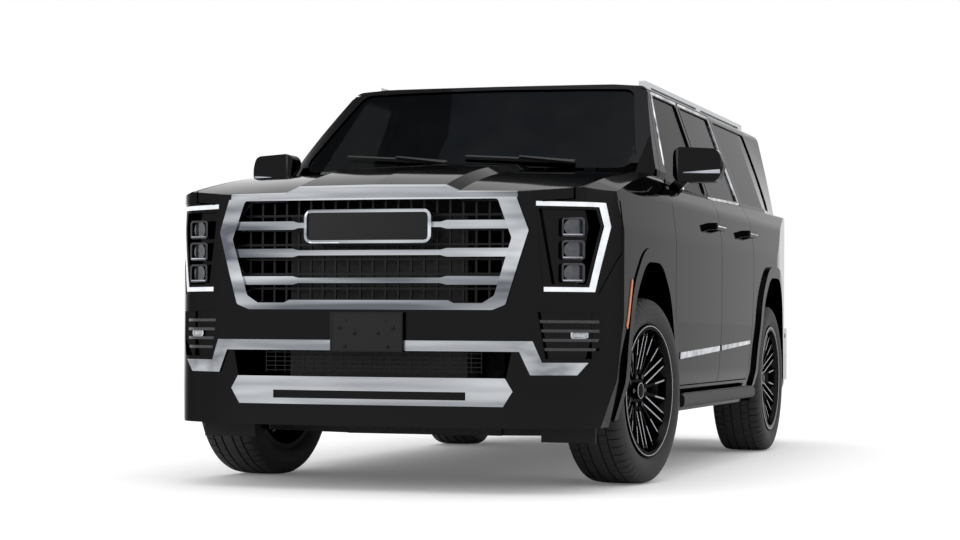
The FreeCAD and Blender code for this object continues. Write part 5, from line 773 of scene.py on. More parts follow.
@dataclass
class PadMaker:
    """Swells the pads once and keeps them for all seats."""

    # Mesh squares, how far a point may move, and the cloth's push, steps and quality.
    voxel: float = 0.015
    cap: float = 0.012
    pressure: float = 4.0
    frames: int = 20
    quality: int = 4
    # Widths, lengths and thicknesses of the pads, and how much smaller they start.
    wide: float = 0.520
    inset: float = 0.012
    long: float = 0.445
    deep: float = 0.150
    cushion_foot: float = 0.012
    cushion_dip: float = 0.016
    back_tall: float = 0.722
    back_thick: float = 0.130
    back_inset: float = 0.010
    back_dip: float = 0.014
    # How far a back leans, from what height and over what height.
    lean: float = 0.150
    lean_start: float = 0.09
    lean_run: float = 0.64
    head_half: float = 0.135
    head_thick: float = 0.050
    head_tall: float = 0.18
    head_lean: float = 0.012
    # Half width between the bolsters, its largest share of a pad's half width, and the bolsters' slope.
    bolster: float = 0.158
    bolster_share: float = 0.62
    bolster_foot: float = 0.03
    crown: float = 0.004
    # Sewn channels: half width, times that over which the leather sinks, depths, and those across.
    channel: float = 0.013
    channel_reach: float = 1.5
    bolster_deep: float = 0.008
    cross_deep: float = 0.0055
    cross_start: float = 0.02
    cross_step: float = 0.098
    crosses: int = 6

    # Rounded upper edge of a pad: inwards from its side and down from its top.
    EDGE = ((0.0, 0.03), (0.012, 0.008), (0.035, 0.0))
    # Headrest: height, how much narrower and how much thinner on each side.
    HEAD_STATIONS = ((0.010, 0.03, 0.022), (0.028, 0.014, 0.012), (0.08, 0.010, 0.010), (0.13, 0.014, 0.012),
                     (0.160, 0.030, 0.018), (0.172, 0.052, 0.030))
    HEAD_STEPS = 24
    # How square its outline is across and front to back, where 1 is round.
    HEAD_SQUARE = (0.45, 0.6)

    def __post_init__(self) -> None:
        """Makes the three kinds of pad."""
        self.pads = {
            PadKind.CUSHION: self._sewn(self._puffed(self._cushion()), PadKind.CUSHION),
            PadKind.BACK: self._sewn(self._puffed(self._back()), PadKind.BACK),
            PadKind.HEADREST: self._puffed(self._headrest()),
        }

    def _across(self, half: float, low: float, high: float, dip: float) -> list[Pair]:
        """Section across a pad with two bolsters.

        Args:
            half: Half its width.
            low: Height of its foot.
            high: Height of the bolsters.
            dip: How much lower the middle is.

        Returns:
            Points across and up, all round.
        """
        inner = min(self.bolster, half * self.bolster_share)
        edge = [(half - inwards, high - down) for inwards, down in self.EDGE]
        slope = [(inner + self.bolster_foot, high - self.crown), (inner, high - dip)]
        right = edge + slope
        left = [(-x, z) for x, z in reversed(right)]
        return [(-half, low), (half, low), *right, (0.0, high - dip + self.crown), *left]

    def _cushion(self) -> Shape:
        """Start of the cushion: front edge at y 0, foot at z 0."""
        half = self.wide / 2 - self.inset
        foot = self.cushion_foot
        # Distance from the front edge, foot, how much lower than the full depth, how much narrower.
        stations = ((0.014, 0.045, 0.042, 0.015), (0.030, 0.016, 0.022, 0.006), (0.070, foot, 0.012, 0.0),
                    (0.20, foot, 0.013, 0.0), (0.33, foot, 0.018, 0.0), (self.long - 0.020, foot, 0.022,
                                                                         0.004))
        return Shape().rings([
            [(x, y, z) for x, z in self._across(half - narrow, low, self.deep - drop, self.cushion_dip)]
            for y, low, drop, narrow in stations])

    def _shift(self, z: float) -> float:
        """How far back the middle of the back stands at a height."""
        return self.lean * max(0.0, z - self.lean_start) / self.lean_run

    def _back(self) -> Shape:
        """Start of the back: middle of its foot at y 0 and z 0."""
        half = self.wide / 2 - self.inset
        # Height, how much narrower and how much thinner on each side.
        stations = ((0.012, 0.02, 0.01), (0.04, 0.004, 0.0), (0.30, 0.0, 0.0), (0.50, 0.012, 0.0),
                    (0.64, 0.030, 0.004),
                    (self.back_tall - 0.034, 0.046, 0.012), (self.back_tall - 0.014, 0.075, 0.034))
        rings = []
        for z, narrow, thin in stations:
            thick = self.back_thick / 2 - self.back_inset - thin
            section = self._across(half - narrow, -thick, thick, self.back_dip)
            rings.append([(x, self._shift(z) - h, z) for x, h in section])
        return Shape().rings(rings)

    def _headrest(self) -> Shape:
        """Start of the headrest: middle of its foot at y 0 and z 0."""
        flat, deep = self.HEAD_SQUARE
        rings = []
        for z, narrow, thin in self.HEAD_STATIONS:
            half, thick = self.head_half - narrow, self.head_thick - thin
            shift = self.head_lean * z / self.head_tall
            rings.append([(half * math.copysign(abs(cosine) ** flat, cosine),
                           shift + thick * math.copysign(abs(sine) ** deep, sine), z)
                          for sine, cosine in circle(1.0, self.HEAD_STEPS)])
        return Shape().rings(rings)

    def _puffed(self, start: Shape) -> Shape:
        """Swells a pad as inflated cloth, with capped moves.

        Args:
            start: The slightly smaller pad.

        Returns:
            The swollen pad.
        """
        pad = bpy.data.objects.new("pad_start", start.mesh("pad_start"))
        bpy.context.scene.collection.objects.link(pad)
        grid = pad.modifiers.new("grid", "REMESH")
        grid.mode = "VOXEL"
        grid.voxel_size = self.voxel
        bpy.context.view_layer.update()
        fine = self._settled(pad)
        pad.modifiers.clear()
        pad.data = fine
        before = [vertex.co.copy() for vertex in fine.vertices]
        after = self._blown(pad)
        points = []
        for here, there in zip(before, after):
            move = there - here
            if move.length > self.cap:
                move = move * (self.cap / move.length)
            points.append(here + move)
        faces = [tuple(polygon.vertices) for polygon in fine.polygons]
        bpy.data.objects.remove(pad)
        return Shape(points, faces)

    def _settled(self, pad: bpy.types.Object) -> bpy.types.Mesh:
        """Mesh of a pad with its modifiers applied."""
        return bpy.data.meshes.new_from_object(pad.evaluated_get(bpy.context.evaluated_depsgraph_get()))

    def _blown(self, pad: bpy.types.Object) -> list[Vector]:
        """Runs the cloth under pressure.

        Args:
            pad: The remeshed pad.

        Returns:
            Where its points end up.
        """
        scene = bpy.context.scene
        cloth = pad.modifiers.new("cloth", "CLOTH")
        cloth.settings.quality = self.quality
        cloth.settings.use_pressure = True
        cloth.settings.uniform_pressure_force = self.pressure
        cloth.settings.effector_weights.gravity = 0
        cloth.point_cache.frame_start = 1
        cloth.point_cache.frame_end = self.frames
        for step in range(1, self.frames + 1):
            scene.frame_set(step)
        swollen = self._settled(pad)
        pad.modifiers.clear()
        scene.frame_set(1)
        return [vertex.co.copy() for vertex in swollen.vertices]

    def _sewn(self, pad: Shape, kind: PadKind) -> Shape:
        """Sinks the sewn channels of a pad.

        Args:
            pad: The swollen pad.
            kind: Which pad it is.

        Returns:
            The pad with its channels.
        """
        cushion = kind is PadKind.CUSHION
        down = -UP if cushion else BACKWARD
        points = []
        for p in pad.points:
            place = p.y if cushion else p.z
            shown = p.z > self.deep * 0.5 if cushion else p.y < self._shift(p.z)
            points.append(p + down * (self._sink(p.x, place) if shown else 0.0))
        return Shape(points, pad.faces)

    def _sink(self, x: float, place: float) -> float:
        """How far the channels pull the leather in at a place.

        Args:
            x: Place across the pad.
            place: Place along it.

        Returns:
            The depth.
        """
        reach = self.channel * self.channel_reach
        sink = self.bolster_deep * max(0.0, 1 - abs(abs(x) - self.bolster) / reach)
        if abs(x) < self.bolster:
            for number in range(1, self.crosses + 1):
                near = abs(place - self.cross_start - number * self.cross_step)
                sink = max(sink, self.cross_deep * max(0.0, 1 - near / reach))
        return sink


@dataclass
class Seat:
    """One seat with cushion, back, headrest, base and posts."""

    # Name, carried node that it replaces, middle, front edge behind the front axle, width, how much higher
    # it sits than a front seat, and height of the floor under it.
    name: str
    node: str
    x: float
    front: float
    wide: float
    lift: float
    rest: float
    # Heights of a front seat's pads, and their places behind its front edge.
    cushion_z: float = 0.700
    back_y: float = 0.520
    back_z: float = 0.704
    head_y: float = 0.670
    head_z: float = 1.462
    fill: float = 0.85
    base_half: float = 0.05
    base_start: float = 0.06
    base_end: float = 0.46
    base_bevel: float = 0.008
    post_y: float = 0.665
    post_x: float = 0.055
    post: float = 0.007
    # Thread: beside a channel's middle, width, height, stitches, and how far off the rays start.
    seam_off: float = 0.016
    seam: float = 0.0026
    seam_high: float = 0.0010
    seam_steps: int = 24
    ray_start: float = 0.3

    # Heights of the posts' rings, of the base's upper rings, and the base's foot: over the floor, inset.
    POST_Z = (1.385, 1.43, 1.485)
    BASE_Z = (0.676, 0.706)
    BASE_FOOT = ((0.001, 0.02), (0.02, 0.012))
    POST_STEPS = 12
    # Thread along a cushion and up a back: start and length.
    CUSHION_SEAM = (0.05, 0.36)
    BACK_SEAM = (0.17, 0.46)

    def build(self, maker: PadMaker) -> None:
        """Makes the pieces of the seat.

        Args:
            maker: The kept pads.
        """
        y = along(self.front)
        scale = Matrix.Diagonal((self.wide / maker.wide, 1, 1, 1))
        places = {
            PadKind.CUSHION: Matrix.Translation((self.x, y, self.cushion_z + self.lift)) @ scale,
            PadKind.BACK: Matrix.Translation((self.x, y + self.back_y, self.back_z + self.lift)) @ scale,
            PadKind.HEADREST: Matrix.Translation((self.x, y + self.head_y, self.head_z + self.lift)),
        }
        for kind, place in places.items():
            name = f"{self.name}_{kind.value}"
            pad = maker.pads[kind].moved(place)
            made = pad.piece(name, Finishes.LEATHER, "body", subdivide=1)
            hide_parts(self.node)
            if kind is not PadKind.HEADREST:
                self._seams(pad, maker, kind, place).piece(name + "_seams", Finishes.SEAM, "body",
                                                           smooth=False)
        made = self._base(y).piece(self.name + "_base", Finishes.CABIN, "body", bevel=self.base_bevel)
        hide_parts(self.node)
        self._posts(y).piece(self.name + "_posts", Finishes.SATIN, "body")

    def _base(self, y: float) -> Shape:
        """Foot of the seat.

        Args:
            y: Front edge of the seat.

        Returns:
            The base.
        """
        half = self.wide / 2 - self.base_half
        levels = [(self.rest + over, inset) for over, inset in self.BASE_FOOT]
        levels += [(z + self.lift, 0.0) for z in self.BASE_Z]
        near, far = y + self.base_start, y + self.base_end
        return Shape().rings([[(self.x - half + inset, near, z), (self.x + half - inset, near, z),
                               (self.x + half - inset, far, z), (self.x - half + inset, far, z)]
                              for z, inset in levels])

    def _posts(self, y: float) -> Shape:
        """Two posts of the headrest.

        Args:
            y: Front edge of the seat.

        Returns:
            The posts.
        """
        posts = Shape()
        middle = y + self.post_y
        for sign in (-1, 1):
            x = self.x + sign * self.post_x
            posts.rings([[(x + cosine, middle + sine, z + self.lift)
                          for sine, cosine in circle(self.post, self.POST_STEPS)] for z in self.POST_Z])
        return posts

    def _seams(self, pad: Shape, maker: PadMaker, kind: PadKind, place: Matrix) -> Shape:
        """Thread beside the channels between seat and bolsters.

        Args:
            pad: The placed pad.
            maker: Where the channel's place comes from.
            kind: Which pad it is.
            place: Matrix of the pad.

        Returns:
            The thread.
        """
        tree = BVHTree.FromPolygons(pad.points, pad.faces)
        cushion = kind is PadKind.CUSHION
        aim = -UP if cushion else BACKWARD
        start, span = self.CUSHION_SEAM if cushion else self.BACK_SEAM
        whole = Shape()
        for offset in (sign * maker.bolster + off for sign in (-1, 1) for off in (-self.seam_off,
                                                                                  self.seam_off)):
            line = []
            for step in range(self.seam_steps):
                run = start + span * step / (self.seam_steps - 1)
                local = (offset, run, self.ray_start) if cushion else (offset, -self.ray_start, run)
                hit = tree.ray_cast(place @ Vector(local), aim)[0]
                if hit is not None:
                    line.append(hit)
            if len(line) > 3:
                whole = whole.joined(ribbon(line, [self.seam] * len(line), lambda i: SIDEWAYS,
                                            lambda i: -aim,
                                            self.seam_high, self.seam_high))
        return whole


@dataclass
class Cabin:
    """Seats of all three rows."""

    seat_x: float = 0.420
    third_x: float = 0.350
    wide: float = 0.520
    third_wide: float = 0.460
    floor: float = 0.500
    step: float = 0.700
    third_lift: float = 0.090
    fronts: Triple = (1.060, 1.950, 2.830)

    def build(self) -> None:
        """Makes the seats."""
        maker = PadMaker()
        first, second, third = self.fronts
        for side, sign in SIDES:
            x = sign * self.seat_x
            Seat("front_seat_" + side, "front_seats", x, first, self.wide, 0.0, self.floor).build(maker)
            Seat("second_seat_" + side, "rear_seats", x, second, self.wide, 0.0, self.floor).build(maker)
            Seat("third_seat_" + side, "rear_seats", sign * self.third_x, third, self.third_wide,
                 self.third_lift,
                 self.step).build(maker)


# Trim


def heading(line: Sequence[Vector], index: int) -> Vector:
    """Direction of a line at one of its points."""
    return line[min(index + 1, len(line) - 1)] - line[max(index - 1, 0)]


def between(ends: Pair, count: int) -> list[float]:
    """Values that run evenly from one end to the other."""
    return [ends[0] + (ends[1] - ends[0]) * i / (count - 1) for i in range(count)]


# Most that two neighbouring points of a strip may differ in depth, on a side and on the nose or tail.
SIDE_JUMP = 0.03
END_JUMP = 0.04
TRIM_SUNK = 0.004
SLOPE_REACH = 0.02
SLOPE_LIMITS = (-0.6, 0.8)


def laid(surface: Surface, path: Sequence[Pair], widths: Pair, sign: int,
         proud: float = 0.0035, step: float = 0.03) -> Shape:
    """Strip laid on the vehicle's side.

    Args:
        surface: What it lies on.
        path: Corners as distances behind the front axle and heights.
        widths: Width at its start and end.
        sign: 1 on the left and -1 on the right.
        proud: Height over the surface.
        step: Distance between its points.

    Returns:
        The strip.
    """
    line: list[Vector] = []
    for place in sampled([(along(y), z, 0.0) for y, z in path], step):
        hit = surface.side(place.x, place.y, sign)
        if hit is not None and (not line or abs(hit.x - line[-1].x) < SIDE_JUMP):
            line.append(hit)
    if len(line) < 2:
        return Shape()

    def out(index: int) -> Vector:
        """Outward direction of the side at a point of the strip.

        Args:
            index: Number of the point.

        Returns:
            The direction, without the part along the vehicle.
        """
        p = line[index]
        above = surface.side(p.y, p.z + SLOPE_REACH, sign)
        below = surface.side(p.y, p.z - SLOPE_REACH, sign)
        lean = 0.0
        if above is not None and below is not None and abs(above.x - below.x) < SIDE_JUMP:
            lean = -sign * (above.x - below.x) / (2 * SLOPE_REACH)
        return Vector((sign, 0, max(SLOPE_LIMITS[0], min(SLOPE_LIMITS[1], lean))))

    return ribbon(line, between(widths, len(line)), lambda i: heading(line, i).cross(out(i)), out, proud,
                  TRIM_SUNK)


def faced(surface: Surface, path: Sequence[Pair], widths: Pair, proud: float = 0.004,
          step: float = 0.02, back: bool = False) -> Shape:
    """Strip laid on the nose or the tail.

    Args:
        surface: What it lies on.
        path: Corners as frame X and Z.
        widths: Width at its start and end.
        proud: Height over the surface.
        step: Distance between its points.
        back: Whether it lies on the tail.

    Returns:
        The strip.
    """
    toward = BACKWARD if back else FORWARD
    line: list[Vector] = []
    for place in sampled([(x, z, 0.0) for x, z in path], step):
        hit = surface.back(place.x, place.y) if back else surface.front(place.x, place.y)
        if hit is not None and (not line or abs(hit.y - line[-1].y) < END_JUMP):
            line.append(hit)
    if len(line) < 2:
        return Shape()
    return ribbon(line, between(widths, len(line)), lambda i: heading(line, i).cross(toward), lambda i: toward,
                  proud, TRIM_SUNK)


def framed(corners: Sequence[Sequence[float]], wide: float, toward: Vector, proud: float,
           sunk: float) -> Shape:
    """Closed flat frame round a row of corners, its face a little domed.

    Args:
        corners: Outer corners, all round.
        wide: Width of the frame.
        toward: Direction of its face.
        proud: Height of its face.
        sunk: Depth of its back.

    Returns:
        The frame.
    """
    places = [Vector(c) for c in corners]
    middle = sum(places, Vector()) / len(places)
    rings = []
    for p in places:
        inward = (middle - p).normalized() * wide
        high, low = toward * proud, toward * sunk
        rings.append([p - low, p + high * 0.6, p + inward * 0.25 + high, p + inward + high,
                      p + inward - low])
    return Shape().rings(rings, closed=True, ends=False, looped=True)


def rounded(low: Pair, high: Pair, corner: float, steps: int = 5) -> list[Pair]:
    """Corners of a rectangle with round corners.

    Args:
        low: Lowest corner.
        high: Highest corner.
        corner: Corner radius.
        steps: Points on each corner.

    Returns:
        Points all round.
    """
    left, right = low[0] + corner, high[0] - corner
    foot, top = low[1] + corner, high[1] - corner
    result = []
    for (x, z), start in (((right, top), 0), ((left, top), 90), ((left, foot), 180), ((right, foot), 270)):
        for k in range(steps):
            angle = math.radians(start + 90 * k / (steps - 1))
            result.append((x + corner * math.cos(angle), z + corner * math.sin(angle)))
    return result


class Door:
    """A side door that trim is laid on."""

    def __init__(self, which: str, side: str, sign: int) -> None:
        """Reads the door's surface.

        Args:
            which: front or rear.
            side: left or right.
            sign: 1 on the left and -1 on the right.
        """
        self.label = f"{which}_{side}"
        self.sign = sign
        self.surface = Surface("door_" + self.label)

    def strip(self, path: Path, widths: Pair, proud: float = 0.0035, step: float = 0.03) -> Shape:
        """Strip laid on the door."""
        return laid(self.surface, path, widths, self.sign, proud, step)

    def wear(self, shape: Shape, name: str, finish: Finish) -> None:
        """Makes a piece that rides on the door."""
        shape.piece(f"{name}_{self.label}", finish, "door_" + self.label)


@dataclass
class SideTrim:
    """Bright lines and small parts of the vehicle's sides. Distances are behind the front axle."""

    line: float = 0.015
    belt_z: float = 1.364
    rear_belt_z: float = 1.384
    head_z: float = 1.8595
    split_front: float = 1.546
    split_rear: float = 1.566
    front_in: float = 0.012
    rear_in: float = 0.008
    belt_rise: float = 0.006
    # The line along the windshield, and the last upright line: foot and head.
    screen_foot: float = 0.590
    screen_head: float = 0.966
    rear_foot: float = 2.404
    rear_head: float = 2.352
    rear_grow: Pair = (0.006, 0.008)
    # Free end of each sill line and its heights at both ends, then the widths from front to rear.
    sill_front: Triple = (0.580, 0.568, 0.598)
    sill_rear: Triple = (2.372, 0.600, 0.627)
    sill_widths: Triple = (0.036, 0.030, 0.022)
    sill_proud: float = 0.006
    # Place and width of the pillar covers, and how far inside belt and head they stop.
    pillar_front: Pair = (1.524, 0.036)
    pillar_rear: Pair = (1.590, 0.032)
    pillar_ends: Pair = (0.03, 0.02)
    pillar_proud: float = 0.002
    handle_z: float = 1.213
    handle_starts: Pair = (1.270, 2.175)
    handle_long: float = 0.236
    handle_in: float = 0.014
    handle_line: float = 0.007
    handle_proud: float = 0.0018

    FINE_STEP = 0.02

    def build(self) -> None:
        """Makes the trim of both sides."""
        for side, sign in SIDES:
            self._front_door(Door("front", side, sign))
            self._rear_door(Door("rear", side, sign))
            Markers().build(side, sign)
            Boards().build(side, sign)
            Mirror().build(side, sign)

    def _front_door(self, door: Door) -> None:
        """Window line, sill line, pillar cover and handle line of a front door.

        Args:
            door: The door.
        """
        end = self.split_front - self.front_in
        belt = ((self.screen_foot + 0.014, self.belt_z), (end, self.belt_z + self.belt_rise))
        screen = ((self.screen_foot, self.belt_z + 0.01), (self.screen_head, self.head_z))
        head = ((self.screen_head - 0.006, self.head_z), (end, self.head_z))
        even = (self.line, self.line)
        shape = door.strip(belt, even)
        shape = shape.joined(door.strip(screen, even, step=self.FINE_STEP)).joined(door.strip(head, even))
        door.wear(shape, "window_line", Finishes.CHROME)
        start, low, high = self.sill_front
        sill = ((start, low), (self.split_front - 0.02, high))
        self._sill_and_rest(door, sill, self.sill_widths[:2], self.pillar_front, self.handle_starts[0])

    def _rear_door(self, door: Door) -> None:
        """Window line, sill line, pillar cover and handle line of a rear door.

        Args:
            door: The door.
        """
        start = self.split_rear + self.rear_in
        belt = ((start, self.belt_z + 0.008), (self.rear_foot, self.rear_belt_z))
        head = ((start, self.head_z), (self.rear_head, self.head_z))
        last = ((self.rear_head - 0.003, self.head_z), (self.rear_foot, self.rear_belt_z))
        even = (self.line, self.line)
        wide = (self.line + self.rear_grow[0], self.line + self.rear_grow[1])
        shape = door.strip(belt, even).joined(door.strip(head, even))
        door.wear(shape.joined(door.strip(last, wide, step=self.FINE_STEP)), "window_line", Finishes.CHROME)
        end, low, high = self.sill_rear
        sill = ((self.split_rear + 0.016, low), (end, high))
        self._sill_and_rest(door, sill, self.sill_widths[1:], self.pillar_rear, self.handle_starts[1])

    def _sill_and_rest(self, door: Door, sill: Path, widths: Pair, pillar: Pair, handle: float) -> None:
        """Sill line, black cover between the windows and bright line on the handle.

        Args:
            door: The door.
            sill: Ends of the sill line.
            widths: Its widths.
            pillar: Place and width of the cover.
            handle: Front end of the handle.
        """
        door.wear(door.strip(sill, widths, self.sill_proud), "sill_line", Finishes.CHROME)
        place, wide = pillar
        cover = ((place, self.belt_z + self.pillar_ends[0]), (place, self.head_z - self.pillar_ends[1]))
        door.wear(door.strip(cover, (wide, wide), self.pillar_proud), "pillar", Finishes.GLOSS_BLACK)
        start, end = handle + self.handle_in, handle + self.handle_long - self.handle_in
        path, widths = ((start, self.handle_z), (end, self.handle_z)), (self.handle_line, self.handle_line)
        door.wear(door.strip(path, widths, self.handle_proud), "handle_line", Finishes.CHROME)


@dataclass
class Markers:
    """Amber and red markers of a side. Places are distances behind the front axle and heights."""

    # Ends of the amber and of the red marker.
    front: Path = ((-0.437, 0.905), (-0.525, 0.697))
    front_widths: Pair = (0.024, 0.030)
    front_proud: float = 0.004
    front_step: float = 0.02
    rear: Path = ((3.93, 0.66), (4.02, 0.66))
    rear_widths: Pair = (0.030, 0.026)
    rear_proud: float = 0.003
    rear_step: float = 0.015

    def build(self, side: str, sign: int) -> None:
        """Makes the markers of a side.

        Args:
            side: Name of the side.
            sign: 1 for left, -1 for right.
        """
        laid(Surface("fenders", "front_bumper"), self.front, self.front_widths, sign, self.front_proud,
             self.front_step).piece("side_marker_" + side, Finishes.AMBER, "body")
        laid(Surface("side_frames", "rear_bumper"), self.rear, self.rear_widths, sign, self.rear_proud,
             self.rear_step).piece("rear_marker_" + side, Finishes.RED_LENS, "body")


@dataclass
class Boards:
    """Ribs on the running boards."""

    ribs: int = 5
    x: float = 0.925
    gap: float = 0.019
    start: float = 0.68
    step: float = 0.1
    steps: int = 18
    lowest: float = 0.37
    wide: float = 0.008
    high: float = 0.003

    def build(self, side: str, sign: int) -> None:
        """Makes the ribs of a side.

        Args:
            side: Name of the side.
            sign: 1 for left, -1 for right.
        """
        board = Surface("running_boards")
        whole = Shape()
        for number in range(self.ribs):
            x = sign * (self.x + self.gap * number)
            hits = [board.top(x, along(self.start + self.step * k)) for k in range(self.steps)]
            line = [hit for hit in hits if hit is not None and hit.z > self.lowest]
            if len(line) > 2:
                whole = whole.joined(ribbon(line, [self.wide] * len(line), lambda i: SIDEWAYS, lambda i: UP,
                                            self.high, self.high))
        whole.piece("board_ribs_" + side, Finishes.RUBBER)


@dataclass
class Mirror:
    """Glass and bright line of an outer mirror."""

    back: float = 0.682
    # Corners of the glass, and how much its front ring shrinks across and up.
    low: Pair = (0.996, 1.404)
    high: Pair = (1.178, 1.548)
    corner: float = 0.035
    middle: Pair = (1.087, 1.476)
    shrink: Pair = (0.044, 0.056)
    line: Path = ((1.02, 1.436), (1.188, 1.442))
    line_widths: Pair = (0.005, 0.022)
    line_proud: float = 0.003
    line_step: float = 0.012

    # Depth of each ring of the glass behind the housing, and its share of the shrinking.
    RINGS = ((-0.002, 0.0), (0.0015, 0.0), (0.0025, 1.0))

    def build(self, side: str, sign: int) -> None:
        """Makes the parts of a side's mirror.

        Args:
            side: Name of the side.
            sign: 1 for left, -1 for right.
        """
        door = "door_front_" + side
        ring = rounded(self.low, self.high, self.corner)
        across, up = self.middle
        rows = []
        for depth, share in self.RINGS:
            wide, tall = 1 - share * self.shrink[0], 1 - share * self.shrink[1]
            rows.append([(sign * (across + (x - across) * wide), along(self.back) + depth,
                          up + (z - up) * tall)
                         for x, z in ring])
        Shape().rings(rows).piece("mirror_glass_" + side, Finishes.MIRROR, door)
        path = [(sign * x, z) for x, z in self.line]
        faced(Surface(door), path, self.line_widths, self.line_proud, self.line_step).piece(
            "mirror_line_" + side, Finishes.CHROME, door)


@dataclass
class HeadLamp:
    """Bezels and bright lines of a headlamp's three modules."""

    x: float = 0.850
    heights: Triple = (0.925, 1.021, 1.117)
    half: float = 0.047
    tall: float = 0.040
    corner: float = 0.012
    # How much it falls back per metre outwards, and how far before the lamp it stands.
    sweep: float = 0.30
    stand: float = 0.004
    wide: float = 0.011
    proud: float = 0.004
    sunk: float = 0.012
    line_up: float = 0.009
    line_in: float = 0.008
    line_ahead: float = 0.005
    line: float = 0.006
    line_proud: float = 0.003
    line_sunk: float = 0.004

    def build(self, side: str, sign: int) -> None:
        """Makes the modules' pieces of a side.

        Args:
            side: Name of the side.
            sign: 1 for left, -1 for right.
        """
        lamps = Surface("headlamps", "lamp_lights")
        bezels, lines = Shape(), Shape()
        for z in self.heights:
            y = lamps.front(sign * self.x, z).y - self.stand
            ring = rounded((self.x - self.half, z - self.tall), (self.x + self.half, z + self.tall),
                           self.corner)
            corners = [(sign * x, y + self.sweep * (x - self.x), h) for x, h in ring]
            bezels = bezels.joined(framed(corners, self.wide, FORWARD, self.proud, self.sunk))
            inner = self.half - self.line_in
            low = [Vector((sign * x, y + self.sweep * (x - self.x) - self.line_ahead,
                           z - self.tall + self.line_up))
                   for x in (self.x - inner, self.x, self.x + inner)]
            lines = lines.joined(ribbon(low, [self.line] * len(low), lambda i: UP, lambda i: FORWARD,
                                        self.line_proud, self.line_sunk))
        bezels.piece("lamp_bezels_" + side, Finishes.DARK_METAL, "body")
        lines.piece("lamp_lines_" + side, Finishes.CHROME, "body")


@dataclass
class FogLamp:
    """Bezel and lens of a fog lamp."""

    x: float = 0.868
    z: float = 0.666
    half: float = 0.034
    tall: float = 0.020
    corner: float = 0.014
    # How much it falls back per metre outwards, and how far before the bumper it stands.
    sweep: float = 0.55
    stand: float = 0.010
    wide: float = 0.008
    proud: float = 0.004
    sunk: float = 0.016

    # Rings of the lens: height over the bezel's plane and share of its size.
    LENS = ((-0.010, 0.90), (0.001, 0.80), (0.004, 0.45))

    def build(self, fascia: Surface, side: str, sign: int) -> None:
        """Makes the fog lamp of a side.

        Args:
            fascia: Face of the bumper.
            side: left or right.
            sign: 1 on the left and -1 on the right.
        """
        y = fascia.front(sign * self.x, self.z).y - self.stand
        ring = rounded((self.x - self.half, self.z - self.tall), (self.x + self.half, self.z + self.tall),
                       self.corner)
        corners = [(sign * x, y + self.sweep * (x - self.x), h) for x, h in ring]
        framed(corners, self.wide, FORWARD, self.proud, self.sunk).piece("fog_bezel_" + side,
                                                                         Finishes.CHROME, "body")
        rows = []
        for proud, share in self.LENS:
            rows.append([(sign * (self.x + (x - self.x) * share),
                          y + self.sweep * (x - self.x) * share - proud,
                          self.z + (h - self.z) * share) for x, h in ring])
        Shape().rings(rows).piece("fog_lens_" + side, Finishes.FOG, "body")


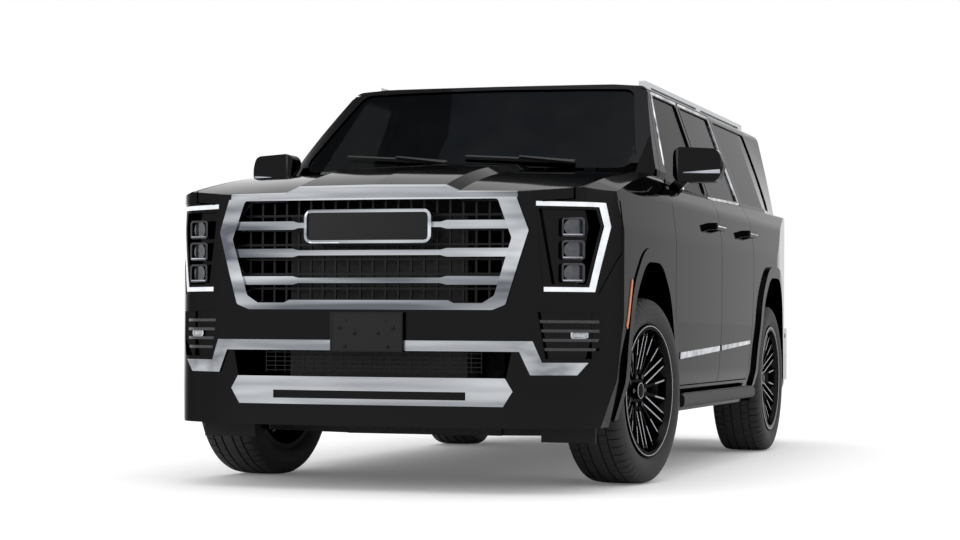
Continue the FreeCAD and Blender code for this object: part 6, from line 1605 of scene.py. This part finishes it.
@dataclass
class Nose:
    """Lamps' inner parts, fog lamps, lower mesh, plate bracket and the rim of the bare plate."""

    # The bare plate on the grille.
    plate_half: float = 0.284
    plate_low: float = 1.047
    plate_top: float = 1.190
    plate_inset: float = 0.001
    plate_corner: float = 0.030
    rim: float = 0.012
    rim_proud: float = 0.004
    rim_sunk: float = 0.006
    # Lower mesh: upright bars on each side of the middle, height where the bumper is read, level bars.
    bars: int = 11
    bar_gap: float = 0.044
    bar_low: float = 0.500
    bar_top: float = 0.596
    bar_probe: float = 0.452
    bar_behind: float = 0.050
    bar: float = 0.0035
    rows: int = 5
    row_low: float = 0.509
    row_gap: float = 0.019
    # The blank plate bracket.
    bracket_low: Pair = (-0.160, 0.592)
    bracket_high: Pair = (0.160, 0.755)
    bracket_probe: float = 0.640
    bracket_corner: float = 0.008
    bracket_edge: float = 0.006
    bracket_proud: float = 0.0022
    bracket_sunk: float = 0.003

    # Height and depth of the mesh's upright and level bars.
    UPRIGHT = (0.003, 0.003)
    LEVEL = (0.004, 0.002)
    # How much nearer to the plate's middle its face is read: share across, share up and a lift.
    PLATE_PROBE = (0.985, 0.96, 0.003)
    PLUGS = (
        (-0.120, 0.690), (0.120, 0.690), (-0.052, 0.668), (0.052, 0.668), (-0.095, 0.612), (0.095, 0.612))
    # Rings of a plug: height over the bracket and radius.
    PLUG_RINGS = ((-0.001, 0.0085), (0.0018, 0.0080),
                                                             (0.0030, 0.0050))
    PLUG_STEPS = 16

    def build(self) -> None:
        """Makes the pieces of the nose."""
        fascia = Surface("front_bumper", "front_trim")
        for side, sign in SIDES:
            HeadLamp().build(side, sign)
            FogLamp().build(fascia, side, sign)
        self._lower_mesh(fascia)
        self._bracket(fascia)
        self._plate_rim(Surface("grille"))

    def _plate_rim(self, grille: Surface) -> None:
        """Bright rim of the bare plate.

        Args:
            grille: Face of the grille.
        """
        inset = self.plate_inset
        wide, tall, lift = self.PLATE_PROBE
        ring = rounded((-self.plate_half + inset, self.plate_low + inset),
                       (self.plate_half - inset, self.plate_top - inset), self.plate_corner)
        middle = grille.front(0.0, self.plate_low + 0.004)
        corners = []
        for x, z in ring:
            hit = grille.front(x * wide, self.plate_low + (z - self.plate_low) * tall + lift)
            corners.append((x, middle.y if hit is None else hit.y, z))
        framed(corners, self.rim, FORWARD, self.rim_proud, self.rim_sunk).piece(
            "emblem_plate_rim", Finishes.CHROME, "body")

    def _lower_mesh(self, fascia: Surface) -> None:
        """Fine mesh in the lower opening.

        Args:
            fascia: Face of the bumper that it stands behind.
        """
        columns = []
        for number in range(-self.bars, self.bars + 1):
            x = number * self.bar_gap
            columns.append((x, fascia.front(x, self.bar_probe).y + self.bar_behind))
        whole = Shape()
        for x, y in columns:
            line = [Vector((x, y, self.bar_low)), Vector((x, y, self.bar_top))]
            whole = whole.joined(ribbon(line, [self.bar] * 2, lambda i: SIDEWAYS, lambda i: FORWARD,
                                        *self.UPRIGHT))
        for number in range(self.rows):
            line = [Vector((x, y, self.row_low + self.row_gap * number)) for x, y in columns]
            whole = whole.joined(ribbon(line, [self.bar] * len(line), lambda i: UP, lambda i: FORWARD,
                                        *self.LEVEL))
        whole.piece("lower_mesh", Finishes.PLASTIC, "body", smooth=False)

    def _bracket(self, fascia: Surface) -> None:
        """Raised edge and plugs of the blank plate bracket.

        Args:
            fascia: Face that the bracket is part of.
        """
        y = fascia.front(0.0, self.bracket_probe).y
        corners = [(x, y, z) for x, z in rounded(self.bracket_low, self.bracket_high, self.bracket_corner)]
        framed(corners, self.bracket_edge, FORWARD, self.bracket_proud, self.bracket_sunk).piece(
            "bracket_edge", Finishes.PLASTIC, "body")
        plugs = Shape()
        for x, z in self.PLUGS:
            plugs.rings([[(x + cosine, y - proud, z + sine) for sine,
                          cosine in circle(radius, self.PLUG_STEPS)]
                         for proud, radius in self.PLUG_RINGS])
        plugs.piece("bracket_plugs", Finishes.GLOSS_BLACK, "body")


@dataclass
class Wipers:
    """Blades and arms on the windshield."""

    blades: tuple[tuple[str, Path], ...] = (
        ("left", ((0.56, 1.470), (0.02, 1.500))), ("right", ((-0.06, 1.474), (-0.60, 1.512))))
    step: float = 0.04
    # How far off the glass a blade lies, then width, height and depth of a blade, and the same of an arm.
    stand: float = 0.006
    blade: Triple = (0.014, 0.010, 0.006)
    arm_widths: Pair = (0.022, 0.012)
    arm_high: Pair = (0.008, 0.004)
    arm_stand: Pair = (0.012, 0.013)
    arm_foot: Triple = (0, -0.01, -0.012)

    # Directions off the windshield and up along it.
    OFF = Vector((0, -0.6, 0.8))
    ALONG = Vector((0, 0.8, 0.6))

    def build(self) -> None:
        """Makes the wipers."""
        screen = Surface("body_glass")
        wide, proud, sunk = self.blade
        for name, path in self.blades:
            hits = [screen.front(p.x, p.y) for p in sampled([(x, z, 0) for x, z in path], self.step)]
            line = [hit + self.OFF * self.stand for hit in hits if hit is not None]
            ribbon(line, [wide] * len(line), lambda i: self.ALONG, lambda i: self.OFF, proud, sunk).piece(
                "wiper_blade_" + name, Finishes.RUBBER, "body")
            foot = line[0] + self.OFF * self.arm_stand[0] + Vector(self.arm_foot)
            arm = [foot, line[len(line) // 2] + self.OFF * self.arm_stand[1]]
            ribbon(arm, self.arm_widths, lambda i: self.ALONG, lambda i: self.OFF, *self.arm_high).piece(
                "wiper_arm_" + name, Finishes.PLASTIC, "body")


@dataclass
class RoofPod:
    """Small pod on the roof."""

    x: float = 0.30
    y: float = 1.55
    half: Pair = (0.030, 0.075)
    high: float = 0.045
    highest: float = 1.9335
    sunk: float = 0.004
    rake: float = 0.025
    steps: int = 20

    # Rings: share of its height and share of its size.
    RINGS = ((0.0, 1.0), (0.35, 0.96), (0.8, 0.78), (1.0, 0.5))

    def build(self) -> None:
        """Makes the pod."""
        y = along(self.y)
        hit = Surface("roof_panel").top(self.x, y)
        foot = hit.z - self.sunk
        tall = min(self.highest, hit.z + self.high) - foot
        wide, long = self.half
        rings = []
        for share, grow in self.RINGS:
            rings.append([(self.x + wide * cosine, y + self.rake * share + long * sine, foot + tall * share)
                          for sine, cosine in circle(grow, self.steps)])
        Shape().rings(rings).piece("roof_pod", Finishes.GLOSS_BLACK, "body", subdivide=1)


@dataclass(frozen=True)
class Strip:
    """A strip laid straight across the tail.

    Attributes:
        start: Where it starts, across and up.
        end: Where it ends.
        widths: Its widths.
        proud: Its height.
        step: Distance between points.
    """

    start: Pair
    end: Pair
    widths: Pair
    proud: float
    step: float

    def on(self, surface: Surface, sign: int = 1) -> Shape:
        """Lays the strip.

        Args:
            surface: What it lies on.
            sign: -1 to lay its mirror image.

        Returns:
            The strip.
        """
        path = [(sign * x, z) for x, z in (self.start, self.end)]
        return faced(surface, path, self.widths, self.proud, self.step, back=True)


@dataclass
class Tail:
    """Bright line, plate lamps, lamp lines and reflectors of the tail."""

    gate_line: Strip = Strip((-0.56, 1.112), (0.56, 1.112), (0.030, 0.030), 0.007, 0.04)
    plate_lamps: Strip = Strip((-0.235, 1.066), (0.235, 1.066), (0.016, 0.016), 0.006, 0.04)
    reflector: Strip = Strip((0.60, 0.52), (0.84, 0.52), (0.028, 0.028), 0.004, 0.02)
    bars: Triple = (0.98, 1.09, 1.20)
    bar_ends: Pair = (0.83, 0.99)
    # Width, height and distance between points.
    bar: Triple = (0.008, 0.003, 0.02)
    guides: Pair = (0.824, 0.846)
    guide_ends: Pair = (0.935, 1.300)
    guide: Triple = (0.007, 0.004, 0.03)

    def build(self) -> None:
        """Makes the pieces of the tail."""
        gate = Surface("liftgate")
        self.gate_line.on(gate).piece("gate_line", Finishes.CHROME, "liftgate")
        self.plate_lamps.on(gate).piece("plate_lamps", Finishes.PLASTIC, "liftgate")
        lamps, bumper = Surface("tail_lamps"), Surface("rear_bumper")
        for side, sign in SIDES:
            bars, guides = Shape(), Shape()
            wide, proud, step = self.bar
            for z in self.bars:
                ends = [(x, z) for x in self.bar_ends]
                bars = bars.joined(Strip(*ends, (wide, wide), proud, step).on(lamps, sign))
            bars.piece("tail_lamp_lines_" + side, Finishes.GLOSS_BLACK)
            wide, proud, step = self.guide
            for x in self.guides:
                ends = [(x, z) for z in self.guide_ends]
                guides = guides.joined(Strip(*ends, (wide, wide), proud, step).on(lamps, sign))
            guides.piece("tail_lamp_guides_" + side, Finishes.RED_GUIDE)
            self.reflector.on(bumper, sign).piece("rear_reflector_" + side, Finishes.RED_LENS)


@dataclass(frozen=True)
class Screen:
    """A dark screen on the dashboard."""

    name: str
    x: float
    half: float
    low: float
    top: float


@dataclass
class CabinFittings:
    """Screens, vents and inner mirror of the cabin."""

    rear: float = 0.880
    screens: tuple[Screen, ...] = (Screen("middle_screen", 0.0, 0.170, 1.030, 1.215),
                                   Screen("dial_screen", 0.400, 0.160, 1.095, 1.205))
    screen_corner: float = 0.016
    rim: float = 0.006
    rim_ahead: float = 0.012
    rim_proud: float = 0.004
    rim_sunk: float = 0.006
    mirror_half: float = 0.120
    mirror_ends: Pair = (1.770, 1.835)
    mirror_y: float = 0.815
    mirror_corner: float = 0.026
    vents: tuple[float, ...] = (-0.66, -0.25, 0.23, 0.66)
    vent_half: float = 0.07
    vent_low: float = 0.965
    blades: int = 4
    blade_gap: float = 0.018
    blade: float = 0.010
    blade_proud: float = 0.006
    blade_sunk: float = 0.003

    # Rings: depth behind the place and share of the size.
    SCREEN_RINGS = ((-0.006, 1.0), (0.012, 1.0), (0.015, 0.97))
    MIRROR_RINGS = (
        (-0.010, 0.80), (-0.004, 0.97), (0.012, 1.0), (0.014, 0.97))
    BLADE_TILT = Vector((0, 0.5, 1))

    def build(self) -> None:
        """Makes the fittings."""
        y = along(self.rear)
        for screen in self.screens:
            ring = rounded((screen.x - screen.half, screen.low), (screen.x + screen.half, screen.top),
                           self.screen_corner)
            middle = (screen.x, (screen.low + screen.top) / 2)
            self._slab(ring, middle, y, self.SCREEN_RINGS).piece(screen.name, Finishes.GLOSS_BLACK, "body")
            corners = [(x, y + self.rim_ahead, z) for x, z in ring]
            framed(corners, self.rim, BACKWARD, self.rim_proud, self.rim_sunk).piece(
                screen.name + "_rim", Finishes.DARK_METAL, "body")
        low, top = self.mirror_ends
        ring = rounded((-self.mirror_half, low), (self.mirror_half, top), self.mirror_corner)
        self._slab(ring, (0.0, (low + top) / 2), along(self.mirror_y), self.MIRROR_RINGS).piece(
            "inner_mirror", Finishes.CABIN, "body")
        self._vents(y)

    def _slab(self, ring: Sequence[Pair], middle: Pair, y: float, rings: Sequence[Pair]) -> Shape:
        """Flat body with an outline across the vehicle.

        Args:
            ring: Its outline, across and up.
            middle: Middle of the outline.
            y: Its place.
            rings: Depth behind the place and share of the outline, ring by ring.

        Returns:
            The body.
        """
        across, up = middle
        return Shape().rings([[(across + (x - across) * share, y + depth, up + (z - up) * share) for x,
                               z in ring]
                              for depth, share in rings])

    def _vents(self, y: float) -> None:
        """Blades of the air vents.

        Args:
            y: Rear face of the dashboard.
        """
        vents = Shape()
        for middle in self.vents:
            for number in range(self.blades):
                z = self.vent_low + self.blade_gap * number
                line = [Vector((middle + shift, y, z)) for shift in (-self.vent_half, 0.0, self.vent_half)]
                vents = vents.joined(ribbon(line, [self.blade] * len(line), lambda i: self.BLADE_TILT,
                                            lambda i: BACKWARD, self.blade_proud, self.blade_sunk))
        vents.piece("air_vents", Finishes.GLOSS_BLACK, "body", smooth=False)


# Carried nodes


ANYWHERE = (-math.inf, math.inf)


@dataclass(frozen=True)
class Zone:
    """Part of a carried node that wears another finish.

    Attributes:
        finish: Its finish.
        x: Limits of the distance from the vehicle's middle.
        y: Limits along the vehicle.
        z: Limits of the height.
        facing: Direction that its faces look in, or None for any.
        share: Least share of their normal in that direction.
    """

    finish: Finish
    x: Pair = ANYWHERE
    y: Pair = ANYWHERE
    z: Pair = ANYWHERE
    facing: Vector | None = None
    share: float = 0.0

    def holds(self, place: Vector, normal: Vector) -> bool:
        """Whether a face is part of it.

        Args:
            place: Centre of the face.
            normal: Its normal.

        Returns:
            Whether it is.
        """
        limits = ((abs(place.x), self.x), (place.y, self.y), (place.z, self.z))
        inside = all(low < value < high for value, (low, high) in limits)
        return inside and (self.facing is None or normal.dot(self.facing) > self.share)


@dataclass(frozen=True)
class StepZone(Zone):
    """Zone of faces that either lie under its upper limit or look its way."""

    def holds(self, place: Vector, normal: Vector) -> bool:
        """Whether a face at a place and with a normal is part of it."""
        return place.z < self.z[1] or normal.dot(self.facing) > self.share


@dataclass(frozen=True)
class DiscZone(Zone):
    """Round faces of a brake disc.

    Attributes:
        centre: Wheel centre from above.
        turn: Steering angle of its axis.
        radii: Inner and outer radius.
    """

    centre: Pair = (0.0, 0.0)
    turn: float = 0.0
    radii: Pair = (0.085, 0.162)

    def holds(self, place: Vector, normal: Vector) -> bool:
        """Whether a face is part of it.

        Args:
            place: Centre of the face.
            normal: Its normal.

        Returns:
            Whether it is.
        """
        axis = (math.cos(self.turn), -math.sin(self.turn))
        across = abs((place.x - self.centre[0]) * axis[1] - (place.y - self.centre[1]) * axis[0])
        radius = math.hypot(across, place.z - TYRE_RADIUS)
        facing = abs(normal.x * axis[0] + normal.y * axis[1])
        return facing > self.share and self.radii[0] < radius < self.radii[1] and abs(place.x) > self.x[0]


class Body:
    """Finishes of the carried nodes."""

    # How far the steering at rest moves a front wheel's centre along the vehicle.
    STEER_SHIFT = 0.010
    # Finish that covers each node, before its zones.
    PLAIN: dict[str, Finish] = {
        "chassis_frame": Finishes.FRAME,
        "floor_pan": Finishes.FLOOR_PAINT,
        "side_frames": Finishes.PAINT,
        "roof_panel": Finishes.PAINT,
        "fenders": Finishes.PAINT,
        "front_bumper": Finishes.GLOSS_BLACK,
        "grille": Finishes.CHROME,
        "grille_mesh": Finishes.MESH,
        "headlamps": Finishes.GLOSS_BLACK,
        "lamp_lights": Finishes.WHITE_LIGHT,
        "front_trim": Finishes.SATIN,
        "rear_bumper": Finishes.PAINT,
        "tail_lamps": Finishes.RED_LENS,
        "body_glass": Finishes.DARK_GLASS,
        "roof_rails": Finishes.RAIL,
        "running_boards": Finishes.PLASTIC,
        "underbody": Finishes.STEEL,
        "engine_block": Finishes.STEEL,
        "front_suspension": Finishes.STEEL,
        "rear_axle": Finishes.STEEL,
        "dashboard": Finishes.CABIN,
        "front_seats": Finishes.LEATHER,
        "rear_seats": Finishes.LEATHER,
        "hood": Finishes.PAINT,
        "liftgate": Finishes.PAINT,
        "liftgate_glass": Finishes.DARK_GLASS,
        **{"door_" + corner: Finishes.PAINT for corner in CORNERS},
        **{"door_glass_" + corner: Finishes.DARK_GLASS for corner in CORNERS},
        **{"knuckle_" + side: Finishes.STEEL for side, _ in SIDES},
        **{"tyre_" + corner: Finishes.RUBBER for corner in CORNERS},
        **{"rim_" + corner: Finishes.WHEEL_BLACK for corner in CORNERS},
        "steering_wheel": Finishes.CABIN,
    }

    def __init__(self) -> None:
        """Sets the zones of nodes that wear more than one finish."""
        plastic = Finishes.PLASTIC
        self.zones: dict[str, list[Zone]] = {
            "body_glass": [Zone(Finishes.SCREEN, x=(-1, 0.80), y=(-math.inf, 0.6))],
            "grille": [Zone(Finishes.BADGE_BLACK, x=(-1, 0.270), z=(1.060, 1.178), facing=FORWARD,
                            share=0.5)],
            "lamp_lights": [Zone(Finishes.MODULE, x=(-1, 0.893), z=(0.886, 1.165))],
            "front_trim": [Zone(Finishes.DARK_METAL, x=(0.752, math.inf), z=(0.556, math.inf))],
            "front_bumper": [Zone(plastic, x=(-1, 0.166), z=(0.588, 0.759), facing=FORWARD, share=0.3),
                             Zone(plastic, z=(-1, 0.300))],
            "rear_bumper": [StepZone(plastic, z=(-1, 0.44), facing=UP, share=0.9)],
            "liftgate": [Zone(Finishes.CABIN, z=(-1, 1.3), facing=FORWARD, share=0.4)],
            "rear_axle": [self._disc((WHEEL_X, REAR_AXLE), 0.0)],
        }
        for side, sign in SIDES:
            inner = Zone(Finishes.CABIN, x=(-1, 0.95), facing=SIDEWAYS * -sign, share=0.4)
            self.zones["door_front_" + side] = self.zones["door_rear_" + side] = [inner]
            self.zones["door_glass_front_" + side] = [Zone(Finishes.SCREEN)]
            centre = (sign * WHEEL_X, FRONT_AXLE - sign * self.STEER_SHIFT)
            self.zones["knuckle_" + side] = [self._disc(centre, STEER_AT_REST)]

    def _disc(self, centre: Pair, turn: float) -> DiscZone:
        """Zone of a wheel's disc.

        Args:
            centre: Wheel centre from above.
            turn: Steering angle of its axis.

        Returns:
            The zone.
        """
        return DiscZone(Finishes.DISC, x=(0.70, math.inf), share=0.8, centre=centre, turn=turn)

    def dress(self) -> None:
        """Gives every carried node its finish."""
        for name, finish in self.PLAIN.items():
            self._finish(name, finish, self.zones.get(name, []))
        LOG.info("dressed %d carried nodes", len(self.PLAIN))

    def _finish(self, name: str, finish: Finish, zones: Sequence[Zone]) -> None:
        """Assigns a finish, and those of its zones.

        Args:
            name: Node name.
            finish: Finish of the node.
            zones: Parts of it that wear another one.
        """
        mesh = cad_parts[name].data
        mesh.materials.clear()
        mesh.materials.append(finish.material())
        for polygon in mesh.polygons:
            polygon.material_index = 0
        for number, zone in enumerate(zones, 1):
            mesh.materials.append(zone.finish.material())
            for polygon in mesh.polygons:
                if zone.holds(polygon.center, polygon.normal):
                    polygon.material_index = number


# View and studio


@dataclass
class Studio:
    """Pale studio with soft light."""

    # Camera: place, turn and tilt in degrees, roll in radians, lens and sensor in millimetres.
    camera_at: Triple = (3.29549, -11.73311, 0.68648)
    yaw: float = 17.1445
    pitch: float = 1.4892
    roll: float = -0.006067
    lens: float = 85.88
    sensor: float = 36.0
    far: float = 200.0
    # Level of the backdrop, and of the soft light that falls from everywhere.
    white: float = 1.0
    level: float = 0.95
    # Floor: grey level, roughness, flecks, own light that only the camera sees, and its ends.
    floor: float = 0.97
    floor_rough: float = 0.95
    floor_dip: float = 0.995
    floor_grain: float = 40.0
    floor_lift: float = 0.10
    floor_ends: Path = ((-40, 40), (-40, 60))

    # Soft lights: name, place, what it points at, width and height, power in watts.
    PANELS = (
        ("light_top", (0, -0.5, 7.5), (0, 0, 0), (5, 9), 160),
        ("light_front", (-4.5, -9.5, 3.2), (0, -2.4, 0.8), (4.0, 2.2), 90),
        ("light_side", (8.5, -1.5, 2.6), (0.9, 0, 0.9), (7, 1.2), 60),
    )

    def build(self) -> None:
        """Makes camera, floor, lights and backdrop."""
        scene = bpy.context.scene
        scene.view_settings.view_transform = "Standard"
        self._camera(scene)
        self._lay_floor()
        for panel in self.PANELS:
            self._panel(*panel)
        self._world(scene)

    def _camera(self, scene: bpy.types.Scene) -> None:
        """Sets the camera of the photograph.

        Args:
            scene: Scene to set.
        """
        yaw, pitch = math.radians(self.yaw), math.radians(self.pitch)
        ahead = Vector((-math.sin(yaw) * math.cos(pitch), math.cos(yaw) * math.cos(pitch), math.sin(pitch)))
        right = Vector((math.cos(yaw), math.sin(yaw), 0))
        up = right.cross(ahead)
        cos, sin = math.cos(self.roll), math.sin(self.roll)
        across, above = right * cos - up * sin, right * sin + up * cos
        data = bpy.data.cameras.new("camera")
        data.lens = self.lens
        data.sensor_width = self.sensor
        data.clip_end = self.far
        camera = bpy.data.objects.new("camera", data)
        turn = Matrix((across, above, -ahead)).transposed().to_4x4()
        camera.matrix_world = Matrix.Translation(self.camera_at) @ turn
        scene.collection.objects.link(camera)
        scene.camera = camera

    def _floor_material(self) -> bpy.types.Material:
        """Makes the floor's material.

        Returns:
            The material.
        """
        made = bpy.data.materials.new("studio_floor")
        made.use_nodes = True
        tree = made.node_tree
        shader = tree.nodes["Principled BSDF"]
        shader.inputs["Roughness"].default_value = self.floor_rough
        noise = tree.nodes.new("ShaderNodeTexNoise")
        noise.inputs["Scale"].default_value = self.floor_grain
        ramp = tree.nodes.new("ShaderNodeValToRGB")
        for stop, grey in zip(ramp.color_ramp.elements, (self.floor * self.floor_dip, self.floor)):
            stop.color = (grey, grey, grey, 1)
        tree.links.new(noise.outputs["Fac"], ramp.inputs["Fac"])
        tree.links.new(ramp.outputs["Color"], shader.inputs["Base Color"])
        rays = tree.nodes.new("ShaderNodeLightPath")
        lift = tree.nodes.new("ShaderNodeMath")
        lift.operation = "MULTIPLY"
        lift.inputs[1].default_value = self.floor_lift
        tree.links.new(rays.outputs["Is Camera Ray"], lift.inputs[0])
        shader.inputs["Emission Color"].default_value = (1, 1, 1, 1)
        tree.links.new(lift.outputs[0], shader.inputs["Emission Strength"])
        return made

    def _lay_floor(self) -> None:
        """Lays the pale floor."""
        (left, right), (near, far) = self.floor_ends
        mesh = bpy.data.meshes.new("studio_floor")
        mesh.from_pydata([(left, near, 0), (right, near, 0), (right, far, 0), (left, far, 0)], [],
                         [(0, 1, 2, 3)])
        floor = bpy.data.objects.new("studio_floor", mesh)
        bpy.context.scene.collection.objects.link(floor)
        mesh.materials.append(self._floor_material())

    def _panel(self, name: str, place: Sequence[float], aim: Sequence[float], size: Pair,
               power: float) -> None:
        """Hangs a soft light.

        Args:
            name: Light name.
            place: Where it hangs.
            aim: What it points at.
            size: Width and height.
            power: Power in watts.
        """
        data = bpy.data.lights.new(name, "AREA")
        data.shape = "RECTANGLE"
        data.size, data.size_y = size
        data.energy = power
        light = bpy.data.objects.new(name, data)
        light.location = place
        light.rotation_euler = (Vector(aim) - Vector(place)).to_track_quat("-Z", "Y").to_euler()
        bpy.context.scene.collection.objects.link(light)

    def _world(self, scene: bpy.types.Scene) -> None:
        """Sets a white backdrop and a level light.

        Args:
            scene: Scene to set.
        """
        world = bpy.data.worlds.new("studio_world")
        scene.world = world
        world.use_nodes = True
        tree = world.node_tree
        tree.nodes.clear()
        output = tree.nodes.new("ShaderNodeOutputWorld")
        rays = tree.nodes.new("ShaderNodeLightPath")
        seen = self._level(tree, self.white)
        soft = self._level(tree, self.level)
        mix = tree.nodes.new("ShaderNodeMixShader")
        straight = self._either(tree, rays.outputs["Is Camera Ray"], rays.outputs["Is Transmission Ray"])
        shown = self._either(tree, straight, rays.outputs["Is Glossy Ray"])
        tree.links.new(shown, mix.inputs["Fac"])
        tree.links.new(soft.outputs["Background"], mix.inputs[1])
        tree.links.new(seen.outputs["Background"], mix.inputs[2])
        tree.links.new(mix.outputs["Shader"], output.inputs["Surface"])

    def _level(self, tree: bpy.types.NodeTree, grey: float) -> bpy.types.Node:
        """Makes a background of one grey level.

        Args:
            tree: Node tree of the world.
            grey: Grey level.

        Returns:
            The background node.
        """
        made = tree.nodes.new("ShaderNodeBackground")
        made.inputs["Color"].default_value = (grey, grey, grey, 1)
        made.inputs["Strength"].default_value = 1.0
        return made

    def _either(self, tree: bpy.types.NodeTree, one: bpy.types.NodeSocket,
                other: bpy.types.NodeSocket) -> bpy.types.NodeSocket:
        """Joins two yes-or-no sockets.

        Args:
            tree: Node tree of the world.
            one: First socket.
            other: Second socket.

        Returns:
            A socket that is one where either is.
        """
        most = tree.nodes.new("ShaderNodeMath")
        most.operation = "MAXIMUM"
        tree.links.new(one, most.inputs[0])
        tree.links.new(other, most.inputs[1])
        return most.outputs[0]


def main() -> None:
    """Builds the scene in order."""
    logging.basicConfig(level=logging.INFO, format="%(name)s: %(message)s")
    Body().dress()
    turn = -STEER_AT_REST
    reach = WHEEL_X - STEER_PIVOT_X
    across, back = STEER_PIVOT_X + reach * math.cos(turn), reach * math.sin(turn)
    wheels = [
        RoadWheel("front_left", (across, FRONT_AXLE + back, TYRE_RADIUS), turn, 1),
        RoadWheel("front_right", (-across, FRONT_AXLE - back, TYRE_RADIUS), turn, -1),
        RoadWheel("rear_left", (WHEEL_X, REAR_AXLE, TYRE_RADIUS), 0.0, 1),
        RoadWheel("rear_right", (-WHEEL_X, REAR_AXLE, TYRE_RADIUS), 0.0, -1),
    ]
    for wheel in wheels:
        wheel.build()
    Brakes().build(wheels)
    Cabin().build()
    CabinFittings().build()
    SideTrim().build()
    Nose().build()
    Wipers().build()
    RoofPod().build()
    Tail().build()
    Studio().build()


if __name__ == "__main__":
    main()
